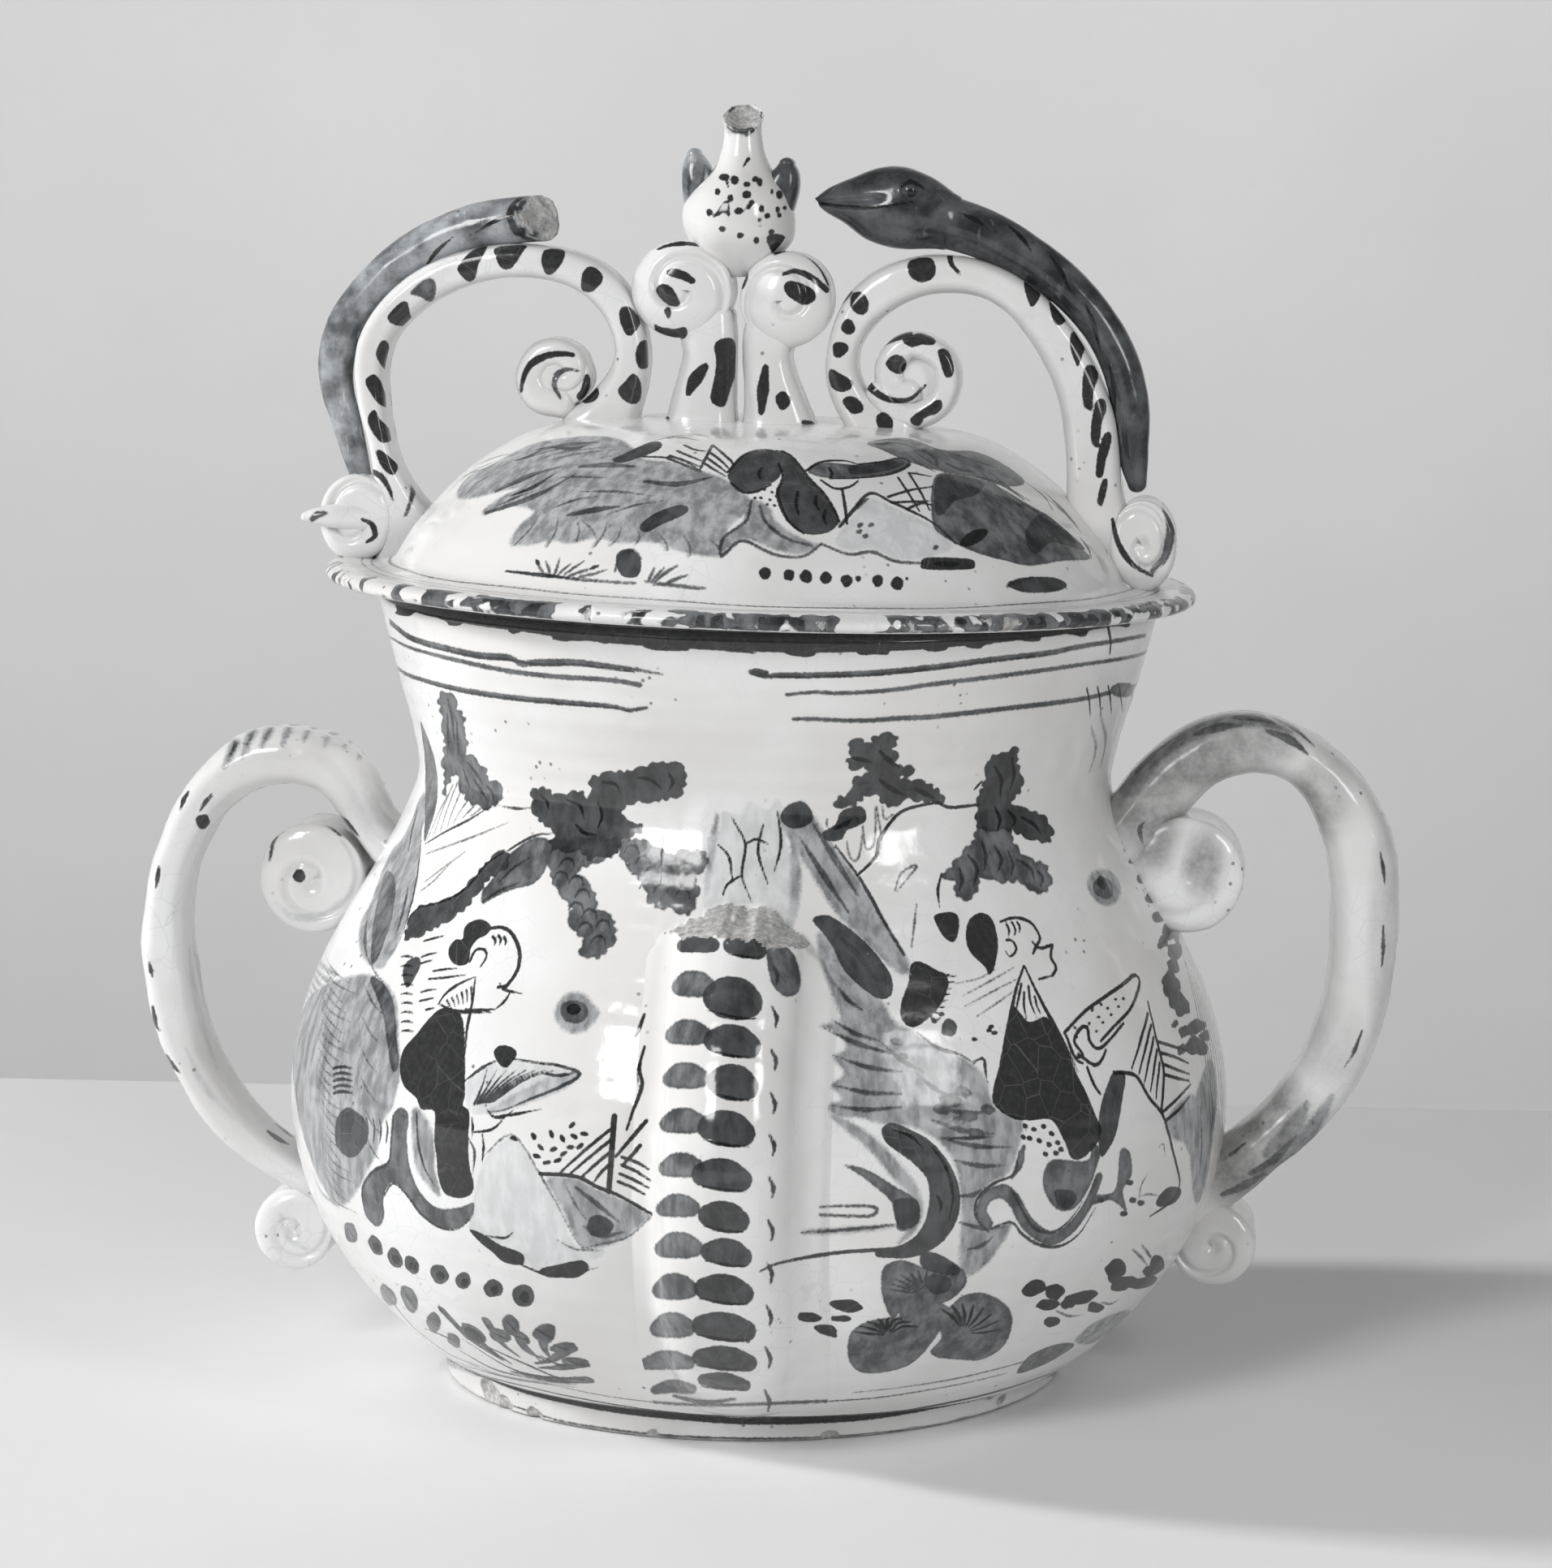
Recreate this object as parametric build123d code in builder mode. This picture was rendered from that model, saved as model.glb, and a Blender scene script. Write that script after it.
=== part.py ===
from build123d import *
import math
import os

# Covered posset pot in tin-glazed earthenware. Millimetres, +Z up.
# Origin: centre of the foot's underside. Spout towards -Y, handles along X.

# ---------------------------------------------------------------- driving dimensions
foot_r = 61.5            # foot ring, outer radius at the table
foot_r_top = 63.0        # foot ring, outer radius where it meets the belly
foot_in_r = 53.0         # foot ring, inner radius
foot_h = 6.0             # foot ring height
pot_lean = 1.2           # the thrown wall leans this many degrees towards +X
rim_h = 154.5            # height of the neck's rim along the leaning axis
wall = 4.5               # belly wall
neck_wall = 4.1          # neck wall
base_top = 11.0          # inside floor, above the table
handle_w = 20.0          # width of the handle straps, along Y
handle_fillet = 3.0
loop_w = 13.0            # width of the lid's loop straps, along Y
loop_fillet = 2.2
scroll_w = 14.0          # width of the two centre scrolls
lid_lean = 1.83          # the lid sits this many degrees down towards +X
lid_x = 1.63             # the lid's centre, off the axis
lid_z = 155.6            # underside of the lid's rim at its centre
lid_r = 85.2             # lid rim radius
flange_r = 67.5          # locating flange, outer radius
flange_in_r = 63.5
flange_depth = 9.0
spout_x = 4.8            # the spout stands a little to the right of the middle
channel_r = 3.5          # the spout's inner channel
break_z = 100.0          # front edge of the spout's broken end

os.makedirs("parts", exist_ok=True)

ct, st = math.cos(math.radians(pot_lean)), math.sin(math.radians(pot_lean))
cl, sl = math.cos(math.radians(lid_lean)), math.sin(math.radians(lid_lean))
pot_plane = Plane(origin=(0, 0, 0), x_dir=(ct, 0, -st), z_dir=(0, -1, 0))
pot_axis = Axis((0, 0, 0), (st, 0, ct))
lid_plane = Plane(origin=(lid_x, 0, lid_z), x_dir=(cl, 0, -sl), z_dir=(0, -1, 0))
lid_axis = Axis((lid_x, 0, lid_z), (sl, 0, cl))

# ---------------------------------------------------------------- thrown profiles (radius, height)
belly = [
    (65.2, 6.0), (69.0, 9.0), (72.3, 12.0), (79.6, 20.0), (86.2, 30.0), (91.0, 42.0), (92.7, 54.0), (91.8, 66.0),
    (88.3, 78.0), (82.4, 90.0), (76.6, 100.0), (71.4, 110.0), (68.3, 119.0), (69.6, 128.0), (72.2, 137.0),
    (74.6, 146.0), (75.6, 150.5),
]
belly_in = [
    (71.4, 150.5), (70.5, 146.0), (68.1, 137.0), (65.5, 128.0), (64.1, 119.0), (67.0, 110.0), (72.1, 100.0),
    (77.9, 90.0), (83.8, 78.0), (87.3, 66.0), (88.2, 54.0), (86.4, 42.0), (81.4, 30.0), (74.2, 20.0), (66.5, 13.6),
]

# the vessel, solid through: used to trim what is luted onto it
with BuildPart() as pot_outer:
    with BuildSketch(pot_plane):
        with BuildLine():
            Line((0, foot_h), belly[0])
            Spline(*belly)
            Line(belly[-1], (76.2, rim_h))
            Line((76.2, rim_h), (0, rim_h))
            Line((0, rim_h), (0, foot_h))
        make_face()
    revolve(axis=pot_axis)

with BuildPart() as pot_body:
    with BuildSketch(pot_plane):
        with BuildLine():
            Line((0, foot_h), belly[0])
            Spline(*belly)
            Spline(belly[-1], (76.3, 153.2), (75.2, rim_h), tangents=[(0.22, 0.97), (-1, 0)])
            Line((75.2, rim_h), (73.6, rim_h))
            Spline((73.6, rim_h), (72.3, 153.4), belly_in[0], tangents=[(-1, 0), (-0.2, -0.97)])
            Spline(*belly_in)
            Spline(belly_in[-1], (61.0, 11.3), (54.0, base_top), tangents=[(-0.75, -0.66), (-1, 0)])
            Line((54.0, base_top), (0, base_top))
            Line((0, base_top), (0, foot_h))
        make_face()
    revolve(axis=pot_axis)

with BuildPart() as foot_ring:
    with BuildSketch(Plane.XZ):
        with BuildLine():
            Polyline(
                (foot_in_r, 0.8), (foot_in_r + 0.8, 0), (foot_r - 0.9, 0), (foot_r, 0.9), (foot_r_top, foot_h + 2.4),
                (foot_in_r - 1.5, foot_h + 2.4), (foot_in_r, 0.8),
            )
        make_face()
    revolve(axis=Axis.Z)
    add(pot_outer.part, mode=Mode.SUBTRACT)

# ---------------------------------------------------------------- spout: half-round tube on the belly
# stations: height, centre y, half-width in x, half-depth in y
spout_stations = [
    (8.5, -64.0, 6.0, 4.5), (11.0, -68.5, 9.2, 7.0), (15.0, -73.0, 11.4, 9.6), (22.0, -79.5, 12.9, 11.6),
    (34.0, -87.6, 13.4, 12.6), (50.0, -92.0, 13.4, 12.8), (66.0, -91.0, 13.2, 12.6), (80.0, -87.0, 12.9, 12.2),
    (92.0, -82.0, 12.6, 11.8), (108.0, -75.5, 12.3, 11.6),
]
with BuildPart() as spout_tube:
    for z, y, rx, ry in spout_stations:
        with BuildSketch(Plane(origin=(spout_x, y, z), z_dir=(0, 0, 1), x_dir=(1, 0, 0))):
            Ellipse(rx, ry)
    loft()
    # the break slopes up towards the wall and a little to the left
    with BuildSketch(Plane(origin=(spout_x, -94.0, break_z), x_dir=(0.995, 0, 0.06), z_dir=(0.03, -0.3, 1))):
        Rectangle(60, 120)
    extrude(amount=30, mode=Mode.SUBTRACT)
    add(pot_outer.part, mode=Mode.SUBTRACT)

channel_line = [
    (-64.0, 17.0), (-70.0, 18.6), (-77.0, 21.2), (-84.0, 25.6), (-90.4, 32.6), (-95.4, 42.0), (-97.8, 54.0),
    (-96.8, 66.0), (-93.4, 77.0), (-89.0, 86.5), (-86.0, 92.0),
]
with BuildPart() as channel:
    with BuildLine() as channel_path:
        Spline(*[(spout_x, y, z) for y, z in channel_line])
    with BuildSketch(Plane(origin=channel_path.line @ 0, z_dir=channel_path.line % 0)):
        Circle(channel_r)
    sweep(path=channel_path.line)

with BuildPart() as spout:
    add(spout_tube.part)
    add(channel.part, mode=Mode.SUBTRACT)

with BuildPart() as pot_wall:
    add(pot_body.part)
    add(channel.part, mode=Mode.SUBTRACT)

# ---------------------------------------------------------------- handles: flat straps bent to a scroll, in the XZ plane
left_handle_outer = [
    (-66.0, 104.0), (-71.1, 107.5), (-73.7, 111.4), (-75.5, 116.0), (-77.6, 120.1), (-80.5, 123.3), (-84.0, 125.3),
    (-89.1, 126.7), (-94.4, 127.3), (-98.5, 126.9), (-101.6, 126.0), (-104.5, 124.5), (-107.5, 122.2), (-110.4, 119.1),
    (-112.9, 115.9), (-115.6, 111.7), (-118.0, 107.1), (-119.9, 102.0), (-121.3, 96.8), (-122.4, 91.2), (-122.9, 85.6),
    (-122.9, 80.3), (-122.4, 75.2), (-121.2, 69.1), (-119.4, 63.2), (-117.0, 57.6), (-114.0, 52.2), (-110.7, 47.6),
    (-107.0, 43.4), (-102.4, 39.7), (-97.5, 36.6), (-93.2, 34.2), (-88.0, 31.6), (-80.0, 27.0),
]
left_handle_inner = [
    (-80.0, 36.0), (-88.6, 39.6), (-95.0, 43.3), (-98.9, 46.4), (-101.9, 49.6), (-104.8, 53.6), (-107.4, 57.9),
    (-109.7, 63.1), (-111.5, 68.9), (-112.7, 74.6), (-113.6, 80.3), (-114.0, 85.9), (-113.9, 91.2), (-113.2, 95.8),
    (-112.1, 99.6), (-110.4, 103.4), (-108.3, 106.9), (-105.8, 110.0), (-102.0, 113.0), (-97.6, 115.1), (-93.8, 115.8),
    (-90.6, 115.8), (-87.7, 115.2), (-85.3, 113.9), (-83.3, 111.8), (-81.2, 108.6), (-78.0, 104.4), (-72.0, 98.0),
]
right_handle_outer = [
    (66.0, 108.0), (69.0, 112.6), (71.8, 116.5), (74.6, 120.2), (77.7, 123.5), (81.4, 126.8), (85.5, 129.8),
    (89.3, 131.4), (93.4, 132.3), (97.5, 132.3), (101.4, 131.7), (105.8, 130.2), (110.1, 128.0), (114.0, 125.3),
    (117.2, 122.4), (120.2, 118.9), (122.8, 115.0), (124.7, 111.1), (126.0, 106.8), (126.8, 102.1), (127.1, 97.4),
    (127.1, 91.2), (126.7, 85.3), (126.0, 79.1), (124.9, 72.9), (123.2, 67.2), (120.9, 61.7), (117.9, 56.6),
    (114.4, 52.0), (110.6, 47.9), (106.6, 44.3), (102.6, 41.0), (98.6, 37.6), (90.0, 30.5), (80.0, 23.0),
]
right_handle_inner = [
    (80.0, 40.0), (89.2, 45.4), (94.2, 48.5), (97.7, 51.2), (101.0, 54.4), (104.3, 58.3), (107.1, 62.6),
    (109.3, 66.7), (111.0, 71.0), (112.2, 75.6), (113.1, 80.4), (113.6, 85.5), (113.8, 90.5), (113.7, 96.0),
    (113.2, 101.1), (112.5, 105.5), (111.4, 109.6), (109.9, 113.3), (107.9, 116.4), (105.4, 118.9), (102.4, 120.3),
    (99.2, 120.8), (96.0, 120.4), (92.8, 119.4), (89.9, 117.8), (87.6, 115.6), (85.6, 113.0), (82.6, 109.2),
    (78.6, 104.6), (70.0, 97.0),
]

with BuildPart() as left_bent_strap:
    with BuildSketch(Plane.XZ):
        with BuildLine():
            Spline(*left_handle_outer)
            Line(left_handle_outer[-1], left_handle_inner[0])
            Spline(*left_handle_inner)
            Line(left_handle_inner[-1], left_handle_outer[0])
        make_face()
    extrude(amount=handle_w / 2, both=True)
    fillet(left_bent_strap.faces().filter_by(Axis.Y).edges(), radius=handle_fillet)

with BuildPart() as left_handle_strap:
    add(left_bent_strap.part)
    add(pot_outer.part, mode=Mode.SUBTRACT)

with BuildPart() as right_bent_strap:
    with BuildSketch(Plane.XZ):
        with BuildLine():
            Spline(*right_handle_outer)
            Line(right_handle_outer[-1], right_handle_inner[0])
            Spline(*right_handle_inner)
            Line(right_handle_inner[-1], right_handle_outer[0])
        make_face()
    extrude(amount=handle_w / 2, both=True)
    fillet(right_bent_strap.faces().filter_by(Axis.Y).edges(), radius=handle_fillet)

with BuildPart() as right_handle_strap:
    add(right_bent_strap.part)
    add(pot_outer.part, mode=Mode.SUBTRACT)

# rolled ends of the handle straps: (x, z, half-width, half-height)
left_upper = (-87.2, 97.6, 10.4, 10.6)
left_lower = (-91.6, 26.4, 7.8, 7.9)
right_upper = (85.4, 101.0, 11.2, 11.0)
right_lower = (91.8, 27.6, 8.0, 7.8)

with BuildPart() as left_handle_upper_scroll:
    with BuildSketch(Plane.XZ):
        with Locations((left_upper[0], left_upper[1])):
            Ellipse(left_upper[2], left_upper[3])
    extrude(amount=handle_w / 2 - 0.5, both=True)
    fillet(left_handle_upper_scroll.faces().filter_by(Axis.Y).edges(), radius=3.4)
    add([left_bent_strap.part, pot_outer.part], mode=Mode.SUBTRACT)

with BuildPart() as left_handle_lower_scroll:
    with BuildSketch(Plane.XZ):
        with Locations((left_lower[0], left_lower[1])):
            Ellipse(left_lower[2], left_lower[3])
    extrude(amount=handle_w / 2 - 0.5, both=True)
    fillet(left_handle_lower_scroll.faces().filter_by(Axis.Y).edges(), radius=3.4)
    add([left_bent_strap.part, pot_outer.part], mode=Mode.SUBTRACT)

with BuildPart() as right_handle_upper_scroll:
    with BuildSketch(Plane.XZ):
        with Locations((right_upper[0], right_upper[1])):
            Ellipse(right_upper[2], right_upper[3])
    extrude(amount=handle_w / 2 - 0.5, both=True)
    fillet(right_handle_upper_scroll.faces().filter_by(Axis.Y).edges(), radius=3.4)
    add([right_bent_strap.part, pot_outer.part], mode=Mode.SUBTRACT)

with BuildPart() as right_handle_lower_scroll:
    with BuildSketch(Plane.XZ):
        with Locations((right_lower[0], right_lower[1])):
            Ellipse(right_lower[2], right_lower[3])
    extrude(amount=handle_w / 2 - 0.5, both=True)
    fillet(right_handle_lower_scroll.faces().filter_by(Axis.Y).edges(), radius=3.4)
    add([right_bent_strap.part, pot_outer.part], mode=Mode.SUBTRACT)

# ---------------------------------------------------------------- lid: thrown hollow dome with a flat rim
dome = [
    (71.6, 3.4), (70.9, 6.4), (68.2, 10.5), (64.5, 15.0), (60.4, 19.5), (56.6, 22.8), (52.0, 26.0), (47.2, 28.8),
    (42.5, 30.7), (36.5, 32.0), (25.0, 32.7), (14.0, 32.8),
]
dome_in = [
    (14.0, 28.4), (25.0, 28.2), (35.5, 27.4), (41.0, 26.0), (45.4, 24.2), (50.0, 21.4), (54.4, 18.0),
    (58.2, 14.2), (61.2, 10.0), (62.9, 6.0), (flange_in_r, 2.2),
]
with BuildPart() as lid_outer:
    with BuildSketch(lid_plane):
        with BuildLine():
            Line((0, 0), (lid_r - 1.6, 0))
            ThreePointArc((lid_r - 1.6, 0), (lid_r, 1.6), (lid_r - 1.6, 3.2))
            Line((lid_r - 1.6, 3.2), (74.0, 3.2))
            Line((74.0, 3.2), dome[0])
            Spline(*dome)
            Polyline(dome[-1], (0, dome[-1][1]), (0, 0))
        make_face()
    revolve(axis=lid_axis)

with BuildPart() as lid_dome:
    with BuildSketch(lid_plane):
        with BuildLine():
            Line((flange_in_r, 0), (lid_r - 1.6, 0))
            ThreePointArc((lid_r - 1.6, 0), (lid_r, 1.6), (lid_r - 1.6, 3.2))
            Line((lid_r - 1.6, 3.2), (74.0, 3.2))
            Line((74.0, 3.2), dome[0])
            Spline(*dome)
            Polyline(dome[-1], (0, dome[-1][1]), (0, dome_in[0][1]), dome_in[0])
            Spline(*dome_in, tangents=[(1, 0), (0.1, -1)])
            Line(dome_in[-1], (flange_in_r, 0))
        make_face()
    revolve(axis=lid_axis)

with BuildPart() as lid_locating_flange:
    with BuildSketch(lid_plane):
        with BuildLine():
            Polyline(
                (flange_in_r, 0), (flange_r, 0), (flange_r - 0.3, -flange_depth + 1.2),
                (flange_r - 1.4, -flange_depth), (flange_in_r + 1.0, -flange_depth), (flange_in_r, -flange_depth + 1.0),
                (flange_in_r, 0),
            )
        make_face()
    revolve(axis=lid_axis)

# ---------------------------------------------------------------- loops on the lid: straps in the XZ plane
left_loop_outer = [
    (-75.2, 160.0), (-74.6, 165.0), (-74.3, 171.0), (-74.9, 177.6), (-76.0, 184.0), (-77.7, 190.4), (-78.7, 197.8),
    (-77.6, 204.4), (-75.0, 209.4), (-71.1, 213.7), (-65.9, 217.7), (-60.0, 220.6), (-53.1, 222.3), (-45.3, 222.8),
    (-38.3, 222.3), (-32.1, 220.6), (-26.7, 217.2), (-22.8, 212.2), (-20.6, 205.8), (-20.1, 199.8), (-20.9, 194.2),
    (-22.2, 189.0), (-22.9, 186.0),
]
left_loop_inner = [
    (-38.0, 186.0), (-35.1, 189.5), (-32.3, 192.2), (-29.8, 194.9), (-28.0, 197.4), (-26.9, 200.2), (-26.9, 203.6),
    (-28.9, 208.6), (-33.2, 213.0), (-39.0, 215.6), (-45.8, 216.3), (-53.6, 215.2), (-61.0, 212.4), (-67.0, 208.4),
    (-70.6, 204.4), (-72.1, 200.2), (-72.4, 195.2), (-71.8, 187.6), (-70.1, 180.6), (-66.6, 173.6), (-62.0, 167.0),
    (-58.0, 160.0),
]
right_loop_outer = [
    (76.4, 156.0), (75.2, 163.0), (73.6, 170.0), (72.2, 177.4), (71.6, 184.6), (70.3, 191.4), (67.4, 198.7),
    (63.3, 205.9), (58.0, 212.0), (52.5, 216.3), (47.0, 219.0), (41.5, 220.5), (35.4, 221.0), (29.8, 220.2),
    (24.1, 218.0), (19.4, 214.1), (16.4, 208.6), (14.7, 202.7), (14.5, 197.4), (15.8, 192.6), (18.0, 188.2),
    (19.2, 185.0),
]
right_loop_inner = [
    (34.0, 185.0), (28.2, 189.0), (23.4, 192.8), (21.2, 196.8), (20.9, 200.8), (22.1, 204.5), (25.0, 208.0),
    (29.7, 211.3), (36.2, 213.4), (44.4, 212.8), (50.7, 208.9), (56.1, 201.4), (59.6, 193.6), (61.1, 185.6),
    (61.5, 176.8), (61.0, 168.0), (58.0, 158.0),
]

with BuildPart() as left_bent_loop:
    with BuildSketch(Plane.XZ):
        with BuildLine():
            Spline(*left_loop_outer)
            Line(left_loop_outer[-1], left_loop_inner[0])
            Spline(*left_loop_inner)
            Line(left_loop_inner[-1], left_loop_outer[0])
        make_face()
    extrude(amount=loop_w / 2, both=True)
    fillet(left_bent_loop.faces().filter_by(Axis.Y).edges(), radius=loop_fillet)

with BuildPart() as left_loop_strap:
    add(left_bent_loop.part)
    add(lid_outer.part, mode=Mode.SUBTRACT)

with BuildPart() as right_bent_loop:
    with BuildSketch(Plane.XZ):
        with BuildLine():
            Spline(*right_loop_outer)
            Line(right_loop_outer[-1], right_loop_inner[0])
            Spline(*right_loop_inner)
            Line(right_loop_inner[-1], right_loop_outer[0])
        make_face()
    extrude(amount=loop_w / 2, both=True)
    fillet(right_bent_loop.faces().filter_by(Axis.Y).edges(), radius=loop_fillet)

with BuildPart() as right_loop_strap:
    add(right_bent_loop.part)
    add(lid_outer.part, mode=Mode.SUBTRACT)

# rolled ends of the loop straps: (x, z, half-width, half-height)
left_inner = (-38.1, 197.0, 8.7, 8.1)
right_inner = (31.5, 197.1, 9.9, 9.6)
left_foot = (-78.0, 169.2, 7.0, 8.4)
right_foot = (76.6, 165.0, 6.0, 8.8)

with BuildPart() as left_loop_inner_scroll:
    with BuildSketch(Plane.XZ):
        with Locations((left_inner[0], left_inner[1])):
            Ellipse(left_inner[2], left_inner[3])
    extrude(amount=loop_w / 2, both=True)
    fillet(left_loop_inner_scroll.faces().filter_by(Axis.Y).edges(), radius=2.6)
    add(left_bent_loop.part, mode=Mode.SUBTRACT)

with BuildPart() as right_loop_inner_scroll:
    with BuildSketch(Plane.XZ):
        with Locations((right_inner[0], right_inner[1])):
            Ellipse(right_inner[2], right_inner[3])
    extrude(amount=loop_w / 2, both=True)
    fillet(right_loop_inner_scroll.faces().filter_by(Axis.Y).edges(), radius=2.6)
    add(right_bent_loop.part, mode=Mode.SUBTRACT)

with BuildPart() as left_loop_foot_scroll:
    with BuildSketch(Plane.XZ):
        with Locations((left_foot[0], left_foot[1])):
            Ellipse(left_foot[2], left_foot[3])
    extrude(amount=loop_w / 2 + 1.0, both=True)
    fillet(left_loop_foot_scroll.faces().filter_by(Axis.Y).edges(), radius=2.6)
    add([left_bent_loop.part, lid_outer.part], mode=Mode.SUBTRACT)

with BuildPart() as right_loop_foot_scroll:
    with BuildSketch(Plane.XZ):
        with Locations((right_foot[0], right_foot[1])):
            Ellipse(right_foot[2], right_foot[3])
    extrude(amount=loop_w / 2 + 1.0, both=True)
    fillet(right_loop_foot_scroll.faces().filter_by(Axis.Y).edges(), radius=2.6)
    add([right_bent_loop.part, lid_outer.part], mode=Mode.SUBTRACT)

# pointed end that stands forward and out of the left foot scroll
with BuildPart() as left_foot_tail:
    for x, y, z, r in [(-77.6, -6.6, 169.4, 2.3), (-80.6, -7.6, 169.6, 2.3), (-83.6, -8.4, 169.6, 2.1),
                       (-86.4, -9.0, 169.6, 1.6), (-88.0, -9.3, 169.6, 0.9)]:
        with BuildSketch(Plane(origin=(x, y, z), z_dir=(-0.95, -0.25, 0.02), x_dir=(0, 0, 1))):
            Circle(r)
    loft()
    add(left_loop_foot_scroll.part, mode=Mode.SUBTRACT)
    add(left_loop_strap.part, mode=Mode.SUBTRACT)

# serpents: tapering coils of clay laid along the straps' outer faces: (x, z, half-thickness)
left_serpent_stations = [
    (-77.6, 175.6, 2.0), (-79.2, 181.8, 2.6), (-80.9, 188.2, 3.0), (-82.5, 194.2, 3.3), (-82.6, 200.2, 3.6),
    (-80.6, 206.6, 3.8), (-76.3, 212.8, 4.0), (-70.2, 218.6, 4.1), (-62.4, 223.3, 4.3), (-54.2, 226.2, 4.4),
    (-46.6, 227.3, 4.5), (-41.0, 227.8, 4.6),
]
right_serpent_stations = [
    (75.2, 176.4, 1.9), (74.3, 183.0, 2.9), (73.9, 191.2, 3.6), (71.9, 199.4, 3.8), (67.7, 207.4, 3.9),
    (61.9, 214.0, 4.0), (55.2, 219.2, 4.3), (48.4, 223.2, 4.7), (41.9, 226.0, 5.0), (36.5, 227.4, 5.2),
]

def coil_planes(stations):
    planes = []
    for i, (x, z, r) in enumerate(stations):
        x0, z0, _ = stations[max(i - 1, 0)]
        x1, z1, _ = stations[min(i + 1, len(stations) - 1)]
        planes.append((Plane(origin=(x, 0, z), z_dir=(x1 - x0, 0, z1 - z0), x_dir=(0, 1, 0)), r))
    return planes

with BuildPart() as left_serpent:
    for plane, r in coil_planes(left_serpent_stations):
        with BuildSketch(plane):
            Ellipse(r * 1.15, r)
    loft()
    add(left_loop_strap.part, mode=Mode.SUBTRACT)
    add(left_loop_foot_scroll.part, mode=Mode.SUBTRACT)

# head: (x, z, half-height, half-width in y)
head_stations = [
    (12.5, 231.2, 0.7, 1.0), (14.7, 231.2, 2.4, 2.9), (18.7, 231.1, 4.5, 4.9), (23.4, 230.6, 7.0, 6.6),
    (28.3, 230.0, 7.9, 7.4), (32.9, 228.9, 7.3, 7.2), (37.6, 227.4, 5.7, 6.3),
]
with BuildPart() as right_serpent_head:
    for x, z, hz, hy in head_stations:
        with BuildSketch(Plane(origin=(x, 0, z), z_dir=(1, 0, 0), x_dir=(0, 1, 0))):
            Ellipse(hy, hz)
    loft()
    add(right_loop_strap.part, mode=Mode.SUBTRACT)

with BuildPart() as right_serpent_body:
    for plane, r in coil_planes(right_serpent_stations):
        with BuildSketch(plane):
            Ellipse(r * 1.15, r)
    loft()
    add(right_loop_strap.part, mode=Mode.SUBTRACT)
    add(right_loop_foot_scroll.part, mode=Mode.SUBTRACT)
    add(right_serpent_head.part, mode=Mode.SUBTRACT)

with BuildPart() as right_serpent_eyes:
    with Locations((31.0, -6.1, 233.2), (31.0, 6.1, 233.2)):
        Sphere(1.7, rotation=(90, 0, 0))
    add(right_serpent_head.part, mode=Mode.SUBTRACT)

# ---------------------------------------------------------------- the two centre scrolls under the bird
centre_left_line = [
    (-17.6, 181.0), (-16.7, 186.0), (-15.7, 190.7), (-14.4, 196.2), (-13.5, 201.0), (-14.0, 203.6), (-16.3, 205.4), (-19.0, 207.8),
    (-21.1, 211.2), (-22.0, 215.1), (-21.2, 219.0), (-18.4, 222.0), (-14.0, 223.2), (-9.9, 222.4), (-6.4, 220.0),
    (-4.2, 216.8), (-3.0, 212.6), (-2.7, 207.1), (-2.8, 200.7), (-2.9, 194.3), (-2.9, 187.0), (-2.9, 181.0),
]
centre_right_line = [
    (-1.9, 181.0), (-1.9, 187.0), (-1.9, 194.3), (-1.8, 201.0), (-1.7, 207.3), (-1.6, 213.0), (0.2, 217.0), (3.3, 220.0),
    (7.4, 221.4), (11.2, 220.4), (14.0, 217.6), (15.8, 213.1), (15.4, 208.7), (13.2, 205.2), (10.0, 203.0),
    (7.9, 201.0), (8.2, 197.2), (9.2, 192.4), (10.7, 186.0), (12.0, 181.0),
]
# the dome's top is flat where the two scrolls stand
dome_top = Plane(origin=(lid_x + 32.81 * sl, 0, lid_z + 32.81 * cl), x_dir=(cl, 0, -sl), z_dir=(sl, 0, cl))
with BuildPart() as centre_left_scroll:
    with BuildSketch(Plane.XZ):
        with BuildLine():
            Spline(*centre_left_line)
            Line(centre_left_line[-1], centre_left_line[0])
        make_face()
    extrude(amount=scroll_w / 2, both=True)
    fillet(centre_left_scroll.faces().filter_by(Axis.Y).edges(), radius=1.8)
    with BuildSketch(dome_top):
        Rectangle(120, 60)
    extrude(amount=-30, mode=Mode.SUBTRACT)

with BuildPart() as centre_right_scroll:
    with BuildSketch(Plane.XZ):
        with BuildLine():
            Spline(*centre_right_line)
            Line(centre_right_line[-1], centre_right_line[0])
        make_face()
    extrude(amount=scroll_w / 2, both=True)
    fillet(centre_right_scroll.faces().filter_by(Axis.Y).edges(), radius=1.8)
    with BuildSketch(dome_top):
        Rectangle(120, 60)
    extrude(amount=-30, mode=Mode.SUBTRACT)
    add(right_bent_loop.part, mode=Mode.SUBTRACT)

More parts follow.
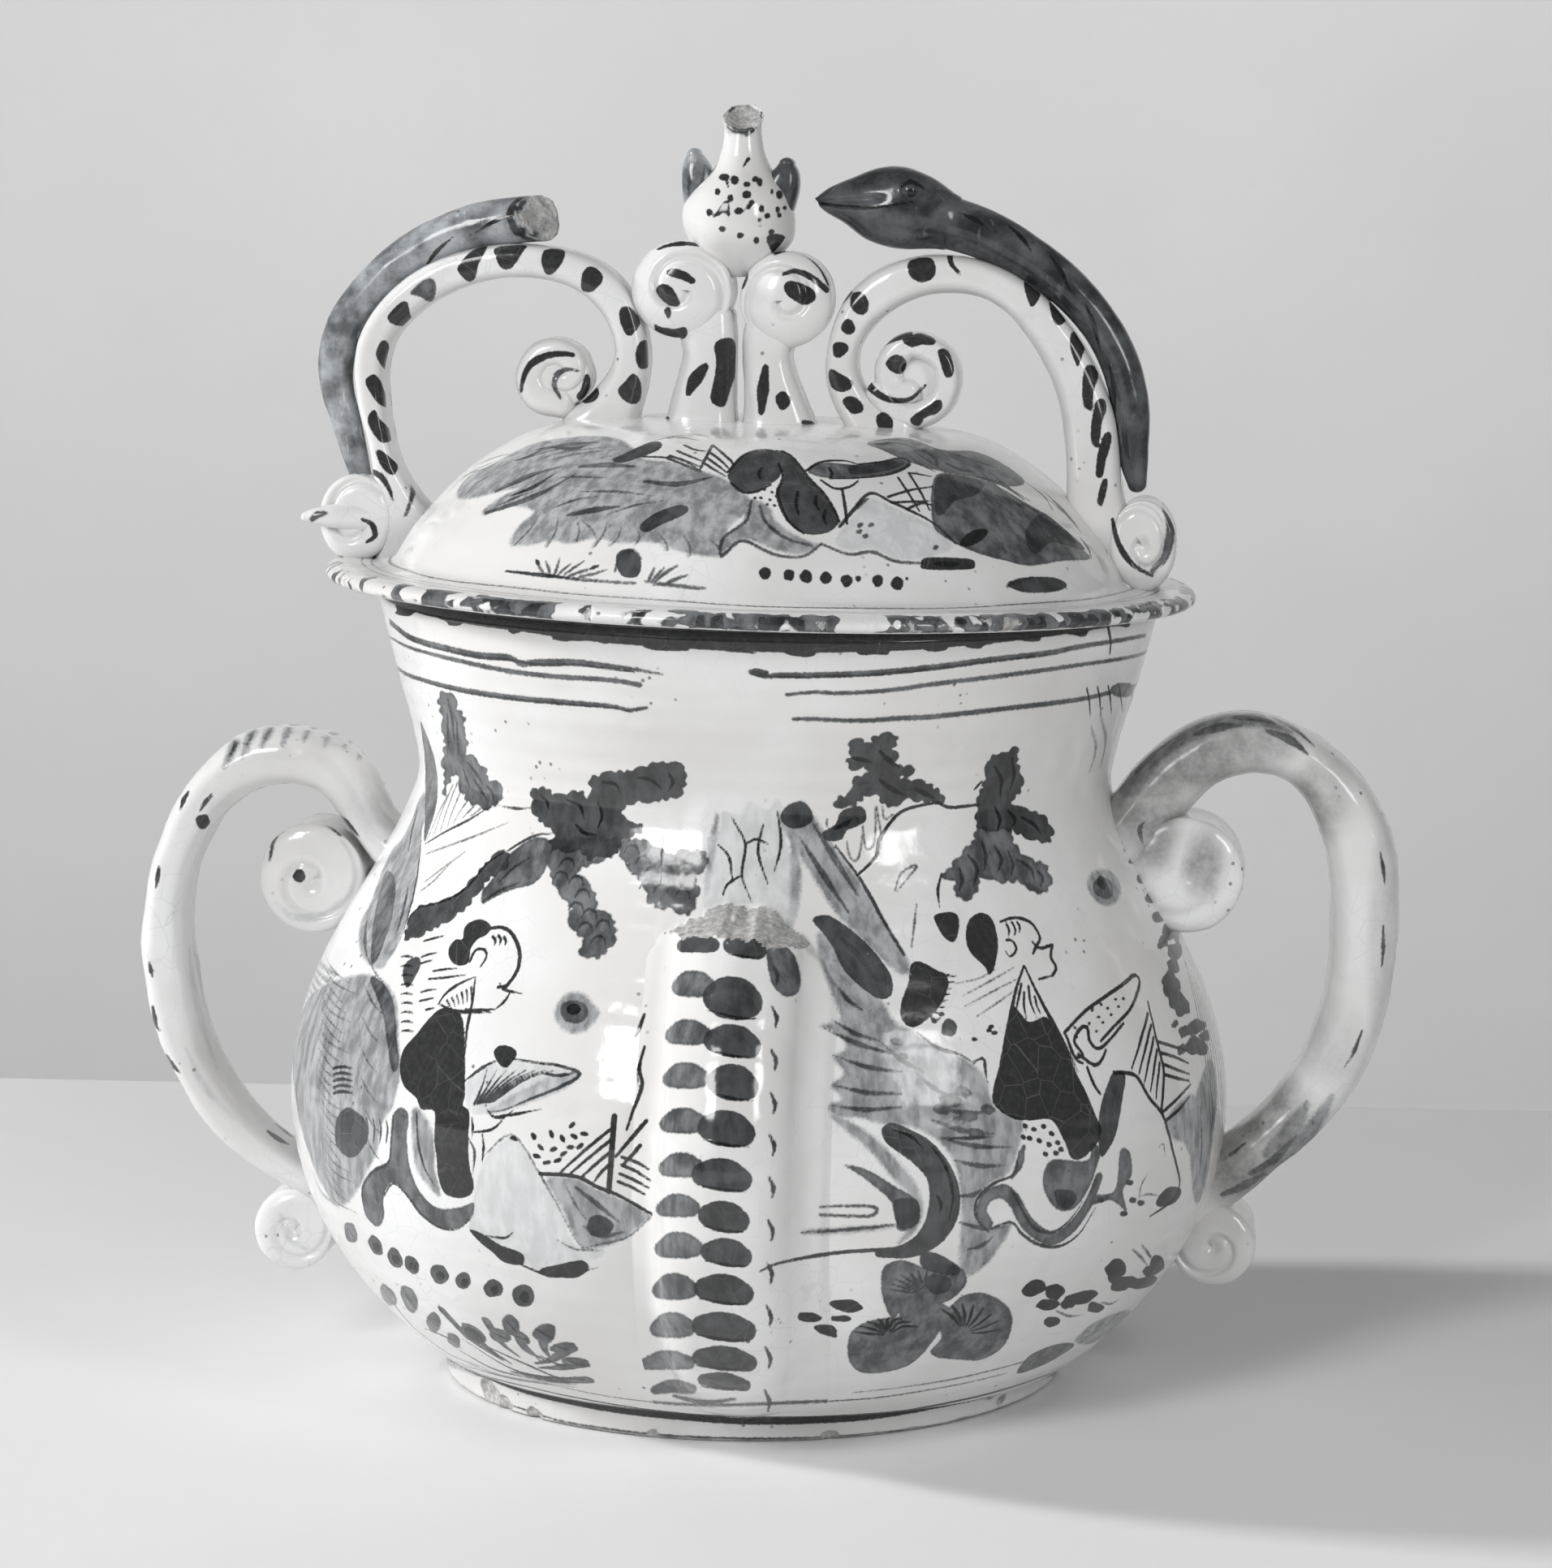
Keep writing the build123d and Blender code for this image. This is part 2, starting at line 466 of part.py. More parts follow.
# ---------------------------------------------------------------- bird finial: (z, x, half-width in x, y, half-depth in y)
bird_stations = [
    (216.5, -2.2, 3.2, 0.5, 3.6), (218.6, -2.2, 5.2, 0.8, 6.4), (221.0, -2.3, 8.0, 1.0, 9.6), (223.8, -2.4, 10.3, 1.0, 12.0),
    (226.8, -2.7, 11.0, 0.6, 12.4), (230.0, -2.7, 10.7, 0.0, 11.6), (232.6, -2.4, 9.7, -0.4, 10.2), (234.8, -2.1, 7.9, -0.7, 8.3),
    (237.0, -1.9, 5.9, -0.9, 6.3), (239.8, -1.8, 4.5, -1.1, 4.8), (242.8, -1.7, 3.8, -1.2, 4.1), (246.0, -1.7, 3.6, -1.2, 3.9),
    (248.6, -1.7, 3.75, -1.2, 4.1), (251.6, -1.7, 3.95, -1.2, 4.3),
]
with BuildPart() as bird_body:
    for z, x, rx, y, ry in bird_stations:
        with BuildSketch(Plane(origin=(x, y, z), z_dir=(0, 0, 1), x_dir=(1, 0, 0))):
            Ellipse(rx, ry)
    loft()
    # the broken neck faces well forward
    with BuildSketch(Plane(origin=(-1.7, -1.2, 247.2), x_dir=(1, 0, -0.05), z_dir=(0.05, -0.60, 1))):
        Rectangle(30, 30)
    extrude(amount=10, mode=Mode.SUBTRACT)
    add(centre_left_scroll.part, mode=Mode.SUBTRACT)
    add(centre_right_scroll.part, mode=Mode.SUBTRACT)

left_wing_line = [
    (-13.2, 229.0), (-13.7, 233.0), (-14.1, 237.6), (-13.2, 240.4), (-11.4, 241.2), (-9.5, 240.0), (-8.2, 237.0),
    (-6.6, 233.4), (-5.5, 229.6),
]
right_wing_line = [
    (1.0, 230.0), (2.4, 235.2), (4.2, 238.5), (6.8, 239.3), (9.0, 238.2), (9.4, 234.7), (9.0, 231.4), (8.0, 228.4),
]
with BuildPart() as bird_left_wing:
    with BuildSketch(Plane.XZ):
        with BuildLine():
            Spline(*left_wing_line)
            Line(left_wing_line[-1], left_wing_line[0])
        make_face()
    extrude(amount=4.5, both=True)
    fillet(bird_left_wing.faces().filter_by(Axis.Y).edges(), radius=1.4)
    add(bird_body.part, mode=Mode.SUBTRACT)

with BuildPart() as bird_right_wing:
    with BuildSketch(Plane.XZ):
        with BuildLine():
            Spline(*right_wing_line)
            Line(right_wing_line[-1], right_wing_line[0])
        make_face()
    extrude(amount=4.5, both=True)
    fillet(bird_right_wing.faces().filter_by(Axis.Y).edges(), radius=1.4)
    add(bird_body.part, mode=Mode.SUBTRACT)

# ---------------------------------------------------------------- write each piece
pieces = {
    "pot_body": pot_wall, "foot_ring": foot_ring, "spout_tube": spout,
    "left_handle_strap": left_handle_strap, "left_handle_upper_scroll": left_handle_upper_scroll,
    "left_handle_lower_scroll": left_handle_lower_scroll, "right_handle_strap": right_handle_strap,
    "right_handle_upper_scroll": right_handle_upper_scroll, "right_handle_lower_scroll": right_handle_lower_scroll,
    "lid_dome": lid_dome, "lid_locating_flange": lid_locating_flange, "left_loop_strap": left_loop_strap,
    "left_loop_inner_scroll": left_loop_inner_scroll, "left_loop_foot_scroll": left_loop_foot_scroll,
    "left_foot_tail": left_foot_tail, "left_serpent": left_serpent, "right_loop_strap": right_loop_strap,
    "right_loop_inner_scroll": right_loop_inner_scroll, "right_loop_foot_scroll": right_loop_foot_scroll,
    "right_serpent_body": right_serpent_body, "right_serpent_head": right_serpent_head,
    "right_serpent_eyes": right_serpent_eyes, "centre_left_scroll": centre_left_scroll,
    "centre_right_scroll": centre_right_scroll, "bird_body": bird_body, "bird_left_wing": bird_left_wing,
    "bird_right_wing": bird_right_wing,
}
for name, piece in pieces.items():
    piece.part.label = name
    export_step(piece.part, f"parts/{name}.step")
    print(name, len(piece.part.solids()), round(piece.part.volume, 1), piece.part.is_valid)
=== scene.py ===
import math

import bpy
import numpy as np
from mathutils import Matrix, Vector


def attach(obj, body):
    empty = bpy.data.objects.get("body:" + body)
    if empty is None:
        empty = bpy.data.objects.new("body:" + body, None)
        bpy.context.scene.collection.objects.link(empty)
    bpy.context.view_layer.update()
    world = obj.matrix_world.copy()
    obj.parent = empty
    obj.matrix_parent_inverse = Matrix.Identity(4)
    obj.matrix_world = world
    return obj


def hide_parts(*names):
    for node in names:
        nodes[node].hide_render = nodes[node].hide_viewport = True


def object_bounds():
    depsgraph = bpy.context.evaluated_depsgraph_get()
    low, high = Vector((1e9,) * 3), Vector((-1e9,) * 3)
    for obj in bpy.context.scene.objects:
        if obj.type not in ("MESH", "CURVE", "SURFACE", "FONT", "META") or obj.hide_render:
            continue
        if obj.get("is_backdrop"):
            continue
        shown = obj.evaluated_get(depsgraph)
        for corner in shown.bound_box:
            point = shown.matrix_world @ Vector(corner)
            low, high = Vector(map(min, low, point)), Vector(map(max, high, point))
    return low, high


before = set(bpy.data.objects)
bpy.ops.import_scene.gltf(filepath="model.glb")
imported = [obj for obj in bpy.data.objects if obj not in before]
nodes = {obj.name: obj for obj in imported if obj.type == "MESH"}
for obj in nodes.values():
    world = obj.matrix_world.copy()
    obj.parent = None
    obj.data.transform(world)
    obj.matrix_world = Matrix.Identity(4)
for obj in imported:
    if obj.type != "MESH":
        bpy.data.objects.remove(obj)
CAD_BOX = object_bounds()
BOX_LO, BOX_HI = np.array(CAD_BOX[0], float) + [2e-5, 2e-5, 0.0], np.array(CAD_BOX[1], float) - 2e-5
RNG = np.random.default_rng(7)

# ------------------------------------------------------------------------------------------------ camera, in mm
F, CX, CY = 5767.0, 956.0, 966.0
AZ, DIST, HC = math.radians(6.5), 917.7, 239.0
PITCH, YAW = math.radians(7.59), math.radians(0.284)
CAM = np.array([DIST * math.sin(AZ), -DIST * math.cos(AZ), HC])
_fx, _fy = -math.sin(AZ), math.cos(AZ)
_rx, _ry = _fy, -_fx
_hx, _hy = _fx * math.cos(YAW) + _rx * math.sin(YAW), _fy * math.cos(YAW) + _ry * math.sin(YAW)
C_R = np.array([_hy, -_hx, 0.0])
C_F = np.array([_hx * math.cos(PITCH), _hy * math.cos(PITCH), -math.sin(PITCH)])
C_U = np.array([_hx * math.sin(PITCH), _hy * math.sin(PITCH), math.cos(PITCH)])


def project(p):
    """Points in mm to (u, v, depth) in the 1912 x 1932 frame."""
    q = np.asarray(p, float) - CAM
    d = q @ C_F
    return CX + F * (q @ C_R) / d, CY - F * (q @ C_U) / d, d


def ray(u, v):
    u, v = np.asarray(u, float), np.asarray(v, float)
    d = C_F + np.multiply.outer((u - CX) / F, C_R) - np.multiply.outer((v - CY) / F, C_U)
    return d / np.linalg.norm(d, axis=-1, keepdims=True)


# ------------------------------------------------------------------------------------------------ small maths
def curve_through(pts, n, closed=False):
    """n points along a centripetal curve through pts (any number of columns), evenly spaced by the first columns."""
    p = np.asarray(pts, float)
    if closed:
        p = np.vstack([p[-2:], p, p[:3]])
    else:
        p = np.vstack([2 * p[0] - p[1], p, 2 * p[-1] - p[-2]])
    out = []
    k = 14
    for i in range(1, len(p) - 2):
        t = np.linspace(0, 1, k, endpoint=False)[:, None]
        a, b, c, d = p[i - 1], p[i], p[i + 1], p[i + 2]
        out.append(0.5 * (2 * b + (c - a) * t + (2 * a - 5 * b + 4 * c - d) * t**2 + (3 * b - a - 3 * c + d) * t**3))
    q = np.vstack(out + ([] if closed else [p[-2:-1]]))
    if closed:
        q = q[k: -k] if len(q) > 3 * k else q
        q = np.vstack([q, q[:1]])
    m = min(2, q.shape[1]) if q.shape[1] < 4 else 3
    s = np.concatenate([[0], np.cumsum(np.linalg.norm(np.diff(q[:, :m], axis=0), axis=1))])
    t = np.linspace(0, s[-1], n)
    return np.column_stack([np.interp(t, s, q[:, j]) for j in range(q.shape[1])])


def lattice_noise(p, scale, seed=0):
    """Smooth value noise in [-1, 1] at points p (mm), cells of `scale` mm."""
    q = np.asarray(p, float) / scale + 1000.0
    i = np.floor(q).astype(np.int64)
    f = q - i
    f = f * f * (3 - 2 * f)
    out = np.zeros(len(q))
    for dx in (0, 1):
        for dy in (0, 1):
            for dz in (0, 1):
                h = ((i[:, 0] + dx) * 73856093) ^ ((i[:, 1] + dy) * 19349663) ^ ((i[:, 2] + dz) * 83492791) ^ (seed * 2654435761)
                h = (h ^ (h >> 13)) * 1274126177 & 0x7FFFFFFF
                h = ((h ^ (h >> 16)) % 65536) / 32767.5 - 1.0
                w = (f[:, 0] if dx else 1 - f[:, 0]) * (f[:, 1] if dy else 1 - f[:, 1]) * (f[:, 2] if dz else 1 - f[:, 2])
                out += h * w
    return out


def smoothstep(x, a, b):
    t = np.clip((x - a) / (b - a), 0, 1)
    return t * t * (3 - 2 * t)


# ------------------------------------------------------------------------------------------------ meshes
ATTRS = ("ink", "deep", "mid", "wash", "pale", "bare", "grime")
FAR = 2.0


def make_mesh(name, verts_mm, quads, body, node_names, material, fields=None, smooth=True):
    me = bpy.data.meshes.new(name)
    v = np.clip(np.asarray(verts_mm, float) / 1000.0, BOX_LO, BOX_HI).astype(np.float32)
    q = np.asarray(quads, np.int32)
    me.vertices.add(len(v))
    me.vertices.foreach_set("co", v.ravel())
    if q.shape[1] == 4:
        tri = q[:, 2] == q[:, 3]
        totals = np.where(tri, 3, 4).astype(np.int32)
        keep = np.ones(q.shape, bool)
        keep[tri, 3] = False
        loops = q[keep]
    else:
        totals = np.full(len(q), 3, np.int32)
        loops = q.ravel()
    starts = np.concatenate([[0], np.cumsum(totals)[:-1]]).astype(np.int32)
    me.loops.add(len(loops))
    me.loops.foreach_set("vertex_index", np.asarray(loops, np.int32))
    me.polygons.add(len(q))
    me.polygons.foreach_set("loop_start", starts)
    me.polygons.foreach_set("loop_total", totals)
    me.update(calc_edges=True)
    me.validate()
    me.polygons.foreach_set("use_smooth", np.ones(len(me.polygons), bool) if smooth else np.zeros(len(me.polygons), bool))
    obj = bpy.data.objects.new(name, me)
    bpy.context.scene.collection.objects.link(obj)
    if fields is not None:
        set_fields(obj, fields)
    me.materials.append(material)
    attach(obj, body)
    if node_names:
        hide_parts(*node_names)
    return obj


def set_fields(obj, fields):
    me = obj.data
    for a in ATTRS:
        if a in fields:
            at = me.attributes.new(a, "FLOAT", "POINT")
            at.data.foreach_set("value", np.asarray(fields[a], np.float32).ravel())


def grid_quads(rows, cols, wrap, flip=False, offset=0):
    r = np.arange(rows - 1)[:, None]
    c = np.arange(cols if wrap else cols - 1)[None, :]
    c2 = (c + 1) % cols
    a, b = r * cols + c, r * cols + c2
    d, e = (r + 1) * cols + c, (r + 1) * cols + c2
    q = np.stack([a, b, e, d], -1).reshape(-1, 4)
    if flip:
        q = q[:, ::-1]
    return q + offset


# ------------------------------------------------------------------------------------------------ the two thrown forms
class Thrown:
    """A form of revolution: a leaning axis, an outer profile (radius, height) and a chart of angle and arc length.
    Angle 0 is the front (-Y), and grows towards +X."""

    def __init__(self, origin, lean_deg, profile, step):
        self.o = np.array(origin, float)
        self.c, self.s = math.cos(math.radians(lean_deg)), math.sin(math.radians(lean_deg))
        q = np.asarray(profile, float)
        d = np.concatenate([[0], np.cumsum(np.linalg.norm(np.diff(q, axis=0), axis=1))])
        n = int(d[-1] / step) + 1
        t = np.linspace(0, d[-1], n)
        self.s_rows = t
        self.r_rows = np.interp(t, d, q[:, 0])
        self.z_rows = np.interp(t, d, q[:, 1])

    def to_world(self, r, phi, z):
        x, y = r * np.sin(phi), -r * np.cos(phi)
        return np.stack([self.o[0] + x * self.c + z * self.s, self.o[1] + y + 0 * z, self.o[2] - x * self.s + z * self.c], -1)

    def to_local(self, p):
        q = np.asarray(p, float) - self.o
        x = q[..., 0] * self.c - q[..., 2] * self.s
        z = q[..., 0] * self.s + q[..., 2] * self.c
        return np.stack([x, q[..., 1], z], -1)

    def hit(self, u, v, s_lo=None, s_hi=None):
        """Where the picture's pixels meet the form: (phi, s). A ray that misses gets the nearest point."""
        u, v = np.atleast_1d(u), np.atleast_1d(v)
        d = ray(u, v)
        t = np.linspace(770, 1010, 1201)
        p = CAM + d[:, None, :] * t[None, :, None]
        q = self.to_local(p)
        rho = np.hypot(q[..., 0], q[..., 1])
        order = np.argsort(self.z_rows, kind="stable")
        if s_lo is not None:
            keep = (self.s_rows[order] >= s_lo) & (self.s_rows[order] <= s_hi)
            order = order[keep]
        zr, rr = self.z_rows[order], self.r_rows[order]
        R = np.interp(q[..., 2], zr, rr)
        out = (q[..., 2] < zr[0] - 0.5) | (q[..., 2] > zr[-1] + 0.5)
        gap = rho - R + np.where(out, 500.0, 0.0)
        inside = gap <= 0
        first = np.where(inside.any(1), inside.argmax(1), np.abs(gap).argmin(1))
        i = np.arange(len(u))
        q1, g1 = q[i, first], gap[i, first]
        prev = np.maximum(first - 1, 0)
        q0, g0 = q[i, prev], gap[i, prev]
        w = np.where(inside.any(1) & (g0 < 100), g0 / np.maximum(g0 - g1, 1e-9), 1.0)[:, None]
        qq = q0 + (q1 - q0) * np.clip(w, 0, 1)
        phi = np.arctan2(qq[:, 0], -qq[:, 1])
        s = np.interp(qq[:, 2], zr, self.s_rows[order])
        return phi, s


POT_OUT = [
    (65.2, 6.0), (69.0, 9.0), (72.3, 12.0), (79.6, 20.0), (86.2, 30.0), (91.0, 42.0), (92.7, 54.0), (91.8, 66.0),
    (88.3, 78.0), (82.4, 90.0), (76.6, 100.0), (71.4, 110.0), (68.3, 119.0), (69.6, 128.0), (72.2, 137.0),
    (74.6, 146.0), (75.7, 150.5), (76.1, 153.2), (75.1, 154.5),
]
POT_IN = [
    (73.6, 154.5), (72.3, 153.4), (71.4, 150.5), (70.5, 146.0), (68.1, 137.0), (65.5, 128.0), (64.1, 119.0),
    (67.0, 110.0), (72.1, 100.0), (77.9, 90.0), (83.8, 78.0), (87.3, 66.0), (88.2, 54.0), (86.4, 42.0), (81.4, 30.0),
    (74.2, 20.0), (66.5, 13.6), (61.0, 11.3), (54.0, 11.0), (30.0, 11.0), (0.4, 11.0),
]
pot_form = Thrown((0, 0, 0), 1.2, curve_through(POT_OUT, 600), 0.34)
LID_OUT = [
    (0.3, 32.8), (14.0, 32.8), (25.0, 32.7), (36.5, 32.0), (42.5, 30.7), (47.2, 28.8), (52.0, 26.0), (56.6, 22.8),
    (60.4, 19.5), (64.5, 15.0), (68.2, 10.5), (70.6, 6.6), (72.0, 4.3), (74.6, 3.35), (78.0, 3.2), (82.4, 3.3),
    (84.4, 2.7), (85.2, 1.6), (84.7, 0.5), (83.2, 0.0), (80.5, 0.0),
]
lid_form = Thrown((1.63, 0, 155.6), 1.83, curve_through(LID_OUT, 600), 0.36)


# ------------------------------------------------------------------------------------------------ brush strokes
SHEET = [0.0, 0.0, 1.0]


def sheet(x0, y0, k):
    """Strokes that follow are given on an enlarged drawing of a part of the frame: its corner and its scale."""
    SHEET[:] = [x0, y0, k]


def parse(text):
    return np.array([[float(a) for a in w.split(",")] for w in text.split()]) * SHEET[2] + np.array(SHEET[:2])


STROKES = {"pot": [], "lid": [], "trim": []}


def L(where, tone, half, text, taper=(1.0, 1.0), smooth=True):
    """A line of the brush: half-width in pixels, points in pixels of the 1912 x 1932 frame."""
    half = half * SHEET[2]
    half += 0.8 if tone in ("ink", "deep") and half < 2.6 else 0.0
    STROKES[where].append(("line", tone, half, parse(text), taper, smooth))


def scallop(pts, lobe, amp):
    """A closed outline broken into leaf lobes about `lobe` pixels long and `amp` high."""
    length = np.linalg.norm(np.diff(np.vstack([pts, pts[:1]]), axis=0), axis=1).sum()
    n = max(24, int(length / 2.6))
    q = curve_through(pts, n, True)[:-1]
    t = np.gradient(q, axis=0)
    t /= np.maximum(np.linalg.norm(t, axis=1, keepdims=True), 1e-9)
    x, y = q[:, 0], q[:, 1]
    turn = np.sign((x * np.roll(y, -1) - np.roll(x, -1) * y).sum())
    out = np.column_stack([t[:, 1], -t[:, 0]]) * turn
    k = max(3, round(length / lobe))
    ph = np.linspace(0, k, len(q), endpoint=False)
    ph = ph + 0.28 * np.sin(ph * 2.1 + pts[0, 0]) + 0.2 * np.sin(ph * 0.73 + pts[0, 1])
    return q + out * (amp * (np.abs(np.sin(math.pi * ph)) ** 0.65 * 1.35 - 0.7))[:, None]


def A(where, tone, text, smooth=True):
    """A filled shape, its outline in pixels. The big leafy ones of the pot's upper half have lobed edges."""
    pts = parse(text)
    if where == "pot" and tone in ("deep", "mid") and len(pts) >= 16 and pts[:, 1].mean() < 1125:
        pts, smooth = scallop(pts, 15.0, 4.6), False
    STROKES[where].append(("area", tone, 0.0, pts, (1, 1), smooth))


def D(where, tone, x, y, rx, ry, ang=0.0, wob=0.12):
    """A dab: an uneven oval."""
    r = np.random.default_rng(int(x * 131 + y * 17) % 2**31)
    t = np.linspace(0, 2 * math.pi, 11)[:-1]
    k = 1 + wob * (r.random(10) * 2 - 1)
    px, py = rx * np.cos(t) * k, ry * np.sin(t) * k
    a = math.radians(ang)
    pts = np.column_stack([x + px * math.cos(a) - py * math.sin(a), y + px * math.sin(a) + py * math.cos(a)]) * SHEET[2] + np.array(SHEET[:2])
    STROKES[where].append(("area", tone, 0.0, pts, (1, 1), True))


def dense(pts, closed, smooth, gap):
    length = np.linalg.norm(np.diff(np.vstack([pts, pts[:1]]) if closed else pts, axis=0), axis=1).sum()
    n = max(6, int(length / gap) + 2)
    if not smooth or len(pts) < 3:
        q = np.vstack([pts, pts[:1]]) if closed else pts
        s = np.concatenate([[0], np.cumsum(np.linalg.norm(np.diff(q, axis=0), axis=1))])
        t = np.linspace(0, s[-1], n)
        return np.column_stack([np.interp(t, s, q[:, j]) for j in range(2)])
    return curve_through(pts, n, closed)


def seg_distance(X, Y, ax, ay, bx, by, ra, rb):
    """Distance from points to a tapered segment's edge."""
    dx, dy = bx - ax, by - ay
    ll = dx * dx + dy * dy + 1e-12
    t = np.clip(((X - ax) * dx + (Y - ay) * dy) / ll, 0, 1)
    return np.hypot(X - ax - t * dx, Y - ay - t * dy) - (ra + (rb - ra) * t)


def inside_poly(X, Y, px, py):
    inside = np.zeros(X.shape, bool)
    j = len(px) - 1
    for i in range(len(px)):
        if py[i] != py[j]:
            cross = ((py[i] > Y) != (py[j] > Y)) & (X < (px[j] - px[i]) * (Y - py[i]) / (py[j] - py[i]) + px[i])
            inside ^= cross
        j = i
    return inside


def stroke_field(kind, X, Y, px, py, rad):
    if kind == "line":
        d = np.full(X.shape, 1e3)
        for i in range(len(px) - 1):
            d = np.minimum(d, seg_distance(X, Y, px[i], py[i], px[i + 1], py[i + 1], rad[i], rad[i + 1]))
        return d
    d = np.full(X.shape, 1e3)
    for i in range(len(px) - 1):
        d = np.minimum(d, seg_distance(X, Y, px[i], py[i], px[i + 1], py[i + 1], 0.0, 0.0))
    return np.where(inside_poly(X, Y, px[:-1], py[:-1]), -d, d)


def blank(n):
    f = {a: np.full(n, FAR) for a in ATTRS}
    f["grime"] = np.zeros(n)
    return f


def paint_form(form, phis, fields, strokes, turn=0.0, mirror=False, s_lo=None, s_hi=None):
    """Draws pixel strokes on a thrown form's chart. fields are (rows, cols). turn and mirror put the same brushwork on the far side."""
    rows, cols = len(form.s_rows), len(phis)
    two_pi = 2 * math.pi
    for kind, tone, half, pts, taper, smooth in strokes:
        q = dense(pts, kind == "area", smooth, 3.6 if kind == "area" else 5.0)
        phi, s = form.hit(q[:, 0], q[:, 1], s_lo, s_hi)
        if mirror:
            phi = -phi
        phi = phi + turn
        r_mid = float(np.interp(s.mean(), form.s_rows, form.r_rows))
        # pixels to mm at that depth
        mmpp = (917.7 - r_mid * math.cos(min(abs(phi.mean() - turn), 1.5))) / F
        n = len(phi)
        taper_arr = np.interp(np.linspace(0, 1, n), np.linspace(0, 1, len(taper)), taper) if kind == "line" else np.zeros(n)
        rad = half * mmpp * taper_arr
        pad = FAR if tone != "grime" else 8.0
        lo_s, hi_s = s.min() - rad.max() - pad, s.max() + rad.max() + pad
        i0, i1 = np.searchsorted(form.s_rows, lo_s), np.searchsorted(form.s_rows, hi_s)
        if i1 <= i0:
            continue
        centre = (phi.min() + phi.max()) / 2
        halfw = (phi.max() - phi.min()) / 2 + (rad.max() + pad) / max(r_mid, 5.0)
        rel = (phis - centre + math.pi) % two_pi - math.pi
        cs = np.nonzero(np.abs(rel) <= halfw)[0]
        if len(cs) == 0:
            continue
        X = (rel[cs] * r_mid)[None, :] * np.ones((i1 - i0, 1))
        Y = form.s_rows[i0:i1][:, None] * np.ones((1, len(cs)))
        px, py = (phi - centre) * r_mid, s
        d = stroke_field(kind, X, Y, px, py, rad)
        sub = np.ix_(np.arange(i0, i1), cs)
        fields[tone][sub] = np.minimum(fields[tone][sub], d)


def paint_points(p, n, fields, strokes, front_y=None, depth=2.6):
    """Draws pixel strokes on loose points (mm) with normals n: the far side of the piece mirrors the near side."""
    q = p.copy()
    far = q[:, 1] > 0
    q[far, 1] *= -1
    u, v, d = project(q)
    k = d / F
    cut = None
    if front_y is not None:
        cut = (q[:, 1] - (front_y + depth))
    for kind, tone, half, pts, taper, smooth in strokes:
        w = dense(pts, kind == "area", smooth, 3.0)
        pad = FAR / 0.15 + half
        m = np.nonzero((u > w[:, 0].min() - pad) & (u < w[:, 0].max() + pad) & (v > w[:, 1].min() - pad) & (v < w[:, 1].max() + pad))[0]
        if len(m) == 0:
            continue
        nn = len(w)
        rad = half * np.interp(np.linspace(0, 1, nn), np.linspace(0, 1, len(taper)), taper) if kind == "line" else np.zeros(nn)
        f = stroke_field(kind, u[m], v[m], w[:, 0], w[:, 1], rad) * k[m]
        if cut is not None:
            f = np.maximum(f, cut[m])
        fields[tone][m] = np.minimum(fields[tone][m], f)


def clip_fields(fields):
    for a in ATTRS:
        if a != "grime":
            fields[a] = np.clip(fields[a], -FAR, FAR)
    return fields


# ------------------------------------------------------------------------------------------------ the painting
for _k in ("spout", "foot", "pot_lines_back", "left_handle", "right_handle", "left_loop", "right_loop", "serpents", "centre", "bird", "wings"):
    STROKES[_k] = []


def fan(where, tone, half, cx, cy, r0, r1, a0, a1, n, bend=0.0):
    """n tapering lines standing round a point; angles in degrees, clockwise from straight up."""
    for i in range(n):
        a = math.radians(a0 + (a1 - a0) * i / max(n - 1, 1))
        b = a + bend
        m = (r0 + r1) / 2
        L(where, tone, half, f"{cx + r0 * math.sin(a):.1f},{cy - r0 * math.cos(a):.1f} {cx + m * math.sin(a + bend * 0.3):.1f},{cy - m * math.cos(a + bend * 0.3):.1f} "
          f"{cx + r1 * math.sin(b):.1f},{cy - r1 * math.cos(b):.1f}", (1.0, 0.9, 0.35))


def spray(where, tone, x0, y0, x1, y1, n, length, half, lift=0.6):
    """A stem with n leaf dabs on each side."""
    L(where, tone, half * 0.45, f"{x0},{y0} {(x0 + x1) / 2},{(y0 + y1) / 2 + 2} {x1},{y1}", (1.0, 0.4))
    dx, dy = x1 - x0, y1 - y0
    ll = math.hypot(dx, dy)
    ux, uy = dx / ll, dy / ll
    for i in range(n):
        t = (i + 0.5) / n
        px, py = x0 + dx * t, y0 + dy * t
        for sd in (-1, 1):
            k = 1 - 0.45 * t
            ex, ey = px + (ux * lift + sd * uy) * length * k, py + (uy * lift - sd * ux) * length * k
            L(where, tone, half, f"{px:.1f},{py:.1f} {(px + ex) / 2:.1f},{(py + ey) / 2 - 1:.1f} {ex:.1f},{ey:.1f}", (0.4, 1.0, 0.25))


def hatch(where, tone, half, x0, y0, x1, y1, n, dx, dy):
    for i in range(n):
        t = i / max(n - 1, 1)
        x, y = x0 + (x1 - x0) * t, y0 + (y1 - y0) * t
        L(where, tone, half, f"{x:.1f},{y:.1f} {x + dx / 2 + 1:.1f},{y + dy / 2:.1f} {x + dx:.1f},{y + dy:.1f}", (0.9, 1.0, 0.5))


def dots(where, tone, rx, ry, text):
    for w in text.split():
        x, y = (float(a) for a in w.split(","))
        D(where, tone, x, y, rx, ry)


def S_(where, tone, half, *texts, taper=(0.5, 1.0, 0.25)):
    for t in texts:
        L(where, tone, half, t, taper)


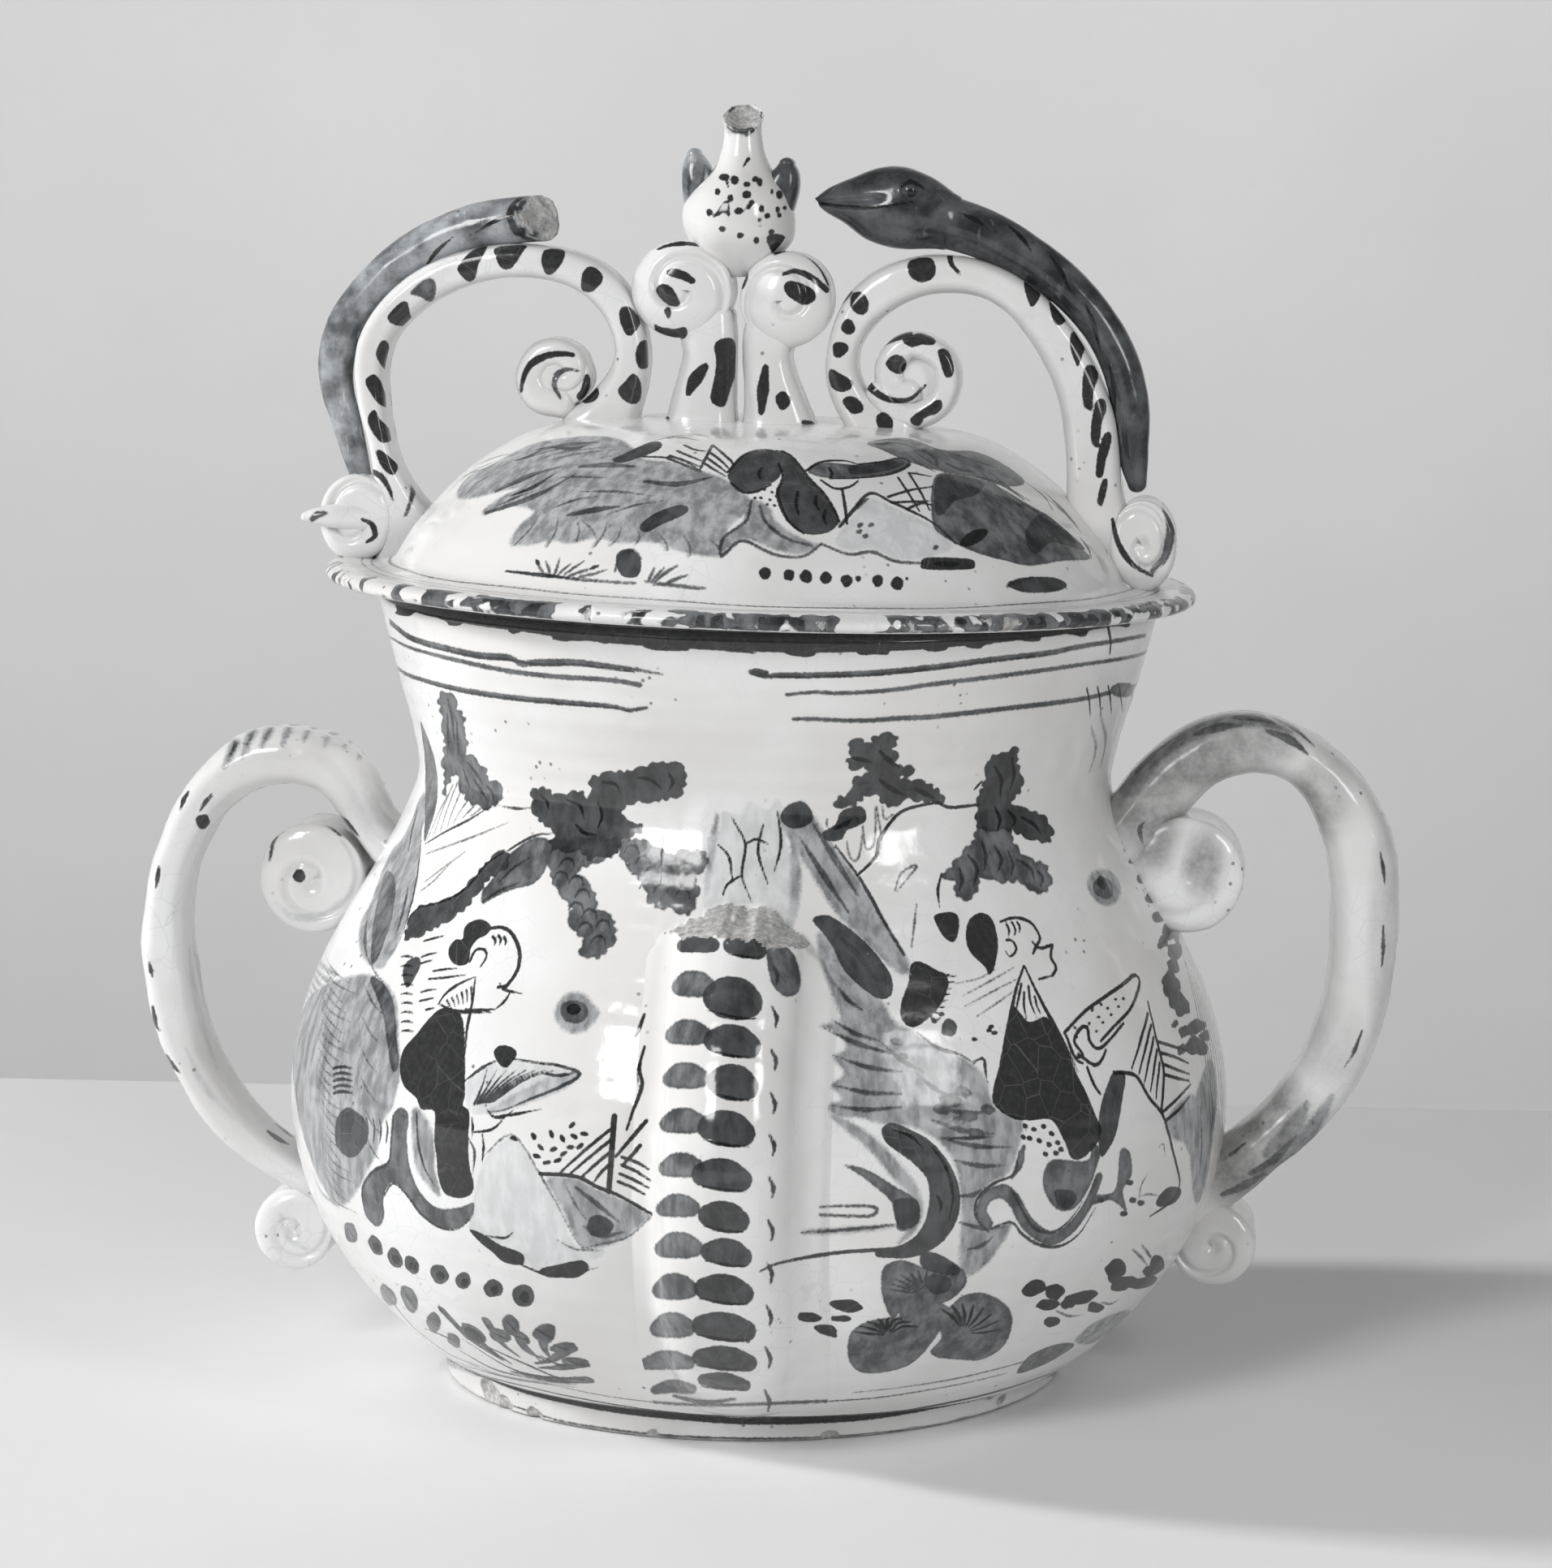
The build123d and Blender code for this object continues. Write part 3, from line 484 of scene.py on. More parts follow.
# ---- lines round the neck, and the dark band brushed round under the lip
P = "pot"
L(P, "mid", 4.2, "480,765 508,786 552,799 589,807 627,810 642,818 664,816 708,816 751,821 782,825 816,831", (0.8, 1, 1, 1, 0.3))
L(P, "mid", 3.4, "480,785 508,799 564,814 627,827 689,834 751,838 788,844", (0.6, 1, 1, 1))
L(P, "mid", 3.8, "487,821 508,833 564,849 627,859 689,865 751,870 776,875 797,872", (0.6, 1, 1, 0.6))
L(P, "deep", 1.4, "480,768 508,789 552,802 589,810 627,813 664,819 708,819 751,824 782,828", (0.8, 1, 1, 0.6))
L(P, "deep", 1.2, "487,823 508,835 564,851 627,861 689,867 751,872 776,877", (0.6, 1, 1, 0.6))
L(P, "mid", 4.0, "925,828 945,833 960,832 1000,832 1080,829 1150,822 1220,813 1290,805 1330,797 1380,789 1412,783", (0.9, 1, 1, 1, 0.7))
L(P, "mid", 3.2, "969,856 1000,853 1040,854 1100,850 1150,843 1240,832 1320,821 1400,808 1424,794", (0.7, 1, 1, 0.8))
L(P, "mid", 3.6, "978,886 1000,886 1060,888 1110,885 1150,883 1240,873 1330,862 1380,850 1424,838", (0.7, 1, 1, 0.8))
L(P, "deep", 1.3, "925,830 960,834 1000,834 1080,831 1150,824 1220,815 1290,807", (0.7, 1, 1, 0.6))
D(P, "deep", 936, 829, 12, 5, 8)
L(P, "ink", 3.0, "1366,775 1369,790 1368,806", (1, 0.6))
D(P, "mid", 1384, 850, 15, 9, -10)
hatch(P, "ink", 1.1, 1340, 848, 1392, 842, 5, 4, 34)
L(P, "ink", 15, "462,716 480,733 520,748 580,759 640,766 700,773 760,779 820,783 880,787 940,789 1000,790 1060,789 1120,787 1180,783 1240,779 1300,773 1360,764 1400,754 1430,738", (0.5, 0.8, 1, 1, 1, 1, 0.8, 0.5))
for _x, _y, _rx, _ry in ((636, 775, 11, 6), (500, 752, 14, 6), (560, 764, 18, 6), (700, 784, 22, 6), (742, 788, 16, 5), (820, 795, 30, 6), (905, 800, 26, 5), (985, 803, 30, 6), (1070, 801, 24, 6), (1140, 796, 22, 6),
                         (1200, 791, 20, 7), (1262, 785, 24, 6), (1330, 776, 18, 7), (1376, 766, 14, 8)):
    D(P, "ink", _x, _y, _rx, _ry, 4, 0.3)

# ---- left scene
sheet(360, 830, 0.5454)
A(P, "mid", "330,50 345,42 360,50 375,80 388,100 385,130 395,150 390,180 410,190 430,210 440,225 440,240 460,245 475,270 465,290 440,305 425,300 400,290 385,270 375,245 368,225 350,250 342,275 345,230 340,200 345,160 340,110 335,80")
S_(P, "deep", 6, "352,60 362,110 366,160", "372,110 374,150 376,190", "350,90 352,140 350,190", "395,200 415,225 430,250", "410,240 425,262 440,285", "440,255 452,270 455,288", "385,215 395,240 402,262")
S_(P, "mid", 2.6, "350,275 328,320 305,375", "362,252 340,305 320,362", "372,248 352,300 335,355", "382,262 364,305 350,347", "395,288 378,312 365,337", "410,300 396,314 385,326", "425,305 412,316 402,322", taper=(1, 0.4))
S_(P, "deep", 2.4, "300,385 350,355 400,330 440,305 470,298", "475,300 510,305 540,303")
S_(P, "mid", 2.6, "300,408 400,372 490,336", "300,470 340,440 392,402", "290,492 320,468 358,428")
A(P, "mid", "290,110 300,130 318,180 328,240 325,300 310,350 298,380 300,300 300,200")
A(P, "wash", "300,268 300,320 292,360 290,400 285,450 275,500 265,540 250,580 235,620 215,650 205,665 185,665 160,640 150,600 155,560 175,520 190,480 205,440 225,400 250,370 270,330 285,290")
A(P, "mid", "215,445 230,460 232,500 225,550 210,600 195,640 180,655 180,600 185,550 195,500 205,465")
S_(P, "mid", 7, "262,480 252,530 238,580", "285,300 272,350 262,400", "168,560 164,600 170,640", taper=(0.3, 1, 0.3))
S_(P, "deep", 2.2, "292,360 286,430 274,500 256,565 238,615")
A(P, "deep", "480,400 490,415 480,440 450,460 430,480 410,510 385,535 355,555 320,575 290,590 265,600 255,595 265,560 280,530 300,525 340,515 375,500 400,475 430,440 455,415")
S_(P, "ink", 3, "478,404 440,430 408,470 372,500 330,518 285,530 262,560 256,592")
A(P, "mid", "430,490 440,480 470,440 490,410 520,385 550,370 575,372 590,390 580,420 570,450 545,475 510,485 480,495 450,510 430,520")
S_(P, "deep", 3, "480,405 520,380 556,364 590,362", "470,470 500,440 540,415", "430,515 470,490 520,470")
A(P, "deep", "545,262 575,260 590,275 620,270 655,268 665,290 675,270 672,240 690,230 730,222 770,220 790,210 830,202 880,208 888,235 880,270 850,283 800,290 760,295 745,310 755,335 785,340 790,355 770,365 750,370 735,400 720,410 690,415 670,420 650,400 620,400 590,395 585,375 600,365 570,340 550,320 540,290")
A(P, "mid", "580,380 620,375 690,370 740,380 725,410 700,420 680,430 650,440 650,455 680,490 690,530 720,550 730,580 725,610 700,635 685,642 650,630 660,600 635,580 625,550 630,530 610,500 595,480 585,450 580,410")
A(P, "mid", "740,380 780,375 815,385 835,400 860,410 880,400 920,400 935,410 935,440 910,455 915,480 920,500 900,540 880,545 860,530 830,530 800,510 800,490 780,460 760,440 745,420")
for _x, _y in ((600, 400), (620, 430), (605, 460), (640, 470), (655, 500), (640, 530), (670, 545), (660, 575), (700, 570), (690, 605), (765, 400), (790, 425), (810, 450), (800, 480), (840, 440), (830, 490), (870, 430), (860, 475),
               (885, 455), (880, 500), (900, 420), (700, 390), (655, 395)):
    L(P, "deep", 2.6, f"{_x - 16},{_y + 6} {_x - 4},{_y - 12} {_x + 14},{_y - 8} {_x + 18},{_y + 8}", (0.4, 1, 0.4))
S_(P, "ink", 5, "560,275 575,290 580,310", "620,285 650,300 660,330", "700,245 730,250 740,270", "780,235 810,240 835,262", "690,290 700,320 690,350", "640,340 660,360 690,365", "850,225 860,245 850,265")
for _i in range(9):
    L(P, "ink", 2.0, f"{246},{640 + _i * 21} {258},{638 + _i * 21} {272},{641 + _i * 21}", (0.6, 1, 0.6))
S_(P, "ink", 2.0, "298,604 320,598 344,592", "318,672 345,668 372,666", "308,690 350,686 392,680", "292,640 310,634 330,630", "290,720 308,715 326,713", "288,740 304,736 320,733", "300,760 312,757 322,756", "290,655 302,651 316,648", taper=(0.8, 1, 0.5))
A(P, "deep", "285,640 290,660 275,690 262,710 252,700 250,670 262,648")
A(P, "ink", "355,620 370,600 385,600 390,575 405,560 430,555 450,570 440,590 420,600 405,620 400,650 385,660 365,655 355,640")
S_(P, "ink", 4.0, "440,577 475,573 500,590 515,630 510,668 490,700 478,712", taper=(0.8, 1, 0.9))
S_(P, "ink", 3.0, "470,700 480,714 498,718 520,723", "492,722 480,740 458,760", "458,758 424,760 392,756")
S_(P, "ink", 2.6, "454,594 460,602 458,614", "467,591 472,600 470,612", "480,595 484,604 482,612", "402,650 416,624 436,624 440,640 426,662", "466,708 478,706 490,704", taper=(1, 1, 0.6))
S_(P, "ink", 3.4, "330,747 350,720 380,700 416,684", "415,686 408,740 396,800 388,880", "332,746 372,762 452,766")
for _i in range(6):
    L(P, "ink", 1.8, f"{350 + _i * 11},{738 - _i * 6} {356 + _i * 10},{748 - _i * 5} {360 + _i * 9},{756 - _i * 3}", (1, 0.8, 0.5))
A(P, "ink", "330,760 360,755 385,780 390,850 390,950 385,975 400,990 398,1050 400,1110 410,1150 405,1175 380,1185 345,1175 330,1140 325,1090 320,1050 320,990 290,985 280,960 250,930 242,890 250,850 280,815 300,790")
A(P, "wash", "270,985 300,1000 320,1050 322,1120 335,1180 300,1150 275,1100")
A(P, "mid", "225,1000 245,980 262,1000 258,1050 264,1110 284,1164 326,1206 380,1205 410,1195 405,1230 370,1255 330,1250 290,1220 250,1170 225,1150 205,1180 205,1230 190,1250 165,1225 155,1180 160,1150 185,1120 215,1105 220,1060")
S_(P, "deep", 3, "228,1000 222,1060 216,1104 184,1122 160,1152 156,1182 166,1226 190,1250", "205,1180 226,1152 252,1172 292,1222 332,1251 372,1255 405,1230")
S_(P, "deep", 3, "280,990 284,1060 300,1120 330,1170", "398,1050 412,1080 408,1130")
A(P, "pale", "395,920 430,895 470,870 540,875 600,890 645,895 640,920 600,945 540,965 490,985 450,990 410,995 392,960")
A(P, "wash", "470,968 540,930 600,905 648,904 606,942 540,966 480,988 440,992")
for _i in range(8):
    L(P, "deep", 2.8, f"{412 + _i * 6},{972 - _i} {430 + _i * 14},{930 - _i * 2} {440 + _i * 22},{896 - (_i == 0) * 2}", (1, 0.7, 0.3))
A(P, "ink", "455,855 470,840 495,843 508,858 495,880 485,890 470,885")
S_(P, "deep", 3.4, "390,920 430,890 470,870", "500,870 560,880 600,885 650,905 600,936 540,960 480,985 440,990", "572,904 600,908 640,902")
S_(P, "ink", 2.8, "440,985 455,1001 480,1001 502,984", "452,1001 505,995 562,984", "406,1036 450,1030 478,1006", "430,1040 432,1076 428,1110", "406,1002 408,1030 406,1050")
D(P, "wash", 640, 768, 50, 44)
D(P, "mid", 636, 764, 30, 26)
D(P, "ink", 637, 758, 17, 14)
S_(P, "ink", 5, "795,770 786,796 775,820", "796,842 784,890 790,930 772,982 756,1030", taper=(0.7, 1, 0.6))
S_(P, "mid", 3, "788,870 780,900 784,940")
S_(P, "ink", 7.5, "728,1000 722,1080 715,1170", taper=(1, 1, 0.9))
S_(P, "ink", 5, "800,1010 766,1050 730,1092", "786,1066 766,1090 746,1110", "560,1130 640,1136 690,1160 740,1180 810,1220", taper=(1, 1, 0.7))
S_(P, "ink", 2.8, "718,1030 660,1078 602,1130", "718,1055 670,1094 622,1135", "716,1082 684,1110 650,1140", "714,1112 698,1126 684,1146", "744,1110 776,1124 810,1146", "740,1130 772,1144 805,1162", "736,1148 766,1160 795,1176", "745,1092 780,1105 806,1120", taper=(1, 1, 0.6))
for _x, _y, _a in ((545, 1045, 60), (560, 1070, 50), (552, 1090, 20), (585, 1040, 70), (590, 1075, -20), (610, 1050, 60), (612, 1085, -30), (600, 1100, -20), (632, 1020, -50), (636, 1045, 30), (650, 1068, -40), (660, 1040, 10), (628, 1070, 0), (575, 1105, -10), (500, 1050, 20)):
    D(P, "ink", _x, _y, 11, 5.5, _a)
A(P, "pale", "400,1250 430,1110 480,1050 510,1055 560,1130 600,1200 640,1290 700,1300 690,1320 600,1345 560,1350 500,1330 460,1300 430,1270")
A(P, "wash", "575,1140 640,1140 690,1165 740,1185 810,1220 790,1245 750,1275 700,1295 650,1290 610,1210")
S_(P, "mid", 3, "430,1092 480,1046 510,1052 560,1132 600,1202 650,1290 700,1302", "620,1160 640,1200 670,1240", "650,1300 690,1290 750,1276 792,1246 812,1222", "600,1280 640,1300 690,1304")
S_(P, "mid", 7, "640,1160 690,1200 740,1240", "660,1250 700,1270 750,1262")
D(P, "deep", 695, 1250, 31, 24, 20)
A(P, "ink", "400,1255 430,1265 470,1290 520,1310 520,1335 480,1330 450,1305 420,1280")
A(P, "ink", "560,1345 600,1335 655,1325 670,1345 640,1365 590,1362 565,1358")
S_(P, "ink", 2.6, "470,1310 540,1345 600,1362 690,1342", "440,1270 480,1275 500,1262")
A(P, "wash", "80,700 150,680 200,690 235,740 240,830 245,890 235,940 225,980 200,1020 190,1080 170,1120 150,1160 125,1195 100,1200 70,1160 40,1090 14,1000 2,900 10,800 40,730")
for _i in range(24):
    _t = _i / 23
    _x, _y = 18 + 44 * abs(_t - 0.45), 640 + 520 * _t
    L(P, "wash", 6.0, f"{_x + 60:.0f},{_y + 40:.0f} {_x + 26:.0f},{_y + 14:.0f} {_x + 2:.0f},{_y - 38:.0f}", (1, 0.8, 0.1))
    L(P, "mid", 2.4, f"{_x + 92 + 14 * math.sin(_i * 2.0):.0f},{_y + 60:.0f} {_x + 60:.0f},{_y + 36:.0f} {_x + 38:.0f},{_y + 2:.0f}", (0.2, 1, 0.2))
    if _i % 3 == 0:
        L(P, "mid", 3.0, f"{_x + 170:.0f},{_y + 60:.0f} {_x + 150:.0f},{_y + 36:.0f} {_x + 130:.0f},{_y - 4:.0f}", (0.2, 1, 0.2))
A(P, "mid", "176,690 200,694 228,740 236,830 240,880 226,900 214,840 204,770")
D(P, "deep", 130, 1040, 36, 56, 4)
for _i in range(5):
    L(P, "deep", 3.0, f"{92},{892 + _i * 14} {112},{888 + _i * 14} {134},{892 + _i * 14}", (0.8, 1, 0.5))
    L(P, "deep", 3.0, f"{150 + _i * 15},{1002 + _i * 2} {154 + _i * 15},{1030} {150 + _i * 15},{1062}", (0.6, 1, 0.4))
for _x, _y, _rx, _ry in ((187, 1292, 13, 25), (230, 1320, 15, 24), (268, 1335, 15, 22), (332, 1357, 20, 23), (388, 1372, 18, 19), (455, 1388, 20, 21), (523, 1405, 24, 25)):
    D(P, "deep", _x, _y, _rx, _ry, -28)
    D(P, "ink", _x + 2, _y + 4, _rx * 0.5, _ry * 0.5, -28)
for _x, _y, _rx, _ry, _a in ((218, 1405, 14, 28, -34), (265, 1412, 17, 32, -22), (320, 1466, 17, 23, -14), (410, 1492, 34, 17, 34), (365, 1505, 20, 12, 50), (495, 1472, 17, 26, -28), (470, 1495, 26, 16, 20), (570, 1490, 28, 22, -8), (610, 1522, 30, 12, -8), (640, 1556, 32, 12, 6),
                             (520, 1500, 22, 10, 40), (132, 1262, 14, 24, -20)):
    D(P, "mid", _x, _y, _rx, _ry, _a)
    L(P, "deep", 2.2, f"{_x - _rx * .5:.0f},{_y - _ry * .3:.0f} {_x},{_y + 2} {_x + _rx * .6:.0f},{_y + _ry * .5:.0f}")
D(P, "deep", 410, 1494, 26, 12, 34)
S_(P, "mid", 6, "208,1388 250,1450 300,1500 340,1530", "290,1490 360,1540 440,1570", "440,1520 520,1556 600,1590 660,1600", "380,1530 460,1572 560,1596", "330,1530 420,1580 520,1610", "500,1490 540,1530 566,1560")
S_(P, "deep", 3, "250,1496 330,1540 430,1575 540,1600 640,1612", "300,1480 350,1500 390,1530", "560,1540 600,1560 650,1562")
S_(P, "wash", 9, "240,1480 320,1540 420,1585", "400,1560 500,1592 640,1606")
sheet(0, 0, 1)

# ---- right scene
sheet(920, 830, 0.5454)
A(P, "deep", "230,155 260,150 280,160 290,140 330,137 340,155 330,170 340,185 330,205 380,212 375,225 340,235 400,245 440,270 440,290 400,290 360,285 330,300 305,290 290,270 265,280 240,298 200,298 205,280 230,275 240,240 265,230 275,215 240,215 225,200 235,185")
A(P, "deep", "170,360 200,340 215,310 260,300 270,330 250,345 225,355 215,375 180,378")
S_(P, "mid", 4, "250,252 270,246 290,250", "270,262 290,260 310,266", "350,262 380,262 410,272", "240,320 250,326 252,340", "300,160 310,180 305,200")
S_(P, "ink", 7, "300,175 320,195 345,212", "240,190 260,195 280,200", "300,240 330,262 360,275", "200,350 222,340 240,326", "380,260 400,270 424,282")
S_(P, "mid", 2.8, "182,330 180,342 186,352", "226,380 232,412 246,424 256,404 262,350", "262,345 268,392 280,396 290,372 290,300", "292,300 300,340 304,372 298,410", "306,300 312,330 330,318", taper=(0.8, 1, 0.5))
S_(P, "ink", 3.0, "250,457 292,414 302,370 350,312 430,290", "430,290 456,302 488,300 524,296", taper=(0.8, 1, 0.8))
A(P, "deep", "545,200 560,185 585,180 595,168 610,170 612,200 620,230 622,260 600,285 605,300 640,310 680,330 690,360 680,380 650,375 620,365 600,355 575,352 545,352 522,345 520,300 530,260 540,230")
A(P, "mid", "522,345 545,352 575,352 600,355 600,380 640,420 670,430 685,460 680,485 660,495 640,490 630,475 600,470 560,470 530,460 515,500 490,510 470,495 470,470 440,455 460,440 480,410 510,380")
S_(P, "ink", 6, "560,210 575,240 572,280", "600,190 604,230 596,262", "560,300 572,330 566,356", "620,325 648,340 664,362", "590,310 606,330 600,346")
S_(P, "deep", 4.5, "500,410 520,440 512,480", "560,390 575,420 565,450", "610,420 640,440 650,470", "530,380 540,410 536,446", "480,440 486,466 480,490", "590,400 600,430 596,456", "655,445 668,462 662,480")
S_(P, "ink", 3.0, "440,452 432,490 436,530", "514,262 524,252 532,240")
A(P, "wash", "75,320 120,288 145,310 170,350 220,420 270,490 330,590 370,660 350,680 300,640 250,590 200,540 150,460 100,380 80,350")
A(P, "deep", "75,325 90,300 120,288 140,300 150,330 120,350 90,345")
S_(P, "deep", 3.4, "200,388 260,470 310,560 356,636", taper=(0.6, 1, 0.8))
S_(P, "mid", 8, "150,340 200,420 250,500", "120,370 170,450 230,540", taper=(0.3, 1, 0.3))
A(P, "deep", "148,555 180,545 210,560 250,590 290,630 325,680 328,725 300,735 260,710 220,670 195,620 175,590")
S_(P, "mid", 9, "215,600 255,640 290,690")
A(P, "ink", "370,660 390,650 430,670 450,680 455,710 430,760 380,800 350,780 350,740 365,700")
A(P, "ink", "425,545 470,540 480,570 470,605 450,600 430,570")
for _i in range(8):
    L(P, "ink", 1.8, f"{452 - _i * 5},{680 + _i * 14} {464 - _i * 5},{684 + _i * 14} {474 - _i * 5},{682 + _i * 14}", (1, 0.8, 0.5))
A(P, "wash", "158,592 185,590 215,640 255,700 300,735 340,790 380,810 440,845 500,875 540,915 560,975 620,1005 622,1040 610,1090 590,1130 555,1150 525,1180 520,1225 540,1255 585,1240 600,1245 570,1300 530,1345 495,1360 480,1330 485,1230 "
  "480,1140 455,1080 410,1040 350,1020 310,1020 260,1005 200,1000 185,975 215,960 190,930 220,905 195,865 225,845 200,810 165,795 210,780 190,720 170,660")
for _x0, _y0, _x1, _y1 in ((330, 860, 165, 795), (350, 900, 195, 862), (350, 950, 190, 928), (350, 980, 186, 975), (300, 830, 190, 780), (420, 1010, 560, 1040), (440, 1050, 600, 1070), (430, 980, 560, 990), (470, 1100, 590, 1110),
                           (260, 760, 200, 700), (400, 900, 300, 830), (470, 960, 380, 900), (480, 1240, 590, 1250), (480, 1180, 540, 1160), (500, 1300, 560, 1270)):
    L(P, "mid", 6.5, f"{_x0},{_y0} {(_x0 + _x1) / 2},{(_y0 + _y1) / 2 + 8} {_x1},{_y1}", (0.4, 1, 0.1))
for _x, _y, _r in ((340, 832, 12), (355, 865, 10), (460, 965, 22), (490, 945, 16), (440, 985, 16), (500, 1000, 18), (545, 985, 14), (520, 1040, 16), (480, 1010, 12)):
    D(P, "mid", _x, _y, _r * 1.3, _r * 0.8, 15)
S_(P, "deep", 5, "385,810 430,845 480,860 516,882", "516,876 536,870 540,900 545,925", "440,960 470,950 500,960", "450,1050 500,1050 560,1046")
A(P, "wash", "190,1000 230,1010 290,1050 340,1100 380,1150 400,1210 380,1260 340,1290 380,1230 370,1180 330,1140 280,1080 220,1030")
A(P, "deep", "305,1030 330,1015 370,1030 420,1060 460,1110 480,1160 480,1220 455,1270 420,1300 370,1320 310,1320 290,1315 300,1300 350,1290 390,1260 410,1210 410,1150 380,1110 340,1080 315,1060")
S_(P, "ink", 5, "420,1070 452,1120 466,1180 456,1240", "330,1030 370,1045 402,1075", "430,1180 440,1200 436,1220")
A(P, "mid", "220,1110 270,1120 330,1155 385,1190 390,1230 370,1255 340,1255 330,1200 290,1160 250,1130")
A(P, "deep", "335,1190 385,1190 388,1240 350,1255 334,1226")
S_(P, "mid", 4.5, "165,1205 230,1203 290,1206 286,1224 240,1226 165,1223", "125,1263 230,1256 330,1246", taper=(0.6, 1, 0.8))
S_(P, "wash", 9, "130,1262 220,1258 330,1250")
S_(P, "deep", 5.0, "30,1350 80,1330 200,1309 330,1300", taper=(0.5, 1, 1))
A(P, "mid", "310,1340 350,1325 400,1340 420,1330 480,1340 498,1370 480,1400 450,1420 400,1430 350,1440 330,1460 310,1420 303,1380")
A(P, "mid", "320,1455 370,1450 420,1440 440,1470 420,1510 370,1560 300,1580 250,1575 228,1540 235,1490 270,1465")
A(P, "mid", "490,1405 540,1400 590,1430 600,1470 580,1520 530,1550 480,1550 430,1545 415,1530 440,1500 430,1460 460,1430")
A(P, "deep", "395,1310 430,1310 480,1340 470,1360 400,1345")
D(P, "deep", 432, 1380, 30, 22)
D(P, "mid", 400, 1440, 60, 30)
for _i in range(8):
    _a = math.radians(-175 + _i * 20)
    L(P, "ink", 3.2, f"{320 + 10 * math.cos(_a):.0f},{1495 + 10 * math.sin(_a):.0f} {320 + 40 * math.cos(_a):.0f},{1495 + 34 * math.sin(_a):.0f} {320 + 78 * math.cos(_a + .12):.0f},{1495 + 40 * math.sin(_a + .12):.0f}", (0.4, 1, 0.5))
    _a = math.radians(-120 + _i * 17)
    L(P, "ink", 3.4, f"{490 + 18 * math.cos(_a):.0f},{1490 + 16 * math.sin(_a):.0f} {490 + 46 * math.cos(_a):.0f},{1490 + 40 * math.sin(_a):.0f} {490 + 84 * math.cos(_a - .1):.0f},{1490 + 66 * math.sin(_a - .1):.0f}", (0.4, 1, 0.5))
    _a = math.radians(180 + _i * 16)
    L(P, "deep", 2.8, f"{400 + 14 * math.cos(_a):.0f},{1400 + 10 * math.sin(_a):.0f} {400 + 44 * math.cos(_a):.0f},{1396 + 30 * math.sin(_a):.0f} {400 + 74 * math.cos(_a):.0f},{1392 + 44 * math.sin(_a):.0f}", (0.4, 1, 0.5))
for _x, _y, _rx, _ry, _a in ((140, 1453, 26, 12, 6), (225, 1428, 38, 15, 8), (213, 1458, 25, 8, 2), (180, 1484, 28, 14, 16), (648, 1388, 26, 18, -14), (695, 1398, 22, 18, 0), (680, 1426, 26, 12, -10), (690, 1464, 22, 11, -8),
                             (724, 1424, 16, 12, 0), (757, 1410, 36, 17, -14), (786, 1432, 18, 12, 0), (830, 1348, 22, 26, 10), (862, 1372, 26, 14, 0), (896, 1376, 30, 12, -18), (926, 1334, 17, 22, 24), (906, 1352, 16, 12, 0), (840, 1384, 20, 12, 0)):
    D(P, "ink", _x, _y, _rx, _ry, _a, 0.2)
S_(P, "mid", 4, "890,1290 905,1310 918,1330", "870,1300 890,1320 904,1340", "700,1440 730,1452 760,1448", "800,1420 822,1424 840,1412")
A(P, "mid", "610,1580 640,1540 700,1515 740,1515 700,1545 650,1570")
A(P, "wash", "740,1505 790,1462 860,1437 855,1460 820,1490 770,1515")
S_(P, "mid", 3, "760,1500 800,1480 850,1448", "640,1560 690,1536 730,1520")
# the seated figure on the right
A(P, "ink", "495,600 500,560 525,540 550,550 565,590 565,640 550,680 535,660 505,630")
S_(P, "ink", 3.2, "572,560 604,551 640,562 660,592 659,606", "644,606 662,620 690,612", "690,612 686,640 698,664 690,682", "646,632 652,618 658,606", taper=(0.7, 1, 0.8))
S_(P, "ink", 2.2, "586,566 592,580 590,592", "598,562 606,578 604,590", "610,562 616,572 614,584", "586,602 600,604 608,624 594,640 584,626", "660,690 676,686 690,682", taper=(1, 1, 0.5))
S_(P, "mid", 2.2, "488,728 540,700 602,664", "492,752 548,722 610,690", "520,775 560,748 604,716", "470,700 520,690 560,668", taper=(0.4, 1, 0.4))
S_(P, "ink", 4.6, "625,660 606,720 591,800 575,880 560,950", "626,660 664,738 710,820 750,900", "604,780 640,792 670,776")
S_(P, "ink", 2.0, "620,700 612,740 606,772", "636,706 640,740 652,770", "650,730 656,752 664,768", "626,720 626,750 632,780", taper=(1, 1, 0.6))
A(P, "ink", "600,750 640,790 670,775 690,790 720,840 745,900 770,950 790,1000 803,1030 795,1060 760,1095 735,1095 720,1060 690,1010 640,1010 600,1005 560,975 557,940 575,870 590,800")
for _x, _y in ((630, 1022), (650, 1030), (672, 1024), (690, 1040), (640, 1050), (662, 1056), (684, 1064), (704, 1060), (700, 1084), (676, 1086), (626, 1048), (712, 1076)):
    D(P, "ink", _x, _y, 8, 6, 30)
A(P, "mid", "690,1100 770,1100 780,1060 800,1080 780,1150 750,1200 720,1215 690,1200 670,1150")
A(P, "deep", "696,1170 712,1166 740,1170 746,1190 726,1210 704,1200")
S_(P, "mid", 17, "545,1244 530,1216 545,1182 580,1170 606,1192 630,1236 665,1268 700,1276 740,1246 776,1192 796,1140", taper=(0.8, 1, 1, 1, 0.8))
S_(P, "deep", 3.4, "548,1262 520,1232 520,1190 556,1154 604,1130 616,1080", "600,1168 622,1210 650,1252 692,1262 730,1236 762,1190", "560,1250 600,1240 622,1266 660,1290 706,1294 750,1268 790,1206")
S_(P, "mid", 12, "626,1070 616,1110 600,1140")
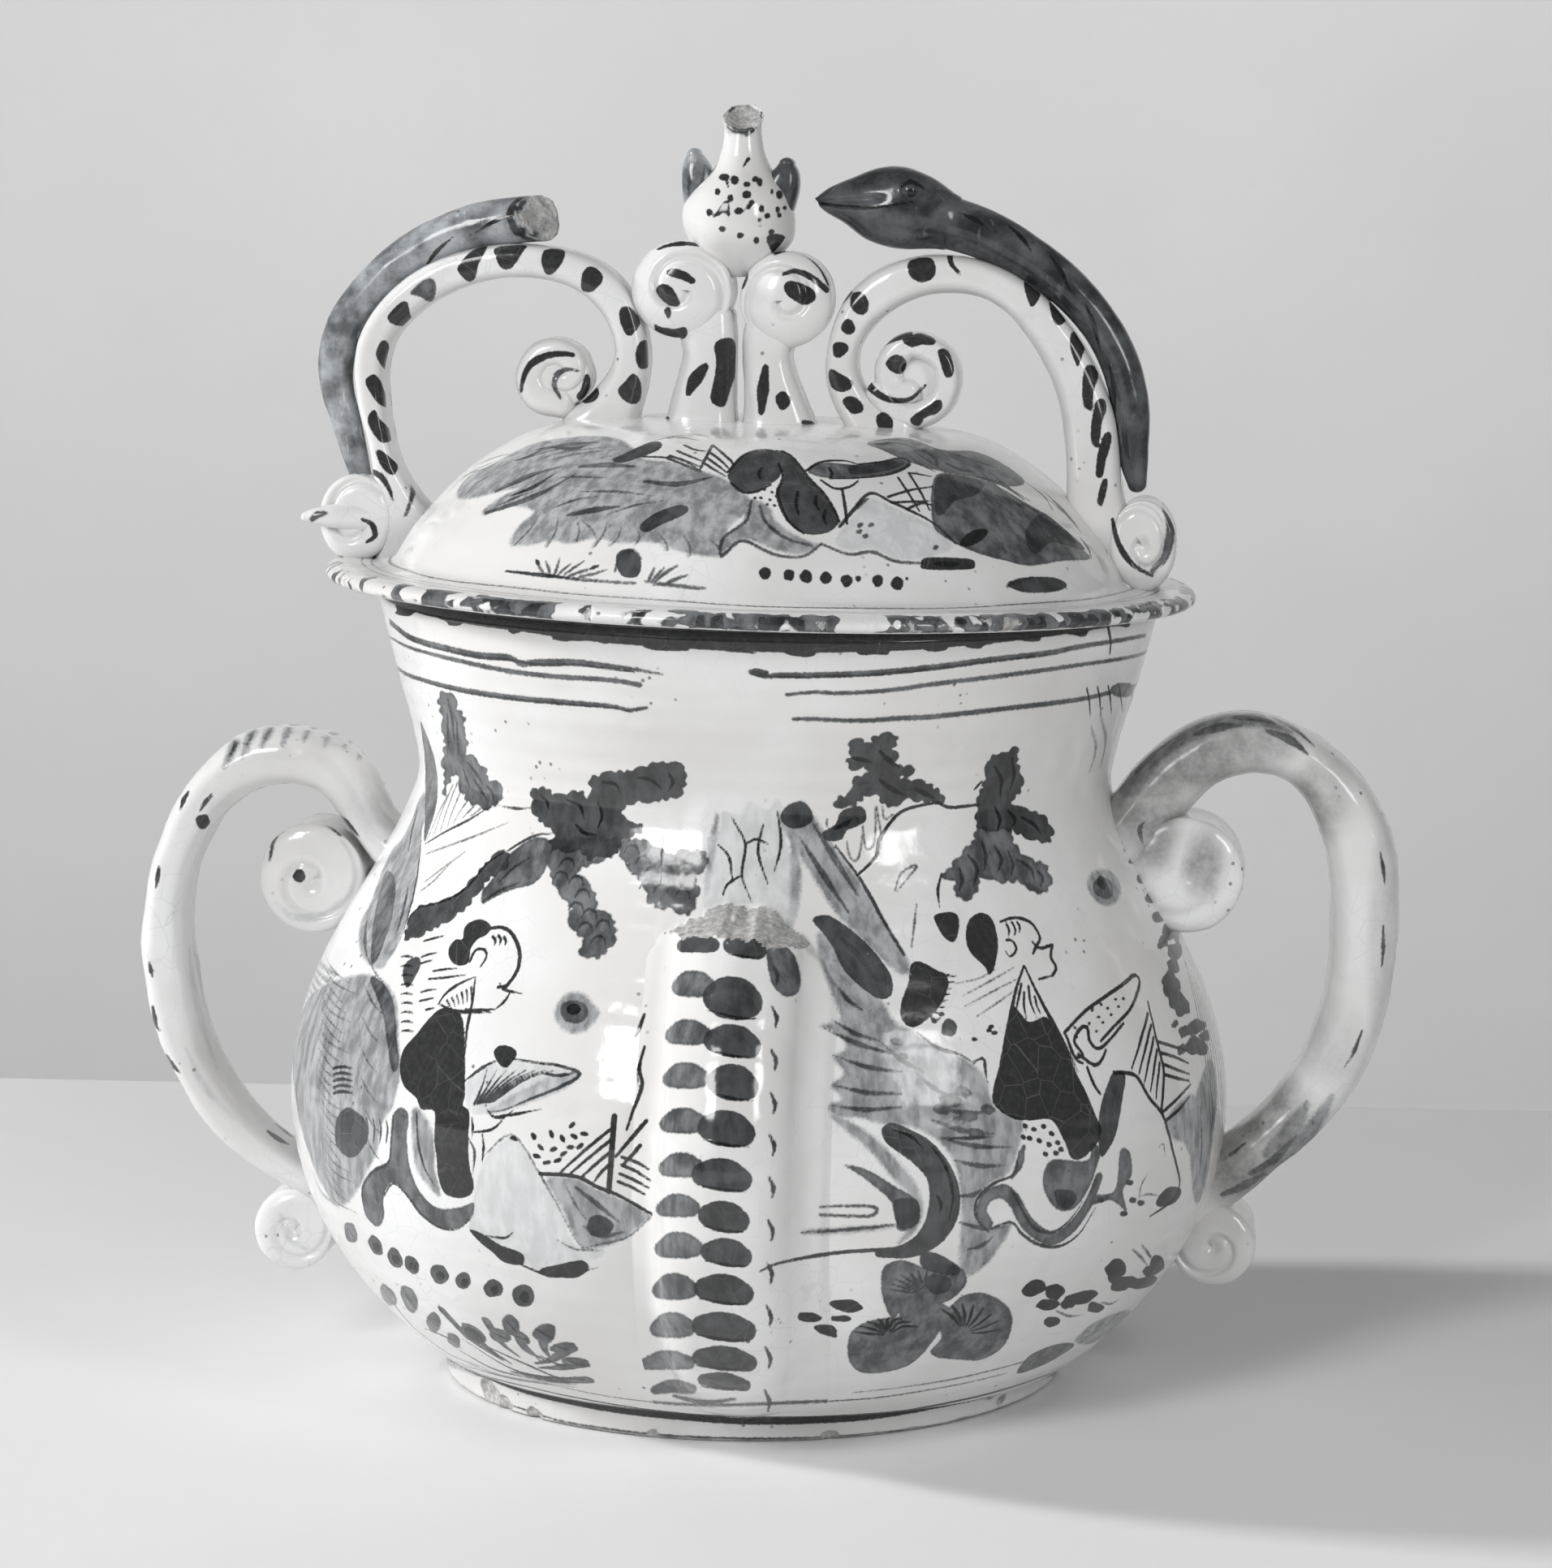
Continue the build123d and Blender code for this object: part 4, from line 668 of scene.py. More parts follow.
A(P, "deep", "830,900 855,905 850,960 835,1040 815,1080 800,1090 795,1030 800,980 815,930")
S_(P, "ink", 3.6, "830,902 856,902 882,912 910,960 940,1000 964,1090 976,1150 960,1190 910,1226", taper=(1, 1, 0.6))
A(P, "mid", "845,1075 865,1080 870,1130 850,1170 860,1215 840,1200 820,1190 780,1200 785,1180 830,1170 840,1120")
A(P, "deep", "925,1190 950,1160 980,1165 965,1195 930,1205")
S_(P, "mid", 2.6, "905,1130 890,1160 886,1190", "930,1070 940,1060 944,1090", "890,1180 910,1176 930,1180")
for _x, _y in ((872, 1190), (890, 1196), (852, 1220), (800, 1190), (866, 1150)):
    D(P, "deep", _x, _y, 9, 7)
S_(P, "ink", 3.6, "718,812 760,766 800,736 850,700 875,680 886,702 864,758 826,800 800,830", "745,868 760,860 740,830 756,800 770,800 775,830 800,846 850,790", "750,860 784,884 800,876 812,850", "770,890 786,930 800,950", "722,818 744,870 760,880", taper=(0.8, 1, 0.7))
dots(P, "ink", 5, 4, "742,800 744,822 774,790 794,776 814,756 832,736 804,788 790,808 822,770 838,752 850,734 780,760 800,748")
S_(P, "ink", 5.5, "905,742 926,832 941,900 936,990", taper=(0.7, 1, 1))
S_(P, "ink", 3.0, "905,768 888,830 870,892", "912,794 899,848 886,904", "918,822 908,872 898,924", "926,850 918,900 912,944", "932,880 928,916 924,960", "930,832 962,842 996,852", "935,856 966,866 997,880", "940,882 970,894 1000,905", "944,906 972,914 1000,920",
   "940,990 970,962 1002,928", "945,1010 975,985 1000,955", taper=(1, 1, 0.6))
A(P, "wash", "945,1010 1000,950 1020,980 1010,1060 1000,1090 985,1060 960,1050")
D(P, "wash", 808, 486, 36, 44, -30)
D(P, "mid", 804, 484, 22, 28, -30)
D(P, "ink", 800, 472, 10, 17, -20)
for _x, _y, _r in ((1389, 1036, 7), (1398, 1058, 8), (1409, 1080, 8), (1420, 1102, 9), (1427, 1131, 9), (1443, 1147, 11), (1432, 1161, 8), (1447, 1173, 10), (1445, 1191, 9), (1441, 1206, 10), (1443, 1218, 12),
                   (1450, 1233, 11), (1457, 1243, 10), (1473, 1266, 11), (1458, 1271, 8), (1469, 1287, 11), (1481, 1291, 9), (1456, 1293, 7), (1447, 1262, 5), (1484, 1276, 7), (1390, 1046, 5), (1415, 1092, 6)):
    D(P, "deep", (_x - 920) / 0.5454, (_y - 830) / 0.5454, _r / 0.5454 * 0.9, _r / 0.5454 * 1.05, (_x * 7) % 90, 0.28)
for _i in range(9):
    _k = _i * 4.4
    L(P, "mid", 2.6, f"{(1458 + _k - 920) / 0.5454:.0f},{(1176 + _i * 9 - 830) / 0.5454:.0f} {(1476 + _k - 920) / 0.5454:.0f},{(1250 + _i * 10 - 830) / 0.5454:.0f} {(1488 + _k * 0.8 - 920) / 0.5454:.0f},{(1330 + _i * 12 - 830) / 0.5454:.0f} {(1492 + _k * 0.6 - 920) / 0.5454:.0f},{(1410 + _i * 6 - 830) / 0.5454:.0f}", (0.3, 1, 1, 0.3))
A(P, "wash", "1030,900 1050,870 1062,950 1052,1050 1034,1150 1012,1200 1000,1100 1004,1000")
S_(P, "mid", 5, "1046,900 1052,1000 1040,1100", "1024,980 1026,1080 1014,1170", "1070,900 1074,1000 1064,1080", taper=(0.3, 1, 0.2))
S_(P, "wash", 6, "780,120 790,170 776,220", "800,90 812,150 800,210", taper=(0.3, 1, 0.3))
D(P, "deep", 458, 800, 19, 20)
for _x, _y in ((552, 798), (560, 812), (440, 770), (424, 786), (515, 826), (548, 806)):
    D(P, "ink", _x, _y, 8, 5, 0)
S_(P, "mid", 3.2, "335,490 350,450 386,432 372,452 340,492", "384,520 378,570 372,620")
sheet(0, 0, 1)

# ---- foot and the lines over it
for _w in ("foot", "pot"):
    L(_w, "ink", 4.4, "590,1692 640,1712 700,1727 780,1740 880,1749 930,1751 1000,1750 1080,1744 1180,1726 1240,1711 1300,1690", (0.5, 0.9, 1, 1, 0.8))
L("pot", "mid", 2.2, "660,1702 760,1722 860,1731 980,1728 1080,1722 1180,1706 1240,1692", (0.5, 1, 0.6))
L("pot", "ink", 2.6, "600,1696 640,1706 700,1720 780,1734 850,1742", (0.8, 1, 0.5))
L("pot", "mid", 2.0, "1050,1716 1120,1708 1190,1696 1260,1678 1300,1664", (0.4, 1, 0.7))
L("foot", "deep", 1.6, "600,1720 680,1748 760,1762 840,1770 950,1773 1060,1768 1180,1752 1280,1726", (0.4, 0.8, 0.4))
for _t in ("575,1635 600,1660 630,1680", "630,1625 645,1660 670,1675", "670,1640 670,1660 680,1675", "705,1660 680,1675 660,1680", "720,1680 690,1685 665,1685", "725,1700 680,1700 630,1690", "545,1615 580,1650 620,1676", "600,1628 618,1654 640,1672"):
    L("pot", "mid", 8.0, _t, (1, 0.8, 0.25))
L("pot", "deep", 2.6, "570,1650 640,1690 720,1700", (0.4, 1, 0.6))

# ---- bars on the spout: lighter left halves, darker right halves
S = "spout"
bars = [(832, 885, 1150, 1175, 893, 945, 1153, 1182), (825, 880, 1197, 1230, 870, 940, 1205, 1258), (817, 875, 1257, 1289, 870, 938, 1265, 1305),
        (814, 872, 1310, 1343, 874, 935, 1313, 1358), (810, 870, 1366, 1398, 863, 931, 1370, 1415), (809, 866, 1421, 1452, 855, 927, 1430, 1470),
        (806, 861, 1472, 1501, 863, 924, 1481, 1520), (804, 864, 1519, 1552, 866, 927, 1528, 1562), (801, 858, 1570, 1603, 858, 929, 1572, 1609),
        (798, 855, 1618, 1650, 855, 932, 1618, 1654), (787, 855, 1665, 1689, 855, 933, 1661, 1690), (800, 857, 1701, 1718, 861, 925, 1693, 1713)]
A(S, "pale", "872,1130 866,1100 876,1066 868,1040 886,1022 890,1000 912,1004 922,988 946,998 958,984 972,1010 968,1040 982,1066 974,1096 984,1120 972,1140 956,1128 938,1114 900,1116 884,1128")
L(S, "wash", 6, "884,1004 876,1050 870,1100", (0.3, 1, 0.3))
L(S, "wash", 7, "972,1010 980,1060 978,1116 968,1150", (0.3, 1, 0.6))
for t in ("902,1008 918,1040 914,1078 926,1112", "940,1016 934,1050 946,1090", "884,1040 898,1056 902,1084", "958,1000 962,1040 954,1074", "918,1040 932,1034 946,1040", "914,1078 896,1090 890,1104"):
    L(S, "ink", 1.3, t, (0.6, 1, 0.5))
for i, (a, b, c, d, e, f_, g, h) in enumerate(bars):
    w = 3 * math.sin(i * 2.3)
    hl, hr, cl, cr = (d - c) / 2, (h - g) / 2, (c + d) / 2, (g + h) / 2
    L(S, "deep" if i == 0 else "mid", hl, f"{a + hl * 0.8},{cl + 3} {(a + b) / 2},{cl - 1.5} {b - hl * 0.55},{cl + 2}", (0.66, 1, 1, 0.7))
    L(S, "deep", hr, f"{e + hr * 0.55},{cr - 3} {(e + f_) / 2},{cr - 2 + w * 0.3} {f_ - hr * 0.75},{cr + 4}", (0.72, 1, 1, 0.74))
    L(S, "ink", 1.4, f"{e + 3},{cr + hr * 0.5} {(e + f_) / 2},{cr + hr * 0.82} {f_ - 8},{cr + hr * 0.9}", (0.4, 1, 0.5))
L(S, "mid", 3.6, "830,1720 868,1728 905,1724", (0.5, 1, 0.5))
A(S, "mid", "945,1168 962,1163 978,1176 986,1200 984,1222 968,1228 952,1214 946,1192")
for i in range(11):
    y = 1188 + i * 52.5
    L(S, "deep", 2.2, f"{952 - i},{y:.0f} {958 - i},{y + 14:.0f} {956 - i},{y + 26:.0f}", (0.5, 1, 0.4))

# ---- the lid's dome
Q = "lid"
sheet(440, 520, 0.5714)
A(Q, "wash", "215,150 240,118 290,92 380,48 480,32 560,36 600,60 620,80 680,86 740,105 790,122 830,152 850,170 835,200 800,230 790,285 760,290 700,280 640,260 560,262 520,250 460,262 420,256 370,266 330,262 350,222 380,192 320,182 278,200 272,190 310,162 350,142 262,162 222,166")
for _x0, _y0, _x1, _y1 in ((392, 196, 334, 268), (430, 205, 408, 268), (470, 212, 470, 258), (480, 212, 512, 250), (536, 214, 508, 270), (566, 222, 546, 266), (600, 228, 600, 262), (640, 236, 668, 276), (700, 246, 716, 288), (752, 250, 786, 290)):
    L(Q, "wash", 8, f"{_x0},{_y0} {(_x0 + _x1) / 2 + 4},{(_y0 + _y1) / 2} {_x1},{_y1}", (1, 1, 0.3))
    L(Q, "mid", 2.4, f"{_x0 + 4},{_y0} {(_x0 + _x1) / 2 + 9},{(_y0 + _y1) / 2} {_x1 + 3},{_y1}", (0.2, 1, 0.6))
S_(Q, "mid", 10, "278,196 330,180 400,152 470,112", "620,128 690,134 765,120", "455,200 510,190 566,182", "300,150 360,120 440,96", "390,60 450,50 520,44", "480,96 540,92 600,96")
S_(Q, "deep", 9, "330,160 380,140 428,110", "306,148 350,128 402,106", "552,80 600,62 652,46", "420,55 470,58 500,48", "340,84 372,74 400,60", taper=(0.3, 1, 0.2))
A(Q, "deep", "608,226 640,198 690,180 714,184 706,200 660,220 624,238")
A(Q, "deep", "550,82 580,66 630,44 656,44 650,60 600,80 566,88")
S_(Q, "mid", 4, "190,160 230,118 290,96", "200,150 244,110 300,84", "230,160 262,130 312,106", "250,96 300,76 330,70", "300,182 350,160 384,148", "430,120 480,118 540,120", "470,150 560,150 640,160", "540,200 600,180 660,170", "420,186 470,168 520,160", taper=(0.2, 1, 0.2))
S_(Q, "mid", 3, "362,80 420,62 500,50", "385,84 440,66 540,54", "400,86 470,70 560,60", "660,36 700,34 740,40", "640,40 690,30 730,30", taper=(0.3, 1, 0.3))
S_(Q, "deep", 2.6, "766,50 752,78 736,108", "766,50 790,70 812,94 800,122", "668,78 700,90 738,108", "674,72 708,84 744,98", "690,62 718,74 748,86", "604,74 660,76 700,80 742,108", "758,64 782,82 804,104", "752,76 774,92 800,112", "746,88 768,102 794,118", "706,50 730,60 758,64", taper=(1, 1, 0.5))
A(Q, "deep", "800,110 830,75 870,62 910,65 920,90 910,120 890,135 860,150 830,150 805,130")
A(Q, "deep", "915,60 940,80 970,120 1000,150 1025,185 1040,215 1010,240 960,240 930,215 915,185 905,150 920,120 910,90")
S_(Q, "ink", 3, "800,108 832,73 872,60 912,64", "905,62 936,74 976,124 1004,152 1028,188 1040,216", "806,132 832,152 862,150 892,136", "908,90 918,120 906,152 916,188 932,216 962,240", "872,100 866,112 870,124", "990,160 988,176 996,190", "1010,190 1006,206 1012,220", "950,150 946,176 952,200", taper=(0.8, 1, 0.6))
for _x, _y in ((862, 150), (878, 146), (894, 152), (870, 164), (890, 168), (904, 160), (884, 178), (900, 180), (858, 164)):
    D(Q, "ink", _x, _y, 5, 3.6, 20)
A(Q, "wash", "850,165 890,185 900,210 930,235 980,260 1000,265 960,285 900,275 850,255 810,265 785,290 790,250 830,215 835,185")
S_(Q, "mid", 4.5, "850,170 838,214 790,250 786,290 830,256 900,286 960,290 1002,262", "868,180 880,214 920,248 980,268", taper=(0.8, 1, 0.7))
A(Q, "mid", "970,105 1000,88 1080,92 1170,78 1190,90 1150,110 1080,120 1020,122 985,115")
S_(Q, "ink", 3, "968,106 1000,87 1050,84 1080,92", "1080,92 1130,86 1172,78 1192,90 1150,112 1080,121 1018,123", "1046,146 1052,184 1056,220", "1000,126 1030,144 1062,140 1080,128", "1018,100 1024,112 1020,120", taper=(0.8, 1, 0.6))
A(Q, "deep", "1060,96 1110,92 1170,82 1180,92 1130,108 1070,114")
S_(Q, "deep", 3.6, "1040,226 1068,192 1106,154 1150,172 1240,216 1290,262", taper=(0.8, 1, 0.6))
S_(Q, "mid", 5, "1060,202 1080,182 1100,166", "1005,265 1060,285 1110,280 1160,300 1222,305", taper=(0.6, 1, 0.7))
A(Q, "pale", "1048,226 1072,200 1104,166 1150,182 1236,222 1284,266 1240,290 1170,296 1110,274 1060,276 1030,262")
for _x, _y in ((1082, 236), (1108, 222), (1084, 222), (1096, 246), (1248, 270)):
    D(Q, "mid", _x, _y, 8, 5, -20)
S_(Q, "ink", 2.4, "1145,162 1190,148 1240,140", "1152,174 1196,172 1236,170", "1166,120 1190,156 1212,192", "1190,112 1214,150 1234,190", "1186,188 1214,176 1240,178", "1190,110 1206,112 1238,118", taper=(1, 1, 0.6))
A(Q, "mid", "1245,120 1300,115 1360,130 1400,150 1450,180 1500,210 1560,270 1580,295 1520,300 1450,310 1400,300 1330,280 1270,250 1240,215")
A(Q, "deep", "1440,240 1470,200 1500,210 1570,275 1500,260 1460,285")
A(Q, "deep", "1250,122 1300,118 1350,134 1330,160 1290,170 1262,200 1246,190")
A(Q, "mid", "1100,45 1180,35 1260,60 1330,65 1390,90 1440,130 1400,140 1330,120 1270,110 1200,90 1130,60")
S_(Q, "deep", 8, "1120,48 1170,46 1210,60", "1290,70 1330,84 1380,100", "1340,120 1390,136 1440,170", "1270,90 1300,104 1330,108", "1500,170 1530,200 1560,236", "1220,62 1246,80 1250,100")
S_(Q, "deep", 3, "1340,104 1390,150 1450,196", "1360,106 1404,142 1452,172", "1200,62 1230,84 1262,104", "1190,74 1216,92 1246,108", "1400,150 1440,180 1470,196", "1480,160 1520,192 1556,226", "1440,130 1480,160 1500,190", taper=(0.4, 1, 0.4))
S_(Q, "mid", 6, "1300,180 1380,200 1440,236", "1290,220 1350,240 1420,256", "1360,170 1420,200 1460,230", "1380,280 1440,290 1520,292", "1500,230 1540,262 1572,290", "1480,150 1520,186 1550,220", taper=(0.3, 1, 0.2))
D(Q, "ink", 1330, 248, 32, 14, -26)
A(Q, "ink", "1215,305 1230,292 1320,295 1332,308 1320,318 1225,318")
D(Q, "mid", 1270, 306, 30, 6, 2)
for _x, _y, _r in ((880, 326, 14), (931, 330, 13), (968, 333, 14), (1010, 336, 13), (1056, 342, 14), (1080, 338, 7), (1122, 342, 13), (1165, 347, 15), (1186, 338, 4)):
    D(Q, "ink", _x, _y, _r, _r * 1.02, 0)
S_(Q, "mid", 4, "386,300 394,314 402,328", "406,300 412,314 416,328", "436,294 432,312 426,328", "462,306 446,318 434,330", "490,300 466,316 448,328", "520,312 486,322 458,332", "320,322 400,330 480,340 560,346 600,348", "540,318 510,328 480,334", taper=(0.4, 1, 0.8))
S_(Q, "deep", 4, "386,298 394,310", "520,310 500,318", "322,322 400,331 480,340")
A(Q, "deep", "560,285 590,274 612,300 606,332 580,336 562,320")
S_(Q, "mid", 5, "556,322 566,290 592,276 612,296", "690,310 664,326 640,346", "712,330 684,340 658,352", "662,314 648,330 634,346", "640,316 634,330 628,344", "750,358 700,354 640,350", "620,344 680,352 740,360", taper=(0.5, 1, 0.6))
A(Q, "deep", "1400,350 1440,335 1500,335 1530,350 1510,365 1440,368")
S_(Q, "mid", 5, "1500,338 1520,350 1530,360", "1400,356 1430,342 1460,334")
S_(Q, "deep", 4, "1560,250 1576,272 1584,296", "1596,236 1610,262 1618,286")
sheet(0, 0, 1)

# ---- left loop
W = "left_loop"
for t in ("600,303 583,308 570,320 563,333 577,347 585,343 590,325 597,312", "611,305 648,302 643,312 635,325 627,332 617,330 611,318", "668,312 675,307 693,307 696,315 690,328 680,338 672,337 667,325",
          "718,335 728,328 740,335 743,345 735,355 727,360 716,356", "764,380 775,378 785,388 789,398 783,408 775,415 768,407 763,393", "788,422 798,420 803,435 801,450 792,455 785,450 783,435",
          "780,460 789,470 790,488 785,497 775,497 765,490 761,480 770,470", "470,420 478,422 481,435 484,457 477,458 468,448 463,435", "450,470 460,461 468,468 473,480 479,500 470,500 460,490",
          "455,510 462,505 467,515 475,523 483,533 482,543 470,545 460,535 453,520", "463,555 470,555 480,563 490,573 488,583 482,585 472,578 465,565", "710,490 715,480 722,460 730,470 738,482 735,492 722,497",
          "500,370 505,385 508,397 500,402 485,400 477,392 485,380"):
    A(W, "ink", t)
A(W, "mid", "530,342 537,350 536,365 530,372 515,365 505,362 515,350")
D(W, "ink", 525, 612, 5, 4)
L(W, "ink", 4.0, "440,583 455,580 470,588 480,605 483,618", (0.4, 1, 0.5))
L(W, "ink", 5.0, "642,482 645,465 655,448 675,438 695,436 706,437", (0.4, 1, 0.6))
# painted shade in the spiral groove of the inner roll
L(W, "mid", 4.0, "690,490 683,475 688,460 700,455 712,457", (0.5, 1, 0.4))
L(W, "mid", 5.0, "384,640 392,634 402,632", (0.6, 1, 0.4))
L(W, "ink", 4.0, "446,640 458,646 462,660 452,668", (0.5, 1, 0.5))
L(W, "mid", 4.0, "498,640 508,610 512,580 520,556", (0.4, 1, 0.3))

# ---- right loop
W = "right_loop"
for t in ("1118,325 1130,318 1147,318 1153,330 1150,342 1137,348 1122,342", "1262,343 1272,345 1282,358 1278,372 1270,378 1263,360", "1292,366 1300,372 1312,390 1312,397 1303,401 1296,392",
          "1320,410 1330,410 1337,425 1333,440 1328,452 1322,440 1318,425", "1337,452 1350,452 1353,465 1348,480 1345,505 1336,503 1333,480", "1350,495 1360,492 1363,505 1358,520 1353,550 1345,550 1344,525",
          "1360,535 1368,533 1369,545 1362,570 1358,588 1350,586 1352,560", "1358,592 1365,592 1362,610 1357,625 1351,620", "1050,362 1062,360 1070,372 1068,385 1058,388 1048,378",
          "1042,393 1050,395 1054,407 1045,413 1036,405", "1027,423 1040,422 1046,430 1035,441 1027,438", "1022,455 1035,460 1050,470 1047,480 1035,483 1023,475", "1038,492 1050,488 1062,497 1063,507 1050,510 1040,500",
          "1080,512 1090,508 1100,518 1098,530 1087,533 1080,522", "1112,420 1125,412 1140,410 1152,418 1150,425 1135,425 1122,428", "1155,432 1165,430 1172,440 1175,460 1165,465 1158,445",
          "1122,515 1135,505 1155,492 1161,497 1157,508 1140,515 1133,525 1123,522"):
    A(W, "ink", t)
L(W, "ink", 4.0, "1170,312 1172,325 1183,338", (1, 0.5))
D(W, "ink", 1105, 449, 13, 12)
# painted shadow in the deep spiral groove of the inner roll
L(W, "ink", 6.0, "1118,410 1085,422 1070,440 1065,462 1075,480 1095,492 1120,492 1140,475", (1, 1, 0.7, 0.3))
L(W, "ink", 4.4, "1048,360 1025,385 1010,410 1003,440 1005,470 1015,495 1025,508", (0.6, 1, 0.6))
L(W, "ink", 4.0, "1370,640 1378,670 1395,695 1420,710", (0.6, 1, 0.5))
L(W, "mid", 6.0, "1434,622 1442,650 1436,684 1420,704", (0.6, 1, 0.6))

# ---- serpents: their own light scratches and the head's lines
W = "serpents"
for t in ("1003,249 1040,255 1080,255 1130,248", ):
    L(W, "ink", 3.0, t, (0.7, 1, 0.4))
D(W, "ink", 1123, 238, 6, 5)
L(W, "ink", 2.4, "1108,232 1122,224 1138,232", (0.4, 1, 0.5))
for t in ("1180,262 1200,270 1218,282", "1240,276 1258,292 1272,312", "1292,312 1308,336 1320,362", "1336,372 1348,402 1356,434", "1366,444 1372,480 1374,514", "640,262 610,272 584,288", "560,290 536,312 520,336",
          "500,352 484,384 474,410", "466,424 458,456 458,488"):
    L(W, "ink", 3.2, t, (0.2, 1, 0.2))

# ---- centre volutes and stems
W = "centre"
# two of these shapes are painted shade: the dark bar at 806-846, 398-418 stands for the shadowed scroll behind, and the
# small triangle at 905-922, 337-357 for the shadowed gap under the bird
for t in ("820,335 830,331 845,335 857,345 853,350 840,345 825,340", "808,358 815,350 825,352 833,362 838,375 830,378 818,372", "818,382 824,378 827,386 823,393",
          "806,398 812,402 830,405 845,403 846,415 835,418 815,415 808,410", "880,425 890,417 903,418 909,435 908,455 900,480 893,500 882,500 875,490 880,465 882,445",
          "966,350 975,346 990,350 1003,358 1004,370 990,376 975,368 967,360", "905,337 922,337 914,357"):
    A(W, "ink", t)
L(W, "ink", 3.0, "810,307 825,302 845,300 868,303", (0.5, 1, 0.5))
L(W, "ink", 9.0, "868,452 855,470 848,485", (0.6, 1, 0.4))
L(W, "ink", 8.0, "943,452 940,480 938,508", (0.5, 1, 0.5))
D(W, "ink", 965, 493, 9, 12)
L(W, "ink", 4.0, "965,338 980,334 1000,342 1018,357", (0.6, 1, 1))
L(W, "ink", 4.0, "955,312 975,306 995,313 1012,330 1022,350", (0.6, 1, 0.8))
L(W, "ink", 3.0, "785,515 800,519 822,516")
L(W, "ink", 3.0, "990,520 1006,523 1020,526")

# ---- the bird
W = "bird"
for t in ("922,196 919,200 916,205", "894,218 896,226 898,232"):
    L(W, "ink", 2.6, t, (1, 0.4))
for x, y, rx, ry in ((892, 218, 7, 5), (905, 222, 5, 6), (920, 227, 5, 4), (930, 221, 4, 4), (936, 224, 4, 6), (920, 240, 6, 5), (926, 250, 4, 4), (922, 255, 3, 4), (910, 260, 6, 5), (938, 257, 4, 5), (945, 266, 4, 4),
                     (936, 271, 2.5, 4), (936, 278, 2, 3), (951, 236, 2, 4), (960, 240, 4, 6), (958, 258, 3, 5), (967, 256, 3, 3), (960, 265, 3, 4), (900, 244, 4, 5), (884, 236, 4, 5), (890, 282, 5, 4), (912, 290, 5, 4),
                     (932, 296, 4, 5), (950, 286, 4, 4), (976, 272, 4, 5), (874, 262, 4, 5)):
    D(W, "ink", x, y, rx, ry)
A(W, "ink", "877,268 885,258 893,247 898,250 899,268 892,262 885,266")
A(W, "ink", "944,293 955,288 968,292 965,305 955,320 950,310")
D(W, "mid", 920, 150, 23, 14)
W = "wings"
for t in ("848,240 850,220 856,206", "862,244 866,222 868,204", "874,244 876,226 874,210"):
    L(W, "mid", 2.6, t, (0.5, 1, 0.4))

# ---- handles: a few thin bars over the left one's top, worn marks along the edges, a stained right one
W = "left_handle"
for _i, (_x, _y) in enumerate(((286, 925), (308, 909), (332, 899), (358, 893), (384, 891), (410, 893), (434, 900), (452, 910))):
    L(W, "wash", 6.5, f"{_x + 4},{_y - 9} {_x - 2},{_y + 4} {_x - 10},{_y + 21 + 4 * (_i % 2)}", (1, 0.8, 0.3))
    L(W, "mid", 3.0, f"{_x + 4},{_y - 9} {_x + 1},{_y - 1} {_x - 5},{_y + 12}", (1, 0.7, 0.2))
D(W, "ink", 250, 1012, 9, 9, 14)
for t in ("196,1068 194,1082 192,1094", "184,1186 186,1196 188,1204", "205,1300 212,1312 222,1322", "262,978 252,990 246,1000", "188,1240 192,1262 196,1270", "330,1394 344,1404 356,1410", "232,976 226,986 222,998"):
    L(W, "deep", 3.2, t, (0.5, 1, 0.3))
for t in ("240,1100 236,1180 246,1250 268,1318", "228,1290 250,1336 290,1380"):
    L(W, "pale", 5.0, t, (0.2, 1, 0.2))
D(W, "ink", 369, 1079, 8, 8)
L(W, "mid", 4.0, "332,1060 340,1030 364,1012 396,1012 420,1030", (0.4, 1, 0.3))
L(W, "deep", 3.0, "404,1000 426,1012 442,1030", (0.4, 1, 0.3))
L(W, "pale", 6.0, "420,1110 396,1128 362,1130 340,1112", (0.4, 1, 0.3))
L(W, "pale", 5.0, "345,1496 358,1526 378,1540", (0.4, 1, 0.3))
W = "right_handle"
L(W, "wash", 15, "1392,968 1418,930 1456,904 1500,890 1546,888 1590,902", (1, 1, 0.9, 0.6, 0.2))
L(W, "wash", 8, "1408,944 1446,916 1494,900", (0.6, 1, 0.4))
for t in ("1400,952 1420,926 1446,908", "1436,902 1462,890 1486,884", "1472,905 1502,896 1530,894", "1520,884 1548,884 1572,892", "1560,900 1590,912 1612,930"):
    L(W, "mid", 6.0, t, (0.4, 1, 0.2))
for t in ("1420,910 1452,888 1492,876 1536,874", "1560,880 1592,896 1620,920"):
    L(W, "deep", 2.6, t, (0.3, 1, 0.3))
for t in ("1640,1352 1616,1392 1584,1426 1548,1450", "1610,1360 1590,1392 1560,1422"):
    L(W, "wash", 10, t, (0.4, 1, 1, 0.6))
for t in ("1596,1400 1570,1428 1540,1446", "1560,1446 1530,1462 1506,1472"):
    L(W, "mid", 5.5, t, (0.3, 1, 0.5))
for t in ("1704,1140 1704,1170 1702,1192", "1678,1270 1668,1296 1656,1316", "1700,1050 1704,1070 1706,1090", "1534,1408 1520,1420 1506,1430"):
    L(W, "deep", 2.6, t, (0.5, 1, 0.3))
for t in ("1412,1006 1404,1022 1408,1040", "1532,1486 1540,1498 1544,1508", "1468,1002 1490,1004 1506,1012"):
    L(W, "deep", 3.4, t, (0.5, 1, 0.4))
STROKES["pot_back"] = [s for s in STROKES["pot"]]
